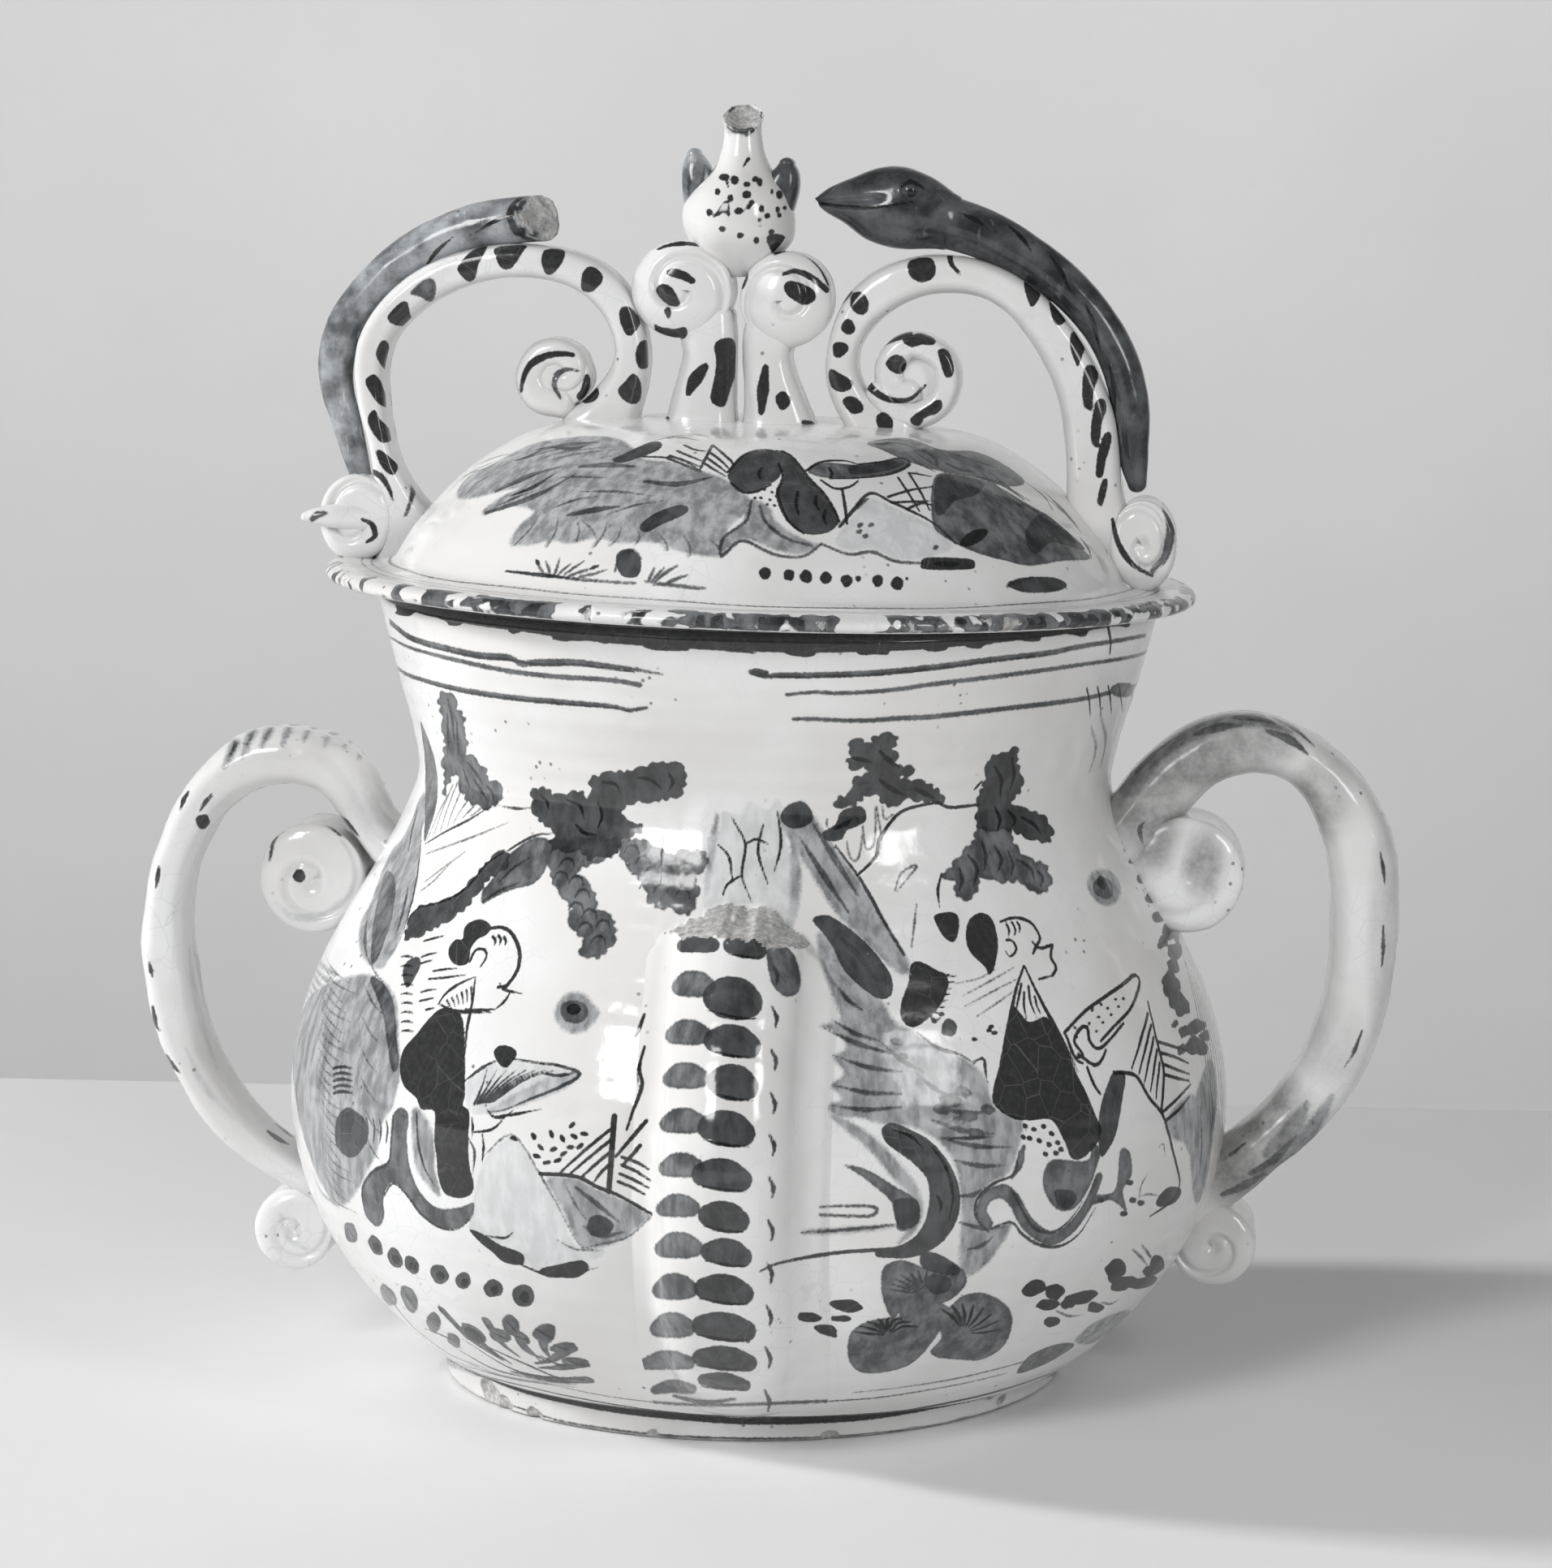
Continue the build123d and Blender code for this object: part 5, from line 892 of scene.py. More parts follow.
STROKES["lid_back"] = [s for s in STROKES["lid"]]
for _s in range(6):
    W = "pot_lines_back"
    spray(W, "mid", 830 + _s * 26, 1600 - 20 * (_s % 2), 846 + _s * 22, 1420 - 60 * (_s % 3), 6, 30, 5.0)
L("pot_lines_back", "ink", 4.0, "820,1612 880,1618 940,1616 990,1608")
fan("pot_lines_back", "mid", 6.0, 900, 1250, 10, 90, -80, 80, 9)
dots("pot_lines_back", "ink", 8, 7, "860,1340 900,1360 940,1340 900,1310 880,1050 930,1060 905,1090")
# ------------------------------------------------------------------------------------------------ outlines shared with the solid model, in mm
LEFT_HANDLE_OUTER = [
    (-66.0, 104.0), (-71.1, 107.5), (-73.7, 111.4), (-75.5, 116.0), (-77.6, 120.1), (-80.5, 123.3), (-84.0, 125.3),
    (-89.1, 126.7), (-94.4, 127.3), (-98.5, 126.9), (-101.6, 126.0), (-104.5, 124.5), (-107.5, 122.2), (-110.4, 119.1),
    (-112.9, 115.9), (-115.6, 111.7), (-118.0, 107.1), (-119.9, 102.0), (-121.3, 96.8), (-122.4, 91.2), (-122.9, 85.6),
    (-122.9, 80.3), (-122.4, 75.2), (-121.2, 69.1), (-119.4, 63.2), (-117.0, 57.6), (-114.0, 52.2), (-110.7, 47.6),
    (-107.0, 43.4), (-102.4, 39.7), (-97.5, 36.6), (-93.2, 34.2), (-88.0, 31.6), (-80.0, 27.0),
]
LEFT_HANDLE_INNER = [
    (-80.0, 36.0), (-88.6, 39.6), (-95.0, 43.3), (-98.9, 46.4), (-101.9, 49.6), (-104.8, 53.6), (-107.4, 57.9),
    (-109.7, 63.1), (-111.5, 68.9), (-112.7, 74.6), (-113.6, 80.3), (-114.0, 85.9), (-113.9, 91.2), (-113.2, 95.8),
    (-112.1, 99.6), (-110.4, 103.4), (-108.3, 106.9), (-105.8, 110.0), (-102.0, 113.0), (-97.6, 115.1), (-93.8, 115.8),
    (-90.6, 115.8), (-87.7, 115.2), (-85.3, 113.9), (-83.3, 111.8), (-81.2, 108.6), (-78.0, 104.4), (-72.0, 98.0),
]
RIGHT_HANDLE_OUTER = [
    (66.0, 108.0), (69.0, 112.6), (71.8, 116.5), (74.6, 120.2), (77.7, 123.5), (81.4, 126.8), (85.5, 129.8),
    (89.3, 131.4), (93.4, 132.3), (97.5, 132.3), (101.4, 131.7), (105.8, 130.2), (110.1, 128.0), (114.0, 125.3),
    (117.2, 122.4), (120.2, 118.9), (122.8, 115.0), (124.7, 111.1), (126.0, 106.8), (126.8, 102.1), (127.1, 97.4),
    (127.1, 91.2), (126.7, 85.3), (126.0, 79.1), (124.9, 72.9), (123.2, 67.2), (120.9, 61.7), (117.9, 56.6),
    (114.4, 52.0), (110.6, 47.9), (106.6, 44.3), (102.6, 41.0), (98.6, 37.6), (90.0, 30.5), (80.0, 23.0),
]
RIGHT_HANDLE_INNER = [
    (80.0, 40.0), (89.2, 45.4), (94.2, 48.5), (97.7, 51.2), (101.0, 54.4), (104.3, 58.3), (107.1, 62.6),
    (109.3, 66.7), (111.0, 71.0), (112.2, 75.6), (113.1, 80.4), (113.6, 85.5), (113.8, 90.5), (113.7, 96.0),
    (113.2, 101.1), (112.5, 105.5), (111.4, 109.6), (109.9, 113.3), (107.9, 116.4), (105.4, 118.9), (102.4, 120.3),
    (99.2, 120.8), (96.0, 120.4), (92.8, 119.4), (89.9, 117.8), (87.6, 115.6), (85.6, 113.0), (82.6, 109.2),
    (78.6, 104.6), (70.0, 97.0),
]
LEFT_LOOP_OUTER = [
    (-75.2, 160.0), (-74.6, 165.0), (-74.3, 171.0), (-74.9, 177.6), (-76.0, 184.0), (-77.7, 190.4), (-78.7, 197.8),
    (-77.6, 204.4), (-75.0, 209.4), (-71.1, 213.7), (-65.9, 217.7), (-60.0, 220.6), (-53.1, 222.3), (-45.3, 222.8),
    (-38.3, 222.3), (-32.1, 220.6), (-26.7, 217.2), (-22.8, 212.2), (-20.6, 205.8), (-20.1, 199.8), (-20.9, 194.2),
    (-22.2, 189.0), (-22.9, 186.0),
]
LEFT_LOOP_INNER = [
    (-38.0, 186.0), (-35.1, 189.5), (-32.3, 192.2), (-29.8, 194.9), (-28.0, 197.4), (-26.9, 200.2), (-26.9, 203.6),
    (-28.9, 208.6), (-33.2, 213.0), (-39.0, 215.6), (-45.8, 216.3), (-53.6, 215.2), (-61.0, 212.4), (-67.0, 208.4),
    (-70.6, 204.4), (-72.1, 200.2), (-72.4, 195.2), (-71.8, 187.6), (-70.1, 180.6), (-66.6, 173.6), (-62.0, 167.0),
    (-58.0, 160.0),
]
RIGHT_LOOP_OUTER = [
    (76.4, 156.0), (75.2, 163.0), (73.6, 170.0), (72.2, 177.4), (71.6, 184.6), (70.3, 191.4), (67.4, 198.7),
    (63.3, 205.9), (58.0, 212.0), (52.5, 216.3), (47.0, 219.0), (41.5, 220.5), (35.4, 221.0), (29.8, 220.2),
    (24.1, 218.0), (19.4, 214.1), (16.4, 208.6), (14.7, 202.7), (14.5, 197.4), (15.8, 192.6), (18.0, 188.2),
    (19.2, 185.0),
]
RIGHT_LOOP_INNER = [
    (34.0, 185.0), (28.2, 189.0), (23.4, 192.8), (21.2, 196.8), (20.9, 200.8), (22.1, 204.5), (25.0, 208.0),
    (29.7, 211.3), (36.2, 213.4), (44.4, 212.8), (50.7, 208.9), (56.1, 201.4), (59.6, 193.6), (61.1, 185.6),
    (61.5, 176.8), (61.0, 168.0), (58.0, 158.0),
]
LEFT_SERPENT_STATIONS = [
    (-77.6, 175.6, 2.0), (-79.2, 181.8, 2.6), (-80.9, 188.2, 3.0), (-82.5, 194.2, 3.3), (-82.6, 200.2, 3.6),
    (-80.6, 206.6, 3.8), (-76.3, 212.8, 4.0), (-70.2, 218.6, 4.1), (-62.4, 223.3, 4.3), (-54.2, 226.2, 4.4),
    (-46.6, 227.3, 4.5), (-41.0, 227.8, 4.6),
]
RIGHT_SERPENT_STATIONS = [
    (75.2, 176.4, 1.9), (74.3, 183.0, 2.9), (73.9, 191.2, 3.6), (71.9, 199.4, 3.8), (67.7, 207.4, 3.9),
    (61.9, 214.0, 4.0), (55.2, 219.2, 4.3), (48.4, 223.2, 4.7), (41.9, 226.0, 5.0), (36.5, 227.4, 5.2),
]
HEAD_STATIONS = [
    (12.5, 231.2, 0.7, 1.0), (14.7, 231.2, 2.4, 2.9), (18.7, 231.1, 4.5, 4.9), (23.4, 230.6, 7.0, 6.6),
    (28.3, 230.0, 7.9, 7.4), (32.9, 228.9, 7.3, 7.2), (37.6, 227.4, 5.7, 6.3),
]
BIRD_STATIONS = [
    (216.5, -2.2, 3.2, 0.5, 3.6), (218.6, -2.2, 5.2, 0.8, 6.4), (221.0, -2.3, 8.0, 1.0, 9.6), (223.8, -2.4, 10.3, 1.0, 12.0),
    (226.8, -2.7, 11.0, 0.6, 12.4), (230.0, -2.7, 10.7, 0.0, 11.6), (232.6, -2.4, 9.7, -0.4, 10.2), (234.8, -2.1, 7.9, -0.7, 8.3),
    (237.0, -1.9, 5.9, -0.9, 6.3), (239.8, -1.8, 4.5, -1.1, 4.8), (242.8, -1.7, 3.8, -1.2, 4.1), (246.0, -1.7, 3.6, -1.2, 3.9),
    (248.6, -1.7, 3.75, -1.2, 4.1), (251.6, -1.7, 3.95, -1.2, 4.3),
]


# ------------------------------------------------------------------------------------------------ clay forms
def ring_shape(k, power, n):
    """n points round a rounded box of half-size 1: power 2 is an oval, more is squarer."""
    t = np.linspace(0, 2 * math.pi, n, endpoint=False)
    c, s = np.cos(t), np.sin(t)
    return np.column_stack([np.sign(c) * np.abs(c) ** (2 / power), np.sign(s) * np.abs(s) ** (2 / power)])


def ribbon(stations, step=0.45, around=64, power=3.2, cap=0.8):
    """A rolled or pressed strip swept along a line in the XZ plane.
    stations: (x, z, half_thickness, half_width[, y_centre]). Closed at both ends with rounded caps. Returns verts and quads."""
    st = np.asarray(stations, float)
    if st.shape[1] == 4:
        st = np.column_stack([st, np.zeros(len(st))])
    length = np.linalg.norm(np.diff(st[:, :2], axis=0), axis=1).sum()
    n = max(8, int(length / step))
    q = curve_through(np.column_stack([st[:, 0], st[:, 1], st[:, 2:]]), n)
    # curve_through spaces by the first 3 columns here, which is near enough
    tan = np.gradient(q[:, :2], axis=0)
    tan /= np.linalg.norm(tan, axis=1, keepdims=True)
    nor = np.column_stack([-tan[:, 1], tan[:, 0]])
    base = ring_shape(1, power, around)
    # rounded ends: rings that shrink towards a point over `cap` times the half thickness
    caps = [(math.sin(a), math.cos(a)) for a in np.linspace(0, math.pi / 2 * 0.97, 7)[1:]]
    rings, centres = [], []
    def ring(i, scale, shift):
        x, z, ht, hw, yc = q[i]
        c = np.array([x, z]) + tan[i] * shift
        px = c[0] + nor[i, 0] * base[:, 0] * ht * scale
        pz = c[1] + nor[i, 1] * base[:, 0] * ht * scale
        py = yc + base[:, 1] * (hw - ht * cap * (1 - scale))
        return np.column_stack([px, py, pz])
    for sn, cs in reversed(caps):
        rings.append(ring(0, cs, -sn * q[0, 2] * cap))
    for i in range(n):
        rings.append(ring(i, 1.0, 0.0))
    for sn, cs in caps:
        rings.append(ring(n - 1, cs, sn * q[-1, 2] * cap))
    return close_rings(rings)


def close_rings(rings):
    m, around = len(rings), len(rings[0])
    v = np.vstack(rings + [rings[0].mean(0)[None], rings[-1].mean(0)[None]])
    quads = grid_quads(m, around, True)
    a = np.arange(around)
    b = (a + 1) % around
    c0, c1 = m * around, m * around + 1
    start = np.column_stack([np.full(around, c0), b, a, a])
    end = np.column_stack([np.full(around, c1), a + (m - 1) * around, b + (m - 1) * around, b + (m - 1) * around])
    return v, np.vstack([quads, start, end])


def tube(stations, step=0.45, around=56, up=(0, 1, 0)):
    """A rolled coil of clay through (x, y, z, a, b): half-sizes a across `up`'s side and b the other way. Rounded ends."""
    st = np.asarray(stations, float)
    length = np.linalg.norm(np.diff(st[:, :3], axis=0), axis=1).sum()
    n = max(8, int(length / step))
    q = curve_through(st, n)
    tan = np.gradient(q[:, :3], axis=0)
    tan /= np.linalg.norm(tan, axis=1, keepdims=True)
    up = np.array(up, float)
    e1 = up[None, :] - tan * (tan @ up)[:, None]
    e1 /= np.linalg.norm(e1, axis=1, keepdims=True)
    e2 = np.cross(tan, e1)
    t = np.linspace(0, 2 * math.pi, around, endpoint=False)
    rings = []
    caps = [(math.sin(a), math.cos(a)) for a in np.linspace(0, math.pi / 2 * 0.97, 6)[1:]]
    def ring(i, k, shift):
        c = q[i, :3] + tan[i] * shift
        return c + e1[i] * (np.cos(t) * q[i, 3] * k)[:, None] + e2[i] * (np.sin(t) * q[i, 4] * k)[:, None]
    for sn, cs in reversed(caps):
        rings.append(ring(0, cs, -sn * min(q[0, 3], q[0, 4]) * 0.8))
    for i in range(n):
        rings.append(ring(i, 1.0, 0.0))
    for sn, cs in caps:
        rings.append(ring(n - 1, cs, sn * min(q[-1, 3], q[-1, 4]) * 0.8))
    return close_rings(rings)


def pair_edges(outer, inner, half_width, flare=None, n=40):
    """Stations for a strap from its two edges, both running the same way."""
    o, i = curve_through(outer, n), curve_through(inner, n)
    # pair the two edges point by point
    c = (o + i) / 2
    out = []
    for k in range(n):
        ht = np.linalg.norm(o[k] - i[k]) / 2
        out.append((c[k, 0], c[k, 1], ht, half_width))
    return out


def normals_of(v, q):
    a, b, c, d = v[q[:, 0]], v[q[:, 1]], v[q[:, 2]], v[q[:, 3]]
    fn = np.cross(c - a, d - b) + np.where((q[:, 2] == q[:, 3])[:, None], np.cross(b - a, c - a), 0)
    n = np.zeros_like(v)
    for k in range(4):
        np.add.at(n, q[:, k], fn)
    ln = np.linalg.norm(n, axis=1, keepdims=True)
    return n / np.maximum(ln, 1e-12)


def hand(v, q, amp=0.22, scale=7.0, seed=1):
    """Fingers leave a clay surface a little uneven."""
    n = normals_of(v, q)
    return v + n * (lattice_noise(v, scale, seed) * amp + lattice_noise(v, scale * 0.36, seed + 5) * amp * 0.28)[:, None]


def clay_piece(name, vq, body, node_names, material, strokes=None, front_y=None, amp=0.2, extra=None, seed=1, depth=2.6):
    v, q = vq
    n0 = normals_of(v, q)
    # outward faces
    c = v.mean(0)
    if ((v - c) * n0).sum() < 0:
        q = q[:, ::-1].copy()
        fix = q[:, 0] == q[:, 1]
        q[fix] = q[fix][:, [2, 3, 0, 0]] if fix.any() else q[fix]
        n0 = -n0
    v = hand(v, q, amp, seed=seed)
    f = blank(len(v))
    if strokes:
        paint_points(v, n0, f, strokes, front_y, depth)
    if extra is not None:
        extra(v, n0, f)
    return make_mesh(name, v, q, body, node_names, material, clip_fields(f))


def flip_faces(q):
    tri = q[:, 2] == q[:, 3]
    out = q[:, ::-1].copy()
    out[tri] = q[tri][:, [0, 2, 1, 1]]
    return out


def coil(cx, cz, r_out, ht0, ht1, a0, a1, hw0, hw1=None, y=0.0, squash=1.0, shrink=0.55, lead=()):
    """Stations of a strip rolled up on itself: angles in degrees from +X towards +Z; the roll tightens inwards."""
    n = max(10, int(abs(a1 - a0) / 18))
    out = list(lead)
    for i in range(n + 1):
        t = i / n
        a = math.radians(a0 + (a1 - a0) * t)
        ht = ht0 + (ht1 - ht0) * t
        turns = abs(a1 - a0) * t / 360.0
        r = (r_out - ht0) * max(0.0, 1 - shrink * max(0.0, turns - 0.35) ** 1.15)
        r = max(r, ht1 * 0.35)
        hw = hw0 + ((hw1 if hw1 is not None else hw0) - hw0) * t
        out.append((cx + r * math.cos(a), cz + r * math.sin(a) * squash, ht, hw, y))
    return out


def plug(cx, cz, rx, rz, hw, y=0.0, dome=1.0, dimple=0.0, rings=16, around=72):
    """A lens of clay lying in the XZ plane, crowned by `dome` mm on both faces, with an optional dimple in its middle."""
    t = np.linspace(0, 2 * math.pi, around, endpoint=False)
    out = []
    ks = np.concatenate([np.sin(np.linspace(0.06, math.pi / 2, rings)), np.sin(np.linspace(math.pi / 2, 0.06, rings))[1:]])
    side = np.concatenate([np.full(rings, -1.0), np.full(rings - 1, 1.0)])
    for k, sd in zip(ks, side):
        h = hw - 1.2 + 1.2 * math.sqrt(max(0.0, 1 - k**8)) + dome * (1 - k * k) - dimple * math.exp(-((k / 0.28) ** 2))
        if k > 0.999:
            h = 0.0
        out.append(np.column_stack([cx + rx * k * np.cos(t), np.full(around, y + sd * h), cz + rz * k * np.sin(t)]))
    return close_rings(out)


def joined(*parts):
    v, q, off = [], [], 0
    for a, b in parts:
        v.append(a)
        q.append(b + off)
        off += len(a)
    return np.vstack(v), np.vstack(q)


def flare(stations, start=0.0, end=0.0, k=1.0, reach=4):
    """Thickens a strap towards an end that is stuck down with slip."""
    st = [list(s) for s in stations]
    n = len(st)
    for i in range(n):
        if start and i < reach:
            w = (1 - i / reach) ** 2
            st[i][2] += start * w
            st[i][3] += start * k * w
        if end and n - 1 - i < reach:
            w = (1 - (n - 1 - i) / reach) ** 2
            st[i][2] += end * w
            st[i][3] += end * k * w
    return st


def slab(outer, inner, closed_name=None):
    """Closed solid between two (rows, cols) point grids."""
    rows, cols = outer.shape[:2]
    top = grid_quads(rows, cols, False)
    bot = flip_faces(grid_quads(rows, cols, False)) + rows * cols
    idx = np.arange(rows * cols).reshape(rows, cols)
    edge = np.concatenate([idx[0, :], idx[1:, -1], idx[-1, -2::-1], idx[-2:0:-1, 0]])
    nxt = np.roll(edge, -1)
    side = np.column_stack([nxt, edge, edge + rows * cols, nxt + rows * cols])
    return np.vstack([outer.reshape(-1, 3), inner.reshape(-1, 3)]), np.vstack([top, bot, side])


# ------------------------------------------------------------------------------------------------ the pot's thrown body
def pot_wobble(p):
    return lattice_noise(p, 34.0, 3) * 0.22 + lattice_noise(p, 11.0, 4) * 0.07


def column_angles(front, back, half_front_deg):
    a = math.radians(half_front_deg)
    f = np.linspace(-a, a, front, endpoint=False)
    b = np.linspace(a, 2 * math.pi - a, back, endpoint=False)
    return np.concatenate([f, b])


def build_pot(material):
    phis = column_angles(1080, 460, 100)
    form = pot_form
    zz = form.z_rows
    rows_r, rows_z = [0.4, 20.0, 45.0, 58.0, 63.6], [6.0] * 5
    ring_r = np.concatenate([rows_r, form.r_rows, ])
    ring_z = np.concatenate([rows_z, form.z_rows])
    inner = curve_through(POT_IN, 150)
    lo = len(rows_r)
    ring_r = np.concatenate([ring_r, inner[:, 0]])
    ring_z = np.concatenate([ring_z, inner[:, 1]])
    base = form.to_world(ring_r[:, None], phis[None, :], ring_z[:, None])
    p = base.reshape(-1, 3)
    wob = pot_wobble(p).reshape(base.shape[:2])
    # throwing rings, faint outside and clearer inside
    ringing = np.sin(ring_z * 1.45 + 0.7 * np.sin(ring_z * 0.31))[:, None]
    wob = wob + ringing * np.where(np.arange(len(ring_z)) >= lo + len(zz), 0.16, 0.03)[:, None]
    wob[:lo] *= 0
    # the hole through the wall into the spout
    k = np.arange(len(ring_z)) >= lo + len(zz)
    hole = np.zeros(base.shape[:2])
    sel = np.nonzero(k)[0]
    q = base[sel]
    dist = np.sqrt((q[..., 0] - 4.8) ** 2 + (q[..., 2] - 19.6) ** 2 + np.where(q[..., 1] > 0, 1e4, 0))
    hole[sel] = 4.0 * (1 - smoothstep(dist, 2.9, 3.9))
    wob = wob + hole
    normal_r = np.ones_like(wob)
    pr = form.to_world(ring_r[:, None] + wob * normal_r, phis[None, :], ring_z[:, None])
    rings = [pr[i] for i in range(pr.shape[0])]
    v, quads = close_rings(rings)
    quads = flip_faces(quads) if orientation_in(v, quads) else quads
    fields = {a: np.full(base.shape[:2], FAR) for a in ATTRS}
    fields["grime"] = np.zeros(base.shape[:2])
    sub = {a: fields[a][lo:lo + len(zz)] for a in ATTRS}
    paint_form(form, phis, sub, STROKES["pot"])
    paint_form(form, phis, sub, STROKES["pot_back"], turn=math.pi, mirror=True)
    paint_form(form, phis, sub, STROKES["pot_lines_back"], turn=math.pi, mirror=True)
    for a in ATTRS:
        fields[a][lo:lo + len(zz)] = sub[a]
    hole_d = np.full(base.shape[:2], FAR)
    hole_d[sel] = dist - 3.4
    fields["bare"] = np.minimum(fields["bare"], hole_d)
    flat = {a: np.concatenate([fields[a].ravel(), [FAR if a != "grime" else 0.0] * 2]) for a in ATTRS}
    return make_mesh("pot_body_shell", v, quads, "pot", ["pot_body"], material, clip_fields(flat))


def orientation_in(v, q):
    """True if most faces look inwards: the signed volume is negative."""
    a, b, c, d = v[q[:, 0]], v[q[:, 1]], v[q[:, 2]], v[q[:, 3]]
    vol = (a * np.cross(b, c)).sum() + (a * np.cross(c, d)).sum()
    return vol < 0


def build_foot(material):
    n = 900
    phis = np.linspace(0, 2 * math.pi, n, endpoint=False)
    s = math.sin(math.radians(1.2))
    top = 6.0 - 65.2 * np.sin(phis) * s
    prof = curve_through([(0.0, 0.0, 52.2), (0.0, 0.0, 53.2), (0.0, 0.0, 54.0)], 4)
    rings = []
    def ring(r, z):
        p = np.column_stack([r * np.sin(phis), -r * np.cos(phis), z])
        w = lattice_noise(p, 18.0, 9) * 0.22 + lattice_noise(p, 3.0, 10) * 0.06
        k = (1 + w / np.maximum(r, 1))
        return np.column_stack([p[:, 0] * k, p[:, 1] * k, p[:, 2]])
    one = np.ones(n)
    # inside wall, from the pot's underside down
    for t in np.linspace(1, 0, 8):
        rings.append(ring((52.6 + 0.6 * (1 - t)) * one, 0.9 + (top + 1.4 - 0.9) * t))
    for a in np.linspace(0, 1, 5)[1:]:
        rings.append(ring((53.2 + 0.9 * a) * one, (0.9 * (1 - a) ** 2) * one))
    for r in np.linspace(54.6, 60.3, 6):
        rings.append(ring(r * one, 0.0 * one))
    for a in np.linspace(0, math.pi / 2, 6)[1:]:
        rings.append(ring((60.4 + 1.1 * math.sin(a)) * one, 1.0 * (1 - math.cos(a)) * one))
    for t in np.linspace(0, 1, 18)[1:]:
        rings.append(ring((61.5 + 1.4 * t**1.5) * one, 1.0 + (top - 1.0) * t))
    for t in np.linspace(0, 1, 8)[1:]:
        rings.append(ring((62.9 + 3.4 * t**0.8) * one, top + 2.2 * t**1.7))
    rings.append(ring(58.0 * one, top + 2.6))
    v = np.vstack(rings)
    q = grid_quads(len(rings), n, True)
    last = len(rings) - 1
    a = np.arange(n)
    b = (a + 1) % n
    q = np.vstack([q, np.column_stack([a + last * n, b + last * n, b, a])])
    if orientation_in(v, q):
        q = flip_faces(q)
    nn = normals_of(v, q)
    # chips knocked off the foot's edge
    f = blank(len(v))
    r = np.random.default_rng(11)
    chips = [(-0.86, 2.6, 3.4), (-0.78, 1.2, 2.2), (-0.64, 0.8, 2.0), (-0.2, 0.7, 1.3), (0.35, 0.7, 1.6), (0.93, 4.2, 1.6), (1.0, 2.2, 1.3)]
    chips += [(float(r.uniform(1.6, 5.2)), float(r.uniform(0.4, 1.6)), float(r.uniform(0.8, 2.2))) for _ in range(7)]
    for ph, z, rad in chips:
        c = np.array([61.6 * math.sin(ph), -61.6 * math.cos(ph), z])
        d = np.linalg.norm((v - c) * [1, 1, 1.3], axis=1) - rad + lattice_noise(v, 1.1, 21) * 0.5
        f["bare"] = np.minimum(f["bare"], d)
        v = v - nn * (0.55 * smoothstep(-d, -0.1, 0.9))[:, None]
    # the underside is wiped clean of glaze
    f["bare"] = np.minimum(f["bare"], v[:, 2] - 0.45 + lattice_noise(v, 3.0, 22) * 0.3)
    paint_points(v, nn, f, STROKES["pot"])
    paint_points(v, nn, f, STROKES["foot"])
    return make_mesh("foot_ring_turned", v, q, "pot", ["foot_ring"], material, clip_fields(f))


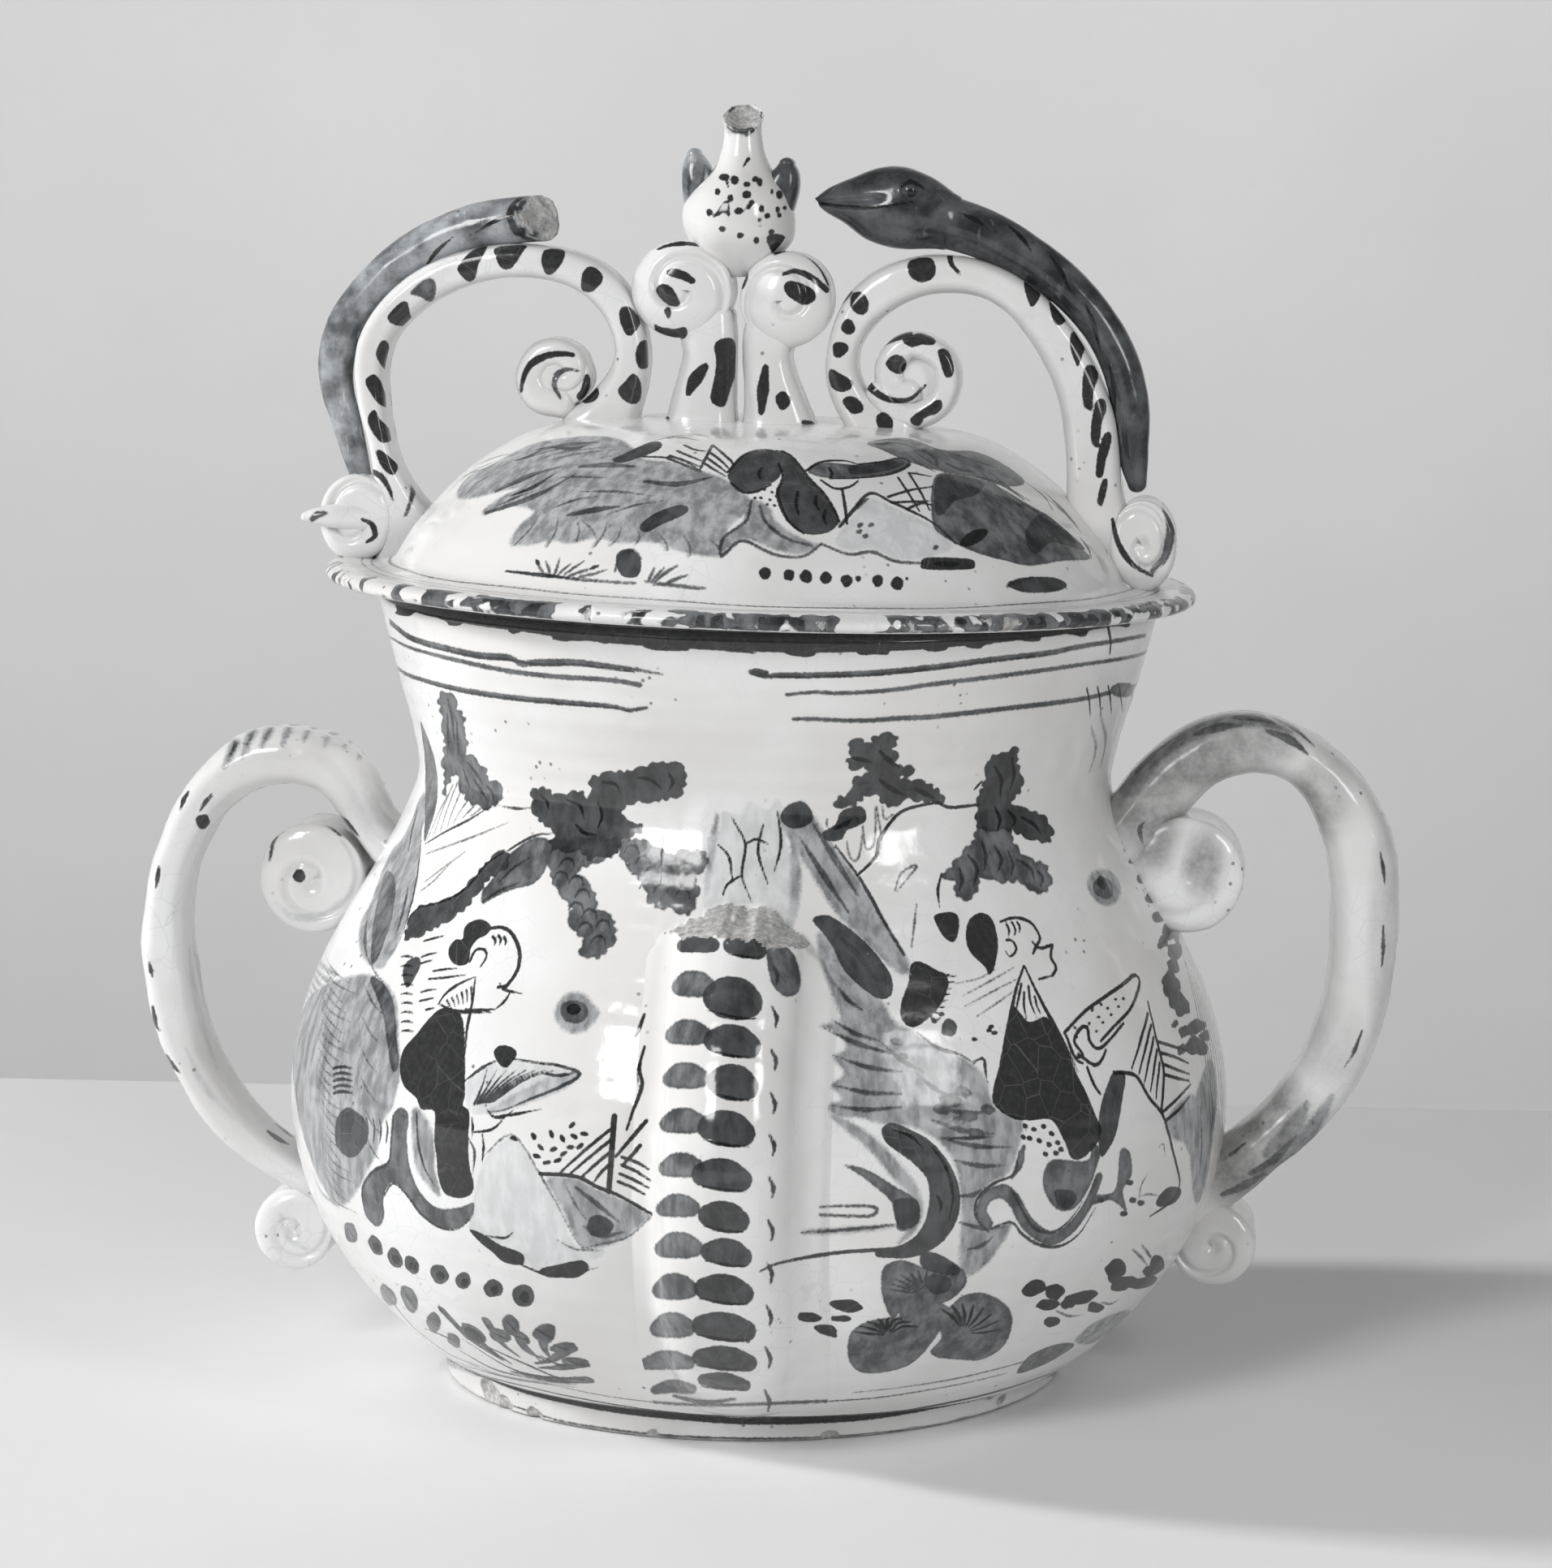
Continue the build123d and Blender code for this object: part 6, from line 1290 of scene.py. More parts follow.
def build_spout(material):
    x0 = 4.8
    xs = np.arange(-20.0, 20.01, 0.36)
    zs = np.arange(5.6, 131.0, 0.36)
    Xg, Zg = np.meshgrid(xs + x0, zs)
    order = np.argsort(pot_form.z_rows, kind="stable")
    R = np.interp(Zg, pot_form.z_rows[order], pot_form.r_rows[order])
    phi = np.arcsin(np.clip(Xg / R, -1, 1))
    # half-width and standing-out of the tube at each height
    hw = np.interp(Zg, [5, 8, 12, 20, 32, 50, 80, 100, 131], [3.5, 7.2, 9.6, 11.4, 12.4, 12.6, 12.3, 12.0, 11.0])
    dp = np.interp(Zg, [5, 7, 10, 15, 22, 34, 50, 66, 80, 92, 131], [0.0, 1.6, 4.4, 7.6, 9.9, 12.0, 12.3, 12.2, 11.9, 11.4, 10.6])
    u = (Xg - x0) / hw
    # a round front, the left flank steeper than the right one, where slip was smoothed out over the belly
    s1 = 0.9
    core = np.sqrt(np.clip(1 - np.minimum(np.abs(u), s1) ** 2, 0, 1))
    h1 = math.sqrt(1 - s1 * s1)
    slope = s1 / h1
    tail_len = np.where(u > 0, 1.35, 0.8)
    tail = h1 * np.exp(-slope / h1 * np.clip(np.abs(u) - s1, 0, None) / tail_len)
    h = dp * np.where(np.abs(u) < s1, core, tail)
    # broken off at the top: a rough slope up to the wall
    pts = np.column_stack([Xg.ravel(), np.zeros(Xg.size), Zg.ravel()])
    rough = (lattice_noise(pts, 2.6, 31) * 0.9 + lattice_noise(pts, 0.9, 32) * 0.35).reshape(Xg.shape)
    zb = 104.4 + rough - 0.10 * (Xg - x0) - 0.035 * (Xg - x0) ** 2
    broken = np.clip((zb - Zg) / 0.34, 0.0, None)
    scar = 0.35 * (1 - smoothstep(Zg, 118, 126)) * (1 - smoothstep(np.abs(u), 0.75, 1.15)) + 0.05 * rough
    top_side = broken < h
    h = np.where(top_side, np.maximum(broken, scar), h)
    # the patch sinks below the belly at its edge
    edge = np.minimum.reduce([Xg - xs[0] - x0, xs[-1] + x0 - Xg, (131.0 - Zg) * 1.0, (Zg - 5.2) * 1.5])
    sink = 0.4 * (1 - smoothstep(edge, 0.6, 4.5))
    h = h * smoothstep(edge, 0.3, 3.6) - sink + 0.02
    wob = pot_wobble(pot_form.to_world(R, phi, Zg).reshape(-1, 3)).reshape(R.shape)
    ring = np.sin(Zg * 1.45 + 0.7 * np.sin(Zg * 0.31)) * 0.03
    outer = pot_form.to_world(R + wob + ring, phi, Zg)
    # stand out square to the front, a little to each side
    push = np.stack([np.sin(phi) * 0.55, -np.cos(phi * 0.55), np.zeros_like(phi)], -1)
    outer = outer + push * h[..., None]
    lumps = (lattice_noise(outer.reshape(-1, 3), 6.0, 33) * 0.16).reshape(h.shape)
    outer = outer + push * (lumps * smoothstep(h, 0.5, 3.0))[..., None]
    inner = pot_form.to_world(R - 3.6, phi, Zg)
    v, q = slab(outer, inner)
    if orientation_in(v, q):
        q = flip_faces(q)
    nn = normals_of(v, q)
    f = blank(len(v))
    paint_points(v, nn, f, STROKES["pot"])
    paint_points(v, nn, f, STROKES["spout"])
    m = Xg.size
    bare = np.where(top_side & (Zg < 108.5) & (broken > 0.6), -0.8, 0.9).ravel()
    bare = np.where(Zg.ravel() < 98, FAR, bare)
    f["bare"][:m] = np.minimum(f["bare"][:m], bare)
    return make_mesh("spout_tube_shell", v, q, "pot", ["spout_tube"], material, clip_fields(f))


def build_lid(material):
    phis = column_angles(1040, 420, 100)
    form = lid_form
    under = curve_through([(80.5, 0.0), (74.0, 0.0), (68.0, 0.0), (64.4, 0.0), (63.6, 0.8), (63.4, 2.4), (62.9, 6.0), (61.2, 10.0),
                           (58.2, 14.2), (54.4, 18.0), (50.0, 21.4), (45.4, 24.2), (41.0, 26.0), (35.5, 27.4), (25.0, 28.2),
                           (14.0, 28.4), (0.4, 28.4)], 90)[1:]
    ring_r = np.concatenate([form.r_rows, under[:, 0]])
    ring_z = np.concatenate([form.z_rows, under[:, 1]])
    base = form.to_world(ring_r[:, None], phis[None, :], ring_z[:, None])
    p = base.reshape(-1, 3)
    w = (lattice_noise(p, 26.0, 41) * 0.16 + lattice_noise(p, 8.0, 42) * 0.05).reshape(base.shape[:2])
    edge = smoothstep(ring_r, 60, 84)[:, None]
    # chips and dents along the rim's edge
    ch = (lattice_noise(p, 4.2, 43) * 0.5 + lattice_noise(p, 1.7, 44) * 0.5).reshape(base.shape[:2])
    rim = (smoothstep(ring_r, 82.6, 84.6) * (ring_z < 3.4))[:, None]
    chips = smoothstep(ch, 0.30, 0.62) * rim
    pr = form.to_world(ring_r[:, None] + w * edge - 0.45 * chips, phis[None, :], ring_z[:, None] + w * (1 - edge) + 0.0 * chips)
    v, q = close_rings([pr[i] for i in range(pr.shape[0])])
    if orientation_in(v, q):
        q = flip_faces(q)
    n_out = len(form.r_rows)
    fields = {a: np.full(base.shape[:2], FAR) for a in ATTRS}
    fields["grime"] = np.zeros(base.shape[:2])
    sub = {a: fields[a][:n_out] for a in ATTRS}
    paint_form(form, phis, sub, STROKES["lid"])
    paint_form(form, phis, sub, STROKES["lid_back"], turn=math.pi, mirror=True)
    # three thin lines round the flange
    rr = form.r_rows[:, None] + 0 * phis[None, :]
    for k, (r0, wd) in enumerate(((73.1, 0.33), (76.3, 0.26), (78.6, 0.30))):
        wander = 0.35 * np.sin(phis * 2 + k) + 0.3 * np.sin(phis * 5 + 2.1 * k) + 0.16 * np.sin(phis * 13 + k)
        gapn = np.sin(phis * 3.0 + 1.7 * k) + 0.6 * np.sin(phis * 7.0 + k)
        thin = wd * (0.72 + 0.28 * gapn / 1.6)
        d = np.abs(rr - (r0 + wander)[None, :]) - thin[None, :]
        d = np.where((form.z_rows < 6.5)[:, None], d, FAR)
        sub["mid"] = np.minimum(sub["mid"], d)
    # the brushed band on the rim's edge, dragged and broken
    pb = base[:n_out].reshape(-1, 3)
    nz = (lattice_noise(pb * [1, 1, 0.5], 6.5, 45) * 0.6 + lattice_noise(pb * [1, 1, 0.6], 2.1, 46) * 0.45).reshape(n_out, -1)
    s_rim = form.s_rows[:, None]
    i_edge = int(np.argmax(form.r_rows))
    s0 = form.s_rows[i_edge]
    along = s_rim - s0
    # patches 6 to 15 mm long with bare gaps between them, over the whole height of the edge
    flow = np.stack([np.cos(phis) * 84.0, np.sin(phis) * 84.0, 0 * phis], -1)
    n1 = lattice_noise(flow, 9.0, 61) + 0.55 * lattice_noise(flow, 3.6, 62)
    n2 = lattice_noise(flow, 5.0, 63) + 0.5 * lattice_noise(flow, 1.7, 64)
    fine = (lattice_noise(pb, 1.3, 65) * 0.5 + lattice_noise(pb, 2.9, 66) * 0.7).reshape(n_out, -1)
    band = np.maximum(np.maximum(-3.3 + n2[None, :] * 1.1 + fine * 0.8 - along, along - 1.5 - fine * 0.5), (-0.16 - n1)[None, :] * 3.0 + fine * 2.6)
    sub["mid"] = np.minimum(sub["mid"], band)
    band2 = np.maximum(np.maximum(-1.6 + fine * 0.9 - along, along - 1.2 - fine * 0.6), (0.42 - n2)[None, :] * 2.4 + fine * 2.0)
    sub["deep"] = np.minimum(sub["deep"], np.maximum(band2, band + 0.2))
    sub["bare"] = np.minimum(sub["bare"], np.where((chips[:n_out] > 0.5), -0.4, FAR))
    for a in ATTRS:
        fields[a][:n_out] = sub[a]
    flat = {a: np.concatenate([fields[a].ravel(), [FAR if a != "grime" else 0.0] * 2]) for a in ATTRS}
    return make_mesh("lid_dome_shell", v, q, "lid", ["lid_dome"], material, clip_fields(flat))


def strap_stations(outer, inner, half_width, n=110, keep=64):
    """Stations for a strap from its two edges: a monotone pairing of the edges' points with the least total distance."""
    o, i = curve_through(outer, n), curve_through(inner[::-1] if np.linalg.norm(np.subtract(inner[0], outer[0])) > np.linalg.norm(np.subtract(inner[-1], outer[0])) else inner, n)
    cost = np.linalg.norm(o[:, None, :] - i[None, :, :], axis=2) ** 2
    acc = np.full((n, n), 1e18)
    acc[0, 0] = cost[0, 0]
    for a in range(n):
        for b in range(n):
            if a or b:
                best = min(acc[a - 1, b] if a else 1e18, acc[a, b - 1] if b else 1e18, acc[a - 1, b - 1] if a and b else 1e18)
                acc[a, b] = cost[a, b] + best
    a = b = n - 1
    path = [(a, b)]
    while a or b:
        opts = []
        if a and b:
            opts.append((acc[a - 1, b - 1], a - 1, b - 1))
        if a:
            opts.append((acc[a - 1, b], a - 1, b))
        if b:
            opts.append((acc[a, b - 1], a, b - 1))
        _, a, b = min(opts)
        path.append((a, b))
    path = np.array(path[::-1])
    c = (o[path[:, 0]] + i[path[:, 1]]) / 2
    t = np.linalg.norm(o[path[:, 0]] - i[path[:, 1]], axis=1) / 2
    s = np.concatenate([[0], np.cumsum(np.linalg.norm(np.diff(c, axis=0), axis=1))])
    even = np.linspace(0, s[-1], 400)
    rows = np.column_stack([np.interp(even, s, c[:, 0]), np.interp(even, s, c[:, 1]), np.interp(even, s, t)])
    w = np.hanning(23)
    w /= w.sum()
    pad = 11
    ext = np.vstack([2 * rows[0] - rows[1:pad + 1][::-1], rows, 2 * rows[-1] - rows[-pad - 1:-1][::-1]])
    sm = np.column_stack([np.convolve(ext[:, j], w, "valid") for j in range(3)])
    pick = np.linspace(0, 399, keep).astype(int)
    return [(x, z, ht, half_width) for x, z, ht in sm[pick]]


def rolled(cx, cz, rx, rz, hw, y=0.0, dome=0.8, turns=1.6, start=0.0, way=1, groove=0.9, width=0.055, dimple=0.8, rings=30, around=120, edge_power=8):
    """The rolled end of a strap seen from its side: a thick disc with a spiral groove pressed in both faces."""
    t = np.linspace(0, 2 * math.pi, around, endpoint=False)
    ks = np.sin(np.linspace(0.02, math.pi / 2, rings))
    def face(k):
        h = hw - 1.6 + 1.6 * math.sqrt(max(0.0, 1 - k**edge_power)) + dome * (1 - k * k)
        g = np.zeros(around)
        for m in range(-1, int(turns) + 2):
            # radius of this turn of the groove at each angle
            a = way * (t - start)
            a = a % (2 * math.pi) + 2 * math.pi * m
            kk = 0.98 - a / (2 * math.pi * turns) * 0.98
            on = (a >= 0.15) & (kk > 0.12)
            g = np.maximum(g, np.where(on, np.exp(-(((k - kk) / width) ** 2)), 0))
        return h - groove * g * (1 - k**14) - dimple * math.exp(-((k / 0.16) ** 2))
    out = []
    for k in ks:
        out.append(np.column_stack([cx + rx * k * np.cos(t), y - face(k), cz + rz * k * np.sin(t)]))
    depth_edge = np.abs(out[-1][:, 1] - y)
    for w in np.linspace(-1, 1, 14)[1:-1]:
        out.append(np.column_stack([cx + rx * np.cos(t), y + depth_edge * w, cz + rz * np.sin(t)]))
    for k in ks[::-1]:
        out.append(np.column_stack([cx + rx * k * np.cos(t), y + face(k), cz + rz * k * np.sin(t)]))
    return close_rings(out)


def grime_and_shade_blob(tone, centre, radius, amount=1.0):
    """Soft grey round a place in mm: staining, and painted shade where it sits on a join."""
    def run(v, n, f):
        d = np.linalg.norm((v - np.array(centre)) / np.array(radius), axis=1)
        f["grime"] = np.maximum(f["grime"], amount * (1 - smoothstep(d, 0.3, 1.0)))
    return run


def grime_and_shade_smear(u, v, ru, rv, amount=1.0, y=-9.0):
    """The same, placed by pixels of the frame on the plane y."""
    d = ray(u, v)
    c = CAM + d * ((y - CAM[1]) / d[1])
    return grime_and_shade_blob("g", tuple(c), (ru / 6.28, 16.0, rv / 6.28), amount)


def several(*fs):
    def run(v, n, f):
        for g in fs:
            g(v, n, f)
    return run


def bare_end(centre, radius):
    def run(v, n, f):
        d = np.linalg.norm(v - np.array(centre), axis=1) - radius + lattice_noise(v, 1.2, 77) * 0.5
        f["bare"] = np.minimum(f["bare"], d)
    return run


def build_straps(mat):
    T = STROKES
    # each piece below gets soft grey blobs: staining on the right handle, and painted shade where handles, rolls and
    # loop feet join the body and lid
    lh = flare(strap_stations(LEFT_HANDLE_OUTER, LEFT_HANDLE_INNER, 10.0), 1.2, 1.2, 1.6, 7)
    clay_piece("left_handle_band", ribbon(lh, 0.5, 76, 2.7), "pot", ["left_handle_strap"], mat, T["left_handle"], -10, 0.26,
               several(grime_and_shade_blob("g", (-70, -5, 112), (16, 16, 14), 0.5), grime_and_shade_blob("g", (-84, 0, 34), (14, 18, 12), 0.45), grime_and_shade_blob("g", (-92, 0, 137), (26, 18, 7), 0.35)), 51, 9.0)
    rh = flare(strap_stations(RIGHT_HANDLE_OUTER, RIGHT_HANDLE_INNER, 10.0), 1.2, 1.2, 1.6, 7)
    clay_piece("right_handle_band", ribbon(rh, 0.5, 76, 2.7), "pot", ["right_handle_strap"], mat, T["right_handle"], -10, 0.26,
               several(grime_and_shade_smear(1415, 987, 80, 95), grime_and_shade_smear(1480, 935, 90, 70, 0.95), grime_and_shade_smear(1545, 915, 85, 60, 0.8), grime_and_shade_smear(1624, 985, 60, 75, 0.8), grime_and_shade_smear(1562, 1375, 85, 75), grime_and_shade_smear(1530, 1440, 95, 70, 0.9),
                       grime_and_shade_smear(1700, 1150, 22, 190, 0.4), grime_and_shade_smear(1640, 1290, 60, 80, 0.3)), 52, 9.0)
    clay_piece("left_handle_top_roll", rolled(-87.2, 97.6, 10.7, 10.9, 9.5, 0, 0.9, 1.3, math.radians(60), -1, 0.9, 0.06, 1.6), "pot",
               ["left_handle_upper_scroll"], mat, T["left_handle"], -11, 0.24, grime_and_shade_blob("g", (-76, 0, 96), (7, 12, 12), 0.5), 53, 4.5)
    clay_piece("left_handle_foot_roll", rolled(-91.6, 26.4, 8.1, 8.2, 9.5, 0, 0.7, 1.2, math.radians(60), -1, 0.8, 0.07, 1.0), "pot",
               ["left_handle_lower_scroll"], mat, T["left_handle"], -11, 0.24, grime_and_shade_blob("g", (-82, 0, 24), (9, 12, 9), 0.5), 54, 4.5)
    clay_piece("right_handle_top_roll", rolled(85.4, 101.0, 11.5, 11.3, 9.5, 0, 0.9, 1.3, math.radians(120), 1, 0.35, 0.10, 0.7), "pot",
               ["right_handle_upper_scroll"], mat, T["right_handle"], -11, 0.24, several(grime_and_shade_smear(1482, 1064, 36, 62, 1.0), grime_and_shade_smear(1420, 1030, 50, 60, 0.9)), 55, 4.5)
    clay_piece("right_handle_foot_roll", rolled(91.8, 27.6, 8.3, 8.1, 9.5, 0, 0.7, 1.2, math.radians(120), 1, 0.8, 0.07, 1.0), "pot",
               ["right_handle_lower_scroll"], mat, T["right_handle"], -11, 0.24, grime_and_shade_blob("g", (84, 0, 30), (12, 14, 12), 0.95), 56, 4.5)

    ll = flare(strap_stations(LEFT_LOOP_OUTER, LEFT_LOOP_INNER, 6.5), 0.9, 0, 1.2, 6)
    clay_piece("left_loop_band", ribbon(ll, 0.42, 64, 3.2), "lid", ["left_loop_strap"], mat, T["left_loop"], -6.6, 0.16,
               grime_and_shade_blob("g", (-68, 0, 164), (14, 12, 8), 0.45), 57, 4.0)
    rl = flare(strap_stations(RIGHT_LOOP_OUTER, RIGHT_LOOP_INNER, 6.5), 0.9, 0, 1.2, 6)
    clay_piece("right_loop_band", ribbon(rl, 0.42, 64, 3.2), "lid", ["right_loop_strap"], mat, T["right_loop"], -6.6, 0.16,
               grime_and_shade_blob("g", (68, 0, 162), (16, 12, 10), 0.8), 58, 4.0)

    # inner rolls: a strip rolled on itself, with a thin web between its turns
    st = []
    for a, r, h in [(-80, 5.4, 3.3), (-130, 5.4, 3.3), (-180, 5.3, 3.2), (-230, 5.2, 3.1), (-270, 5.0, 3.0), (-310, 4.5, 2.9),
                    (-345, 3.6, 2.7), (-375, 2.6, 2.5), (-400, 1.6, 2.2), (-430, 0.8, 1.8)]:
        t = math.radians(a)
        st.append((-38.1 + r * math.cos(t), 197.0 + r * math.sin(t) * 0.94, h, 6.4))
    roll = joined(ribbon(st, 0.35, 60, 3.2), plug(-38.1, 197.0, 6.6, 6.2, 5.2, 0, 0.3))
    clay_piece("left_inner_roll", roll, "lid", ["left_loop_inner_scroll"], mat, T["left_loop"], -6.6, 0.14, None, 59, 4.0)
    st = []
    for a, r, h in [(200, 6.9, 2.7), (240, 6.9, 2.7), (280, 6.9, 2.7), (320, 6.9, 2.7), (360, 6.9, 2.7), (400, 6.9, 2.7), (450, 6.7, 2.7),
                    (495, 5.6, 2.8), (540, 4.4, 2.9), (580, 3.3, 2.8), (620, 2.3, 2.6)]:
        t = math.radians(a)
        st.append((31.5 + r * math.cos(t), 196.8 + r * math.sin(t), h, 6.4))
    roll = joined(ribbon(st, 0.35, 60, 3.2), plug(31.5, 196.8, 6.4, 6.4, 3.6, 0, 0.2))
    clay_piece("right_inner_roll", roll, "lid", ["right_loop_inner_scroll"], mat, T["right_loop"], -6.6, 0.14, None, 60, 4.0)

    # feet of the loops
    left = joined(rolled(-78.0, 169.2, 7.2, 8.6, 7.4, 0, 0.6, 1.2, math.radians(30), 1, 1.2, 0.085, 1.4, 24, 96))
    clay_piece("left_foot_roll", left, "lid", ["left_loop_foot_scroll"], mat, T["left_loop"], -8, 0.16, grime_and_shade_blob("g", (-76, 0, 160), (10, 12, 5), 0.6), 61, 5.0)
    clay_piece("left_foot_finger", tube([(-76.0, -6.2, 169.2, 2.3, 2.4), (-79.0, -7.2, 169.6, 2.5, 2.5), (-82.2, -8.2, 169.7, 2.4, 2.3), (-85.2, -8.9, 169.7, 1.9, 1.8),
                                         (-87.4, -9.2, 169.6, 1.1, 1.0)], 0.3, 40), "lid", ["left_foot_tail"], mat, T["left_loop"], -12, 0.1, None, 62, 8.0)
    right = joined(rolled(76.6, 165.0, 6.4, 9.0, 7.4, 0, 0.6, 1.2, math.radians(150), -1, 1.2, 0.085, 1.4, 24, 96))
    clay_piece("right_foot_roll", right, "lid", ["right_loop_foot_scroll"], mat, T["right_loop"], -8, 0.16, grime_and_shade_blob("g", (76, 0, 158), (10, 12, 6), 0.9), 63, 5.0)


def build_serpents(dark, lit_smoky):
    st = [(x, 0.0, z, r * 1.15, r) for x, z, r in LEFT_SERPENT_STATIONS]
    v, q = tube(st, 0.3, 72)
    # the head is lost: an uneven, oblique break across the end, facing up and towards the front
    cut = np.array([0.74, -0.62, 0.24])
    cut /= np.linalg.norm(cut)
    near = v[:, 0] > -52
    off = (v - np.array([-41.6, 0.0, 228.0])) @ cut + lattice_noise(v, 2.3, 70) * 0.7 + lattice_noise(v, 0.8, 75) * 0.25
    over = np.where(near, np.clip(off, 0, None), 0.0)
    v = v - over[:, None] * cut[None, :] * 0.93

    def broken(vv, n, f):
        d = (vv - np.array([-41.6, 0.0, 228.0])) @ cut + lattice_noise(vv, 1.4, 77) * 0.35
        f["bare"] = np.minimum(f["bare"], np.where(vv[:, 0] > -52, -0.1 - d, FAR))
        rim_ = np.abs(d + 0.9) - 0.55 + lattice_noise(vv, 1.1, 78) * 0.3
        f["deep"] = np.minimum(f["deep"], np.where(vv[:, 0] > -52, rim_, FAR))
    clay_piece("left_serpent_coil", (v, q), "lid", ["left_serpent"], lit_smoky, STROKES["serpents"], -5.2, 0.16, broken, 64, 5.2)
    st = [(x, 0.0, z, r * 1.15, r) for x, z, r in RIGHT_SERPENT_STATIONS]
    clay_piece("right_serpent_coil", tube(st, 0.4, 60), "lid", ["right_serpent_body"], dark, STROKES["serpents"], -5.2, 0.16, None, 65, 6.0)
    st = [(x, 0.0, z, hy, hz) for x, z, hz, hy in HEAD_STATIONS[::-1]]
    v, q = tube(st, 0.3, 84)
    # mouth: a slit pressed in round the snout
    lip = 231.0 + 0.06 * (v[:, 0] - 14)
    m = np.exp(-(((v[:, 2] - lip) / 0.55) ** 2)) * (1 - smoothstep(v[:, 0], 23.0, 28.0))
    v[:, 1] *= 1 - 0.16 * m
    v[:, 0] += 0.8 * m * (1 - smoothstep(v[:, 0], 14.0, 17.0))
    # nostrils and the ridge over the eyes
    for sy in (-1, 1):
        for (cx, cy, cz, r, amp) in ((15.6, sy * 1.8, 233.2, 0.7, -0.45), (30.0, sy * 5.4, 235.6, 3.0, 0.55)):
            d = np.linalg.norm(v - np.array([cx, cy, cz]), axis=1)
            nn = normals_of(v, q)
            v = v + np.sign((nn * (v - v.mean(0))).sum()) * nn * (amp * np.exp(-((d / r) ** 2)))[:, None]
    clay_piece("right_serpent_snout", (v, q), "lid", ["right_serpent_head"], dark, STROKES["serpents"], -7.5, 0.12, None, 66, 9.0)
    eyes = []
    for sy in (-1, 1):
        ths = np.linspace(0.08, math.pi - 0.08, 14)
        ph = np.linspace(0, 2 * math.pi, 28, endpoint=False)
        rings = [np.column_stack([31.0 + 1.75 * math.sin(a) * np.cos(ph), sy * 6.05 + sy * 1.3 * math.cos(a) * np.ones(28), 233.2 + 1.55 * math.sin(a) * np.sin(ph)]) for a in ths]
        eyes.append(close_rings(rings))
    clay_piece("right_serpent_eye_pellets", joined(*eyes), "lid", ["right_serpent_eyes"], dark, STROKES["serpents"], -8.5, 0.05, None, 67, 9.0)


def build_centre(mat):
    def stem(st):
        return ribbon(st, 0.4, 60, 3.0, 0.5)
    left = joined(
        stem([(-10.1, 186.6, 8.2, 7.8), (-9.9, 188.6, 7.1, 7.2), (-9.6, 191.6, 6.5, 6.9), (-8.9, 196.4, 5.8, 6.8), (-8.3, 201.0, 5.3, 6.7), (-8.4, 204.6, 5.5, 6.7), (-9.0, 208.5, 5.8, 6.4)]),
        rolled(-13.3, 214.2, 9.9, 9.4, 6.4, 0, 2.2, 1.35, math.radians(-70), 1, 1.3, 0.075, 0.2, 28, 110, 5))
    clay_piece("centre_left_volute", left, "lid", ["centre_left_scroll"], mat, STROKES["centre"], -8.5, 0.16, None, 68, 6.5)
    right = joined(
        stem([(5.1, 186.6, 8.0, 7.8), (5.0, 188.6, 7.0, 7.2), (4.6, 191.6, 6.2, 6.9), (3.7, 196.4, 5.3, 6.8), (3.1, 201.0, 4.9, 6.7), (3.6, 205.0, 5.3, 6.7), (4.8, 208.5, 5.8, 6.4)]),
        rolled(7.0, 212.2, 8.9, 9.3, 6.4, 0, 2.2, 1.35, math.radians(-110), -1, 1.3, 0.075, 0.2, 28, 110, 5))
    clay_piece("centre_right_volute", right, "lid", ["centre_right_scroll"], mat, STROKES["centre"], -8.5, 0.16, None, 69, 6.5)


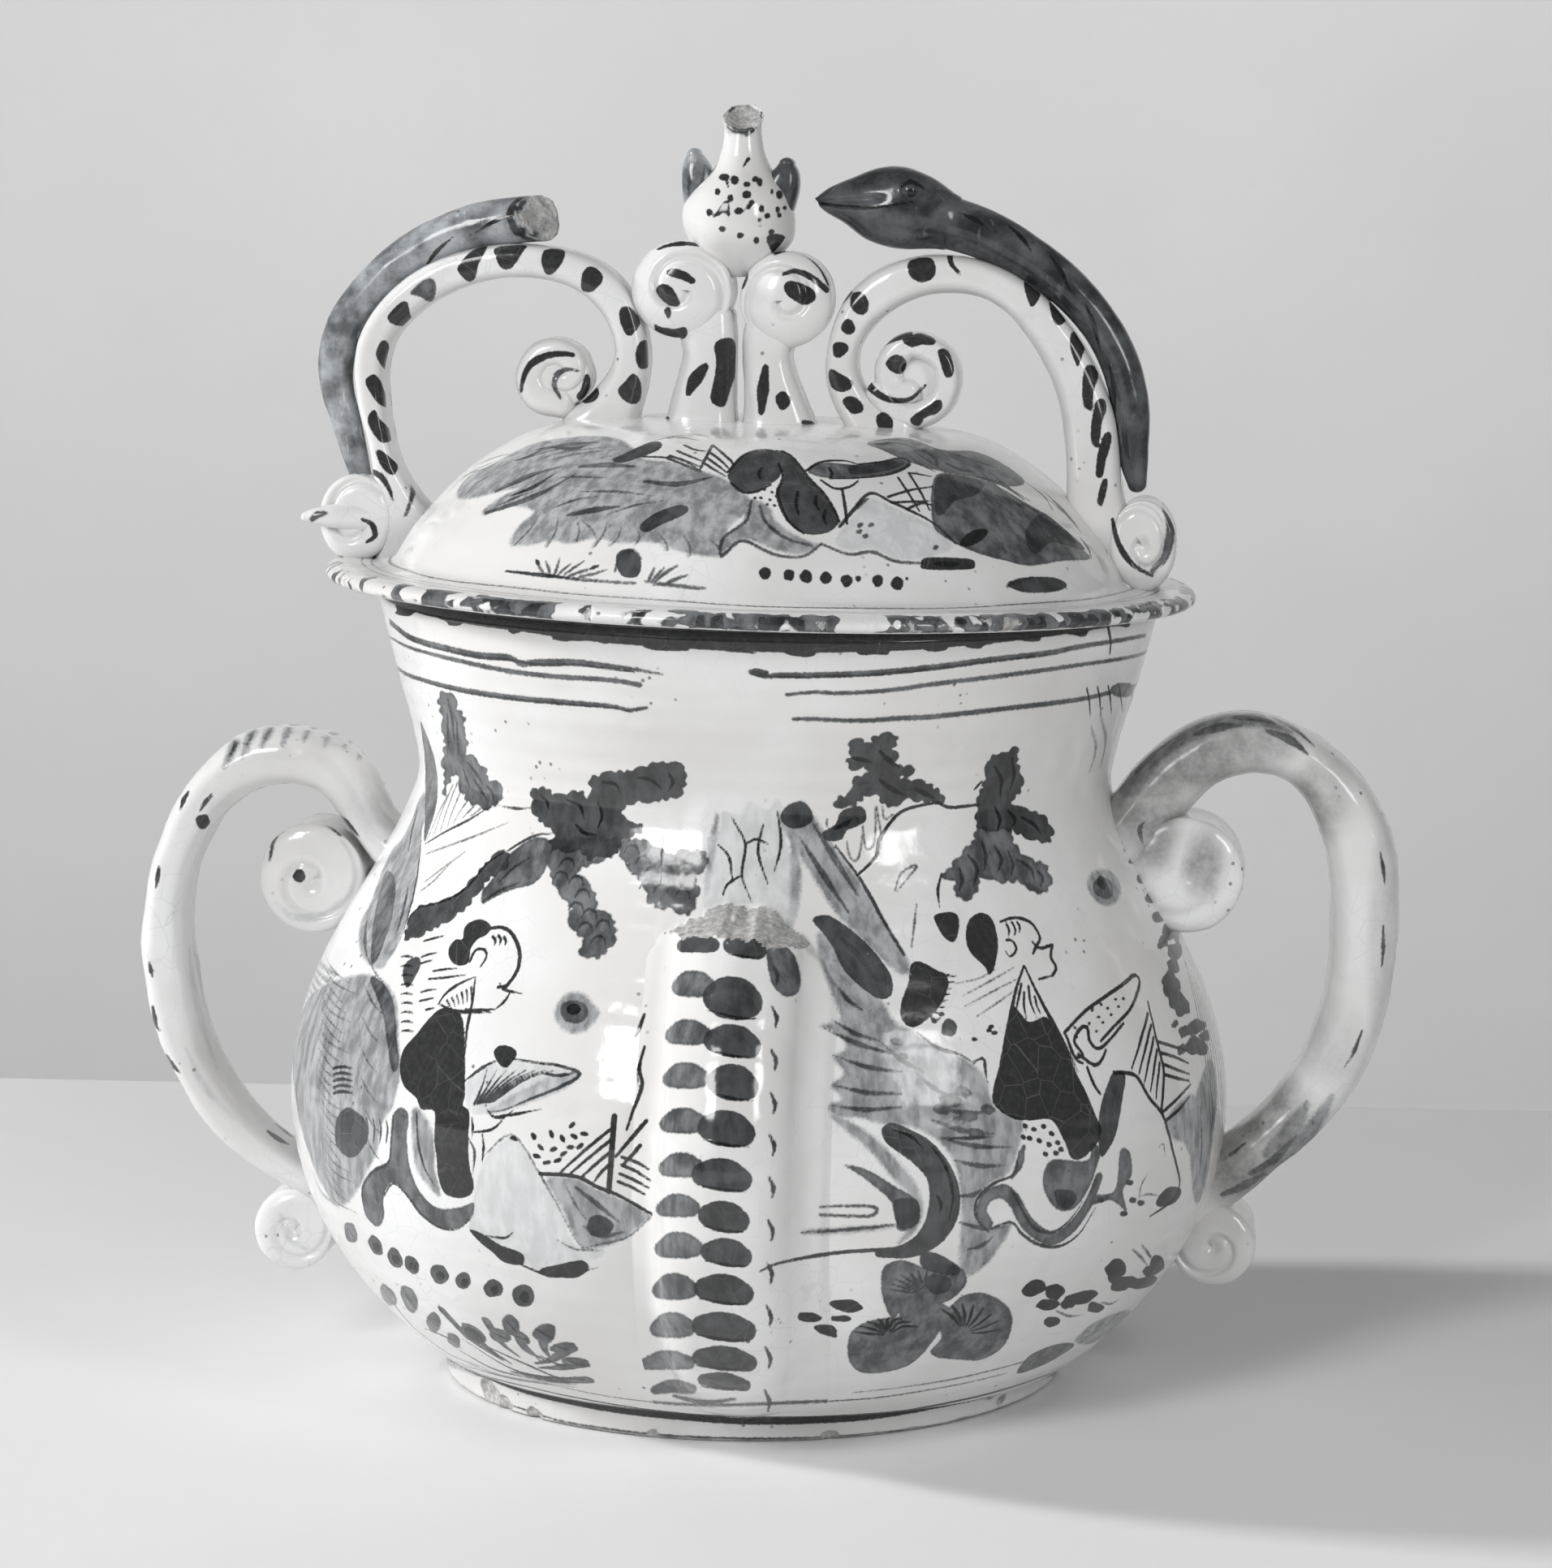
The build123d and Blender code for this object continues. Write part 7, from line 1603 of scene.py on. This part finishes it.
def build_bird(mat, dark, lit_smoky):
    st = curve_through([(z, x, rx, y, ry) for z, x, rx, y, ry in BIRD_STATIONS], 110)
    t = np.linspace(0, 2 * math.pi, 120, endpoint=False)
    rings = []
    for z, x, rx, y, ry in st:
        rings.append(np.column_stack([x + rx * np.cos(t), y + ry * np.sin(t), np.full(120, z)]))
    # the neck's break: a rough hollow face
    top = rings[-1].mean(0)
    for k in (0.92, 0.84, 0.75, 0.66, 0.56, 0.46, 0.36, 0.25, 0.13):
        rings.append(top + (rings[len(st) - 1] - top) * k)
    v, q = close_rings(rings)
    # cut to a sloping face that looks forward, with a raised lip and a rough hollow inside
    face = 247.2 + 0.60 * (v[:, 1] + 1.2) - 0.05 * (v[:, 0] + 1.7)
    rad = np.hypot((v[:, 0] + 1.7) / 3.8, (v[:, 1] + 1.2) / 4.1)
    rough = lattice_noise(v, 1.5, 71) * 0.35 + lattice_noise(v, 0.7, 79) * 0.18
    hollow = 0.9 * (1 - smoothstep(rad, 0.25, 0.85))
    over = v[:, 2] > face - 0.3
    v[:, 2] = np.where(over, np.minimum(v[:, 2], face) - np.where(v[:, 2] > face, hollow - rough * (1 - hollow * 0.2), 0.0) * 1.0, v[:, 2])

    def ext(vv, n, f):
        d = 247.2 + 0.60 * (vv[:, 1] + 1.2) - 0.05 * (vv[:, 0] + 1.7) - vv[:, 2]
        f["bare"] = np.minimum(f["bare"], np.where(vv[:, 2] > 242, np.maximum(d - 1.3, np.hypot((vv[:, 0] + 1.7) / 3.8, (vv[:, 1] + 1.2) / 4.1) * 4.0 - 3.6) + lattice_noise(vv, 1.4, 72) * 0.4, FAR))
        ring_d = np.abs(d - 0.5 + lattice_noise(vv, 1.8, 80) * 0.6) - 0.45
        f["mid"] = np.minimum(f["mid"], np.where((vv[:, 2] > 242) & (lattice_noise(vv, 2.4, 81) > -0.25), ring_d, FAR))
    clay_piece("bird_trunk", (v, q), "lid", ["bird_body"], mat, STROKES["bird"], -14, 0.14, ext, 72, 9.5)
    lw = ribbon([(-8.6, 228.4, 3.9, 4.4), (-9.5, 231.6, 3.8, 4.5), (-10.4, 235.0, 3.4, 4.5), (-11.1, 238.2, 2.6, 4.0), (-11.4, 240.2, 1.5, 3.0)], 0.3, 56, 2.8)
    clay_piece("bird_left_wing_lobe", lw, "lid", ["bird_left_wing"], lit_smoky, STROKES["wings"], -6, 0.14, None, 73, 9.0)
    rw = ribbon([(3.8, 228.2, 3.8, 4.4), (4.9, 231.4, 3.8, 4.5), (6.0, 234.4, 3.4, 4.5), (6.6, 236.6, 2.6, 4.0), (6.8, 238.3, 1.5, 3.0)], 0.3, 56, 2.8)
    clay_piece("bird_right_wing_lobe", rw, "lid", ["bird_right_wing"], dark, STROKES["wings"], -6, 0.14, None, 74, 9.0)


# ------------------------------------------------------------------------------------------------ glazes
class Nodes:
    def __init__(self, name):
        self.mat = bpy.data.materials.new(name)
        self.mat.use_nodes = True
        self.t = self.mat.node_tree
        self.t.nodes.clear()
        self.out = self.t.nodes.new("ShaderNodeOutputMaterial")
        self.bsdf = self.t.nodes.new("ShaderNodeBsdfPrincipled")
        self.t.links.new(self.bsdf.outputs[0], self.out.inputs[0])
        self.coord = self.t.nodes.new("ShaderNodeTexCoord").outputs["Object"]

    def link(self, a, b):
        self.t.links.new(a, b)

    def put(self, sock, val):
        if isinstance(val, (int, float)):
            sock.default_value = val
        elif isinstance(val, tuple):
            sock.default_value = val if len(val) == 4 or not hasattr(sock.default_value, "__len__") or len(sock.default_value) == 3 else (*val, 1.0)
        else:
            self.link(val, sock)

    def math(self, op, a, b=0.0, c=None, clamp=False):
        n = self.t.nodes.new("ShaderNodeMath")
        n.operation, n.use_clamp = op, clamp
        self.put(n.inputs[0], a)
        self.put(n.inputs[1], b)
        if c is not None:
            self.put(n.inputs[2], c)
        return n.outputs[0]

    def attr(self, name):
        n = self.t.nodes.new("ShaderNodeAttribute")
        n.attribute_name = name
        return n.outputs["Fac"]

    def noise(self, scale, detail=3.0, rough=0.5, stretch=None, distort=0.0):
        n = self.t.nodes.new("ShaderNodeTexNoise")
        n.inputs["Scale"].default_value = scale
        n.inputs["Detail"].default_value = detail
        n.inputs["Roughness"].default_value = rough
        n.inputs["Distortion"].default_value = distort
        if stretch:
            m = self.t.nodes.new("ShaderNodeMapping")
            m.inputs["Scale"].default_value = stretch
            self.link(self.coord, m.inputs[0])
            self.link(m.outputs[0], n.inputs["Vector"])
        else:
            self.link(self.coord, n.inputs["Vector"])
        return n.outputs["Fac"]

    def cells(self, scale, feature="F1", rand=1.0):
        n = self.t.nodes.new("ShaderNodeTexVoronoi")
        n.feature = feature
        n.inputs["Scale"].default_value = scale
        n.inputs["Randomness"].default_value = rand
        self.link(self.coord, n.inputs["Vector"])
        return n.outputs["Distance"]

    def ramp(self, x, a, b, lo=0.0, hi=1.0):
        n = self.t.nodes.new("ShaderNodeMapRange")
        n.interpolation_type = "SMOOTHSTEP"
        self.put(n.inputs["Value"], x)
        n.inputs["From Min"].default_value, n.inputs["From Max"].default_value = a, b
        n.inputs["To Min"].default_value, n.inputs["To Max"].default_value = lo, hi
        return n.outputs[0]

    def mix(self, fac, a, b, mode="MIX"):
        n = self.t.nodes.new("ShaderNodeMix")
        n.data_type, n.blend_type = "RGBA", mode
        self.put(n.inputs[0], fac)
        for i, v in ((6, a), (7, b)):
            if isinstance(v, tuple):
                n.inputs[i].default_value = (*v, 1.0)
            else:
                self.link(v, n.inputs[i])
        return n.outputs[2]

    def mask(self, name, jitter, amp=0.18, soft=0.13):
        """1 where a brushed shape covers, from its signed distance in mm, with a brush-ragged edge."""
        d = self.math("ADD", self.attr(name), self.math("MULTIPLY", self.math("SUBTRACT", jitter, 0.5), amp * 2))
        return self.ramp(d, soft, -soft)

    def bump(self, height, dist, strength=1.0, prev=None):
        n = self.t.nodes.new("ShaderNodeBump")
        n.inputs["Distance"].default_value = dist
        n.inputs["Strength"].default_value = strength
        self.put(n.inputs["Height"], height)
        if prev is not None:
            self.link(prev, n.inputs["Normal"])
        return n.outputs[0]


def grey(v, warm=0.0):
    return (v * (1 + warm), v, v * (1 - warm))


def painted_glaze(name, base=0.80, dark=False, grime_and_shade_amount=1.0, lift=1.0):
    m = Nodes(name)
    big = m.noise(28.0, 3.0, 0.55)
    mid = m.noise(140.0, 4.0, 0.6)
    fine = m.noise(900.0, 3.0, 0.6)
    jit = m.noise(1500.0, 2.0, 0.6)
    streak = m.noise(420.0, 3.0, 0.6, (1.0, 1.0, 0.35))
    # white tin glaze: a little thinner and greyer in places
    if not dark:
        white = m.mix(m.ramp(big, 0.3, 0.75), grey(base * 0.90, 0.012), grey(base * 1.03, -0.004))
        white = m.mix(m.math("MULTIPLY", m.ramp(mid, 0.58, 0.78), 0.16), white, grey(base * 0.62, 0.01))
    else:
        white = m.mix(m.ramp(mid, 0.32, 0.72), grey(0.026 * lift, -0.08), grey(0.115 * lift, -0.06))
        white = m.mix(m.math("MULTIPLY", m.ramp(streak, 0.60, 0.74), 0.55 if lift < 2 else 0.8), white, grey(0.19 * lift, -0.03))
        white = m.mix(m.math("MULTIPLY", m.ramp(fine, 0.60, 0.80), 0.5), white, grey(0.018 * lift, -0.08))
    col = white
    # thin wash, streaky
    wash_m = m.mask("wash", jit, 0.5, 0.55)
    wash_col = m.mix(m.ramp(streak, 0.32, 0.68), grey(0.15, -0.05), grey(0.40, -0.03))
    col = m.mix(m.math("MULTIPLY", wash_m, 0.90), col, wash_col)
    pale_m = m.mask("pale", jit, 0.4, 0.4)
    col = m.mix(m.math("MULTIPLY", pale_m, 0.5), col, m.mix(m.ramp(streak, 0.35, 0.7), grey(0.44, -0.03), grey(0.66, -0.02)))
    # middle tone: mottled
    mid_m = m.mask("mid", jit, 0.28, 0.22)
    edge = m.ramp(m.attr("mid"), -0.85, -0.05)
    mot = m.math("ADD", m.math("MULTIPLY", mid, 0.55), m.math("MULTIPLY", streak, 0.45))
    mid_col = m.mix(m.ramp(mot, 0.38, 0.64), grey(0.036, -0.07), grey(0.185, -0.05))
    mid_col = m.mix(m.math("MULTIPLY", edge, 0.5), mid_col, grey(0.032, -0.07))
    col = m.mix(m.math("MULTIPLY", mid_m, 0.96), col, mid_col)
    deep_m = m.mask("deep", jit, 0.20, 0.15)
    deep_col = m.mix(m.ramp(mot, 0.36, 0.66), grey(0.016, -0.07), grey(0.070, -0.05))
    col = m.mix(m.math("MULTIPLY", deep_m, 0.97), col, deep_col)
    ink_m = m.mask("ink", jit, 0.17, 0.13)
    ink_col = m.mix(m.ramp(fine, 0.35, 0.8), grey(0.004, -0.08), grey(0.022, -0.06))
    ink_col = m.mix(m.math("MULTIPLY", m.ramp(mid, 0.57, 0.74), 0.4), ink_col, grey(0.06, -0.05))
    col = m.mix(m.math("MULTIPLY", ink_m, 0.97), col, ink_col)
    # soft grey: staining on the handles, and painted shade in the joins of handles, rolls and loop feet with the body
    # and lid
    grime_and_shade_f = m.math("MULTIPLY", m.attr("grime"), m.ramp(mid, 0.15, 0.75, 0.4, 1.0), clamp=True)
    col = m.mix(m.math("MULTIPLY", grime_and_shade_f, 0.62 * grime_and_shade_amount), col, m.mix(m.ramp(fine, 0.35, 0.7), grey(0.085, 0.01), grey(0.20, 0.01)))
    # pinholes and craze
    pin = m.cells(330.0)
    keep = m.noise(60.0, 2.0)
    pins = m.math("MULTIPLY", m.ramp(pin, 0.16, 0.09), m.ramp(keep, 0.56, 0.64))
    col = m.mix(m.math("MULTIPLY", pins, 0.75), col, grey(0.07, 0.01))
    craze = m.cells(190.0, "DISTANCE_TO_EDGE")
    craze_f = m.math("MULTIPLY", m.ramp(craze, 0.020, 0.006), m.ramp(big, 0.45, 0.70, 0.0, 0.20))
    if not dark:
        col = m.mix(craze_f, col, grey(0.30, 0.01))
    # bare clay where the glaze is lost
    bare_m = m.mask("bare", jit, 0.35, 0.16)
    clay = m.mix(m.ramp(fine, 0.3, 0.75), grey(0.30, 0.012), grey(0.60, 0.012))
    clay = m.mix(m.math("MULTIPLY", m.ramp(mid, 0.52, 0.75), 0.6), clay, grey(0.13, 0.01))
    rim = m.ramp(m.math("ABSOLUTE", m.attr("bare")), 0.35, 0.05)
    col = m.mix(bare_m, col, clay)
    col = m.mix(m.math("MULTIPLY", rim, 0.35), col, grey(0.25, 0.01))
    m.link(col, m.bsdf.inputs["Base Color"])
    r0 = m.ramp(big, 0.3, 0.8, 0.11, 0.20) if not dark else m.ramp(mid, 0.3, 0.8, 0.12, 0.26)
    rough = m.math("ADD", r0, m.math("MULTIPLY", bare_m, 0.62), clamp=True)
    rough = m.math("ADD", rough, m.math("MULTIPLY", grime_and_shade_f, 0.12), clamp=True)
    m.link(rough, m.bsdf.inputs["Roughness"])
    m.bsdf.inputs["IOR"].default_value = 1.52
    m.bsdf.inputs["Coat Weight"].default_value = 0.0
    # relief: soft undulation of the glaze, a faint step at brushwork, pits
    soft = m.math("ADD", m.math("MULTIPLY", m.noise(75.0, 2.0, 0.4), 1.0), m.math("MULTIPLY", m.noise(300.0, 2.0, 0.5), 0.22))
    n1 = m.bump(soft, 0.00042, 0.75)
    h = m.math("ADD", m.math("MULTIPLY", ink_m, 0.25), m.math("MULTIPLY", pins, -1.0))
    h = m.math("ADD", h, m.math("MULTIPLY", bare_m, m.math("ADD", m.math("MULTIPLY", m.noise(1600.0, 4.0, 0.7), 3.0), -3.0)))
    n2 = m.bump(h, 0.00006, 0.8, n1)
    m.link(n2, m.bsdf.inputs["Normal"])
    return m.mat


def plain_glaze(name, base=0.78):
    m = Nodes(name)
    big, mid, fine = m.noise(30.0, 3.0), m.noise(160.0, 4.0), m.noise(1400.0, 4.0, 0.7)
    col = m.mix(m.ramp(big, 0.3, 0.75), grey(base * 0.86, 0.02), grey(base * 1.02, 0.0))
    geo = m.t.nodes.new("ShaderNodeNewGeometry")
    sep = m.t.nodes.new("ShaderNodeSeparateXYZ")
    m.link(m.coord, sep.inputs[0])
    # the rim's seat is wiped bare and rubbed grey
    worn = m.math("MULTIPLY", m.ramp(mid, 0.48, 0.62), 0.65)
    col = m.mix(worn, col, m.mix(fine, grey(0.26, 0.05), grey(0.46, 0.05)))
    pins = m.math("MULTIPLY", m.ramp(m.cells(300.0), 0.16, 0.09), m.ramp(m.noise(70.0, 2.0), 0.5, 0.6))
    col = m.mix(m.math("MULTIPLY", pins, 0.8), col, grey(0.08, 0.05))
    m.link(col, m.bsdf.inputs["Base Color"])
    m.link(m.math("ADD", m.ramp(big, 0.3, 0.8, 0.14, 0.24), m.math("MULTIPLY", worn, 0.4)), m.bsdf.inputs["Roughness"])
    m.link(m.bump(m.math("ADD", m.noise(90.0, 3.0), m.math("MULTIPLY", pins, -0.4)), 0.0003, 0.7), m.bsdf.inputs["Normal"])
    m.bsdf.inputs["IOR"].default_value = 1.52
    return m.mat


def surface(name, lo, hi, scale, rough, bump):
    m = Nodes(name)
    a, b = m.noise(scale, 4.0, 0.6), m.noise(scale * 40, 3.0, 0.6)
    col = m.mix(m.ramp(a, 0.3, 0.7), grey(lo), grey(hi))
    col = m.mix(m.math("MULTIPLY", m.ramp(b, 0.4, 0.7), 0.04), col, grey(lo * 0.9))
    m.link(col, m.bsdf.inputs["Base Color"])
    m.bsdf.inputs["Roughness"].default_value = rough
    m.bsdf.inputs["Specular IOR Level"].default_value = 0.25
    m.link(m.bump(b, bump, 0.3), m.bsdf.inputs["Normal"])
    return m.mat


# ------------------------------------------------------------------------------------------------ build
glaze = painted_glaze("tin_glaze_painted", 0.80)
handle_glaze = painted_glaze("tin_glaze_handles", 0.79, False, 1.35)
foot_glaze = painted_glaze("tin_glaze_foot", 0.72)
dark_glaze = painted_glaze("smoky_glaze", 0.8, True)
# a four times lighter copy of the smoky glaze, painted light for the left-hand pieces on the lamp's side: the left
# serpent and the bird's left wing
smoky_glaze_lit_copy = painted_glaze("smoky_glaze_painted_lit", 0.8, True, 1.0, 4.0)
flange_glaze = plain_glaze("tin_glaze_plain")

build_pot(glaze)
build_foot(foot_glaze)
build_spout(glaze)
build_lid(glaze)
build_straps(handle_glaze)
build_serpents(dark_glaze, smoky_glaze_lit_copy)
build_centre(handle_glaze)
build_bird(handle_glaze, dark_glaze, smoky_glaze_lit_copy)

flange = nodes["lid_locating_flange"]
flange.data.materials.clear()
flange.data.materials.append(flange_glaze)
for _p in flange.data.polygons:
    _p.use_smooth = True

# ------------------------------------------------------------------------------------------------ stage: table, wall, sheets of light
def slab_object(name, corners_mm, thick, material, cuts=1):
    """A flat sheet with thickness from four corners, going round."""
    c = np.array(corners_mm, float)
    nrm = np.cross(c[1] - c[0], c[3] - c[0])
    nrm /= np.linalg.norm(nrm)
    v = np.vstack([c, c - nrm * thick])
    q = np.array([[0, 1, 2, 3], [7, 6, 5, 4], [0, 4, 5, 1], [1, 5, 6, 2], [2, 6, 7, 3], [3, 7, 4, 0]])
    me = bpy.data.meshes.new(name)
    me.from_pydata([tuple(x) for x in v / 1000.0], [], [tuple(int(a) for a in f) for f in q])
    me.update()
    o = bpy.data.objects.new(name, me)
    bpy.context.scene.collection.objects.link(o)
    me.materials.append(material)
    o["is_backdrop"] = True
    return o


table_mat = surface("table_paper", 0.83, 0.87, 3.0, 0.62, 0.00005)
wall_mat = surface("wall_paper", 0.57, 0.61, 2.0, 0.85, 0.00005)
T_BACK = 268.0
slab_object("table", [(-1900, -1500, -0.05), (1900, -1500, -0.05), (1900, T_BACK, -0.05), (-1900, T_BACK, -0.05)], 20.0, table_mat)
# the wall stands well behind the table's edge, so that the pot can be walked round
slab_object("wall", [(-3600, 1700, -1000), (3600, 1700, -1000), (3600, 1700, 2600), (-3600, 1700, 2600)], 20.0, wall_mat)


def area(name, loc_mm, target_mm, size_x, size_y, power, spread=math.pi):
    li = bpy.data.lights.new(name, "AREA")
    li.shape, li.size, li.size_y, li.energy = "RECTANGLE", size_x / 1000.0, size_y / 1000.0, power
    li.spread = spread
    o = bpy.data.objects.new(name, li)
    bpy.context.scene.collection.objects.link(o)
    loc, tgt = Vector(loc_mm) / 1000.0, Vector(target_mm) / 1000.0
    o.location = loc
    o.rotation_euler = (tgt - loc).to_track_quat("-Z", "Y").to_euler()
    o.visible_camera = False
    o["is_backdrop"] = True
    return o


key = area("key_left", (-2000, 30, 900), (0, 0, 90), 240, 240, 36.0)
key.visible_glossy = False
area("window_right", (775, -675, 522), (0, 0, 110), 210, 420, 2.8)
area("front_left", (-600, -1240, 830), (0, 0, 110), 380, 560, 10.5)
area("wall_wash", (150, 700, 1500), (0, 1700, -200), 2400, 400, 9.0, 1.4)

world = bpy.data.worlds.new("studio")
bpy.context.scene.world = world
world.use_nodes = True
world.node_tree.nodes["Background"].inputs[0].default_value = (0.9, 0.9, 0.9, 1.0)
world.node_tree.nodes["Background"].inputs[1].default_value = 0.17

cam_data = bpy.data.cameras.new("camera")
cam_data.lens = F / 1932.0 * 36.0
cam_data.sensor_fit = "VERTICAL"
cam_data.sensor_height = 36.0
cam_data.sensor_width = 36.0
cam_data.clip_start, cam_data.clip_end = 0.05, 20.0
cam = bpy.data.objects.new("camera", cam_data)
bpy.context.scene.collection.objects.link(cam)
cam.matrix_world = Matrix(((C_R[0], C_U[0], -C_F[0], CAM[0] / 1000), (C_R[1], C_U[1], -C_F[1], CAM[1] / 1000), (C_R[2], C_U[2], -C_F[2], CAM[2] / 1000), (0, 0, 0, 1)))
bpy.context.scene.camera = cam

view = bpy.context.scene.view_settings
view.view_transform = "Standard"
view.look = "None"
view.exposure = 0.0
view.gamma = 1.0

VISUAL_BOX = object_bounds()


def plain(b):
    if isinstance(b, dict):
        return {str(k): plain(x) for k, x in b.items()}
    if isinstance(b, (list, tuple)) or hasattr(b, "__len__") and not isinstance(b, str):
        return [plain(x) for x in b]
    return float(b) if isinstance(b, (int, float)) or hasattr(b, "__float__") else str(b)


{"cad": plain(CAD_BOX), "visual": plain(VISUAL_BOX)}
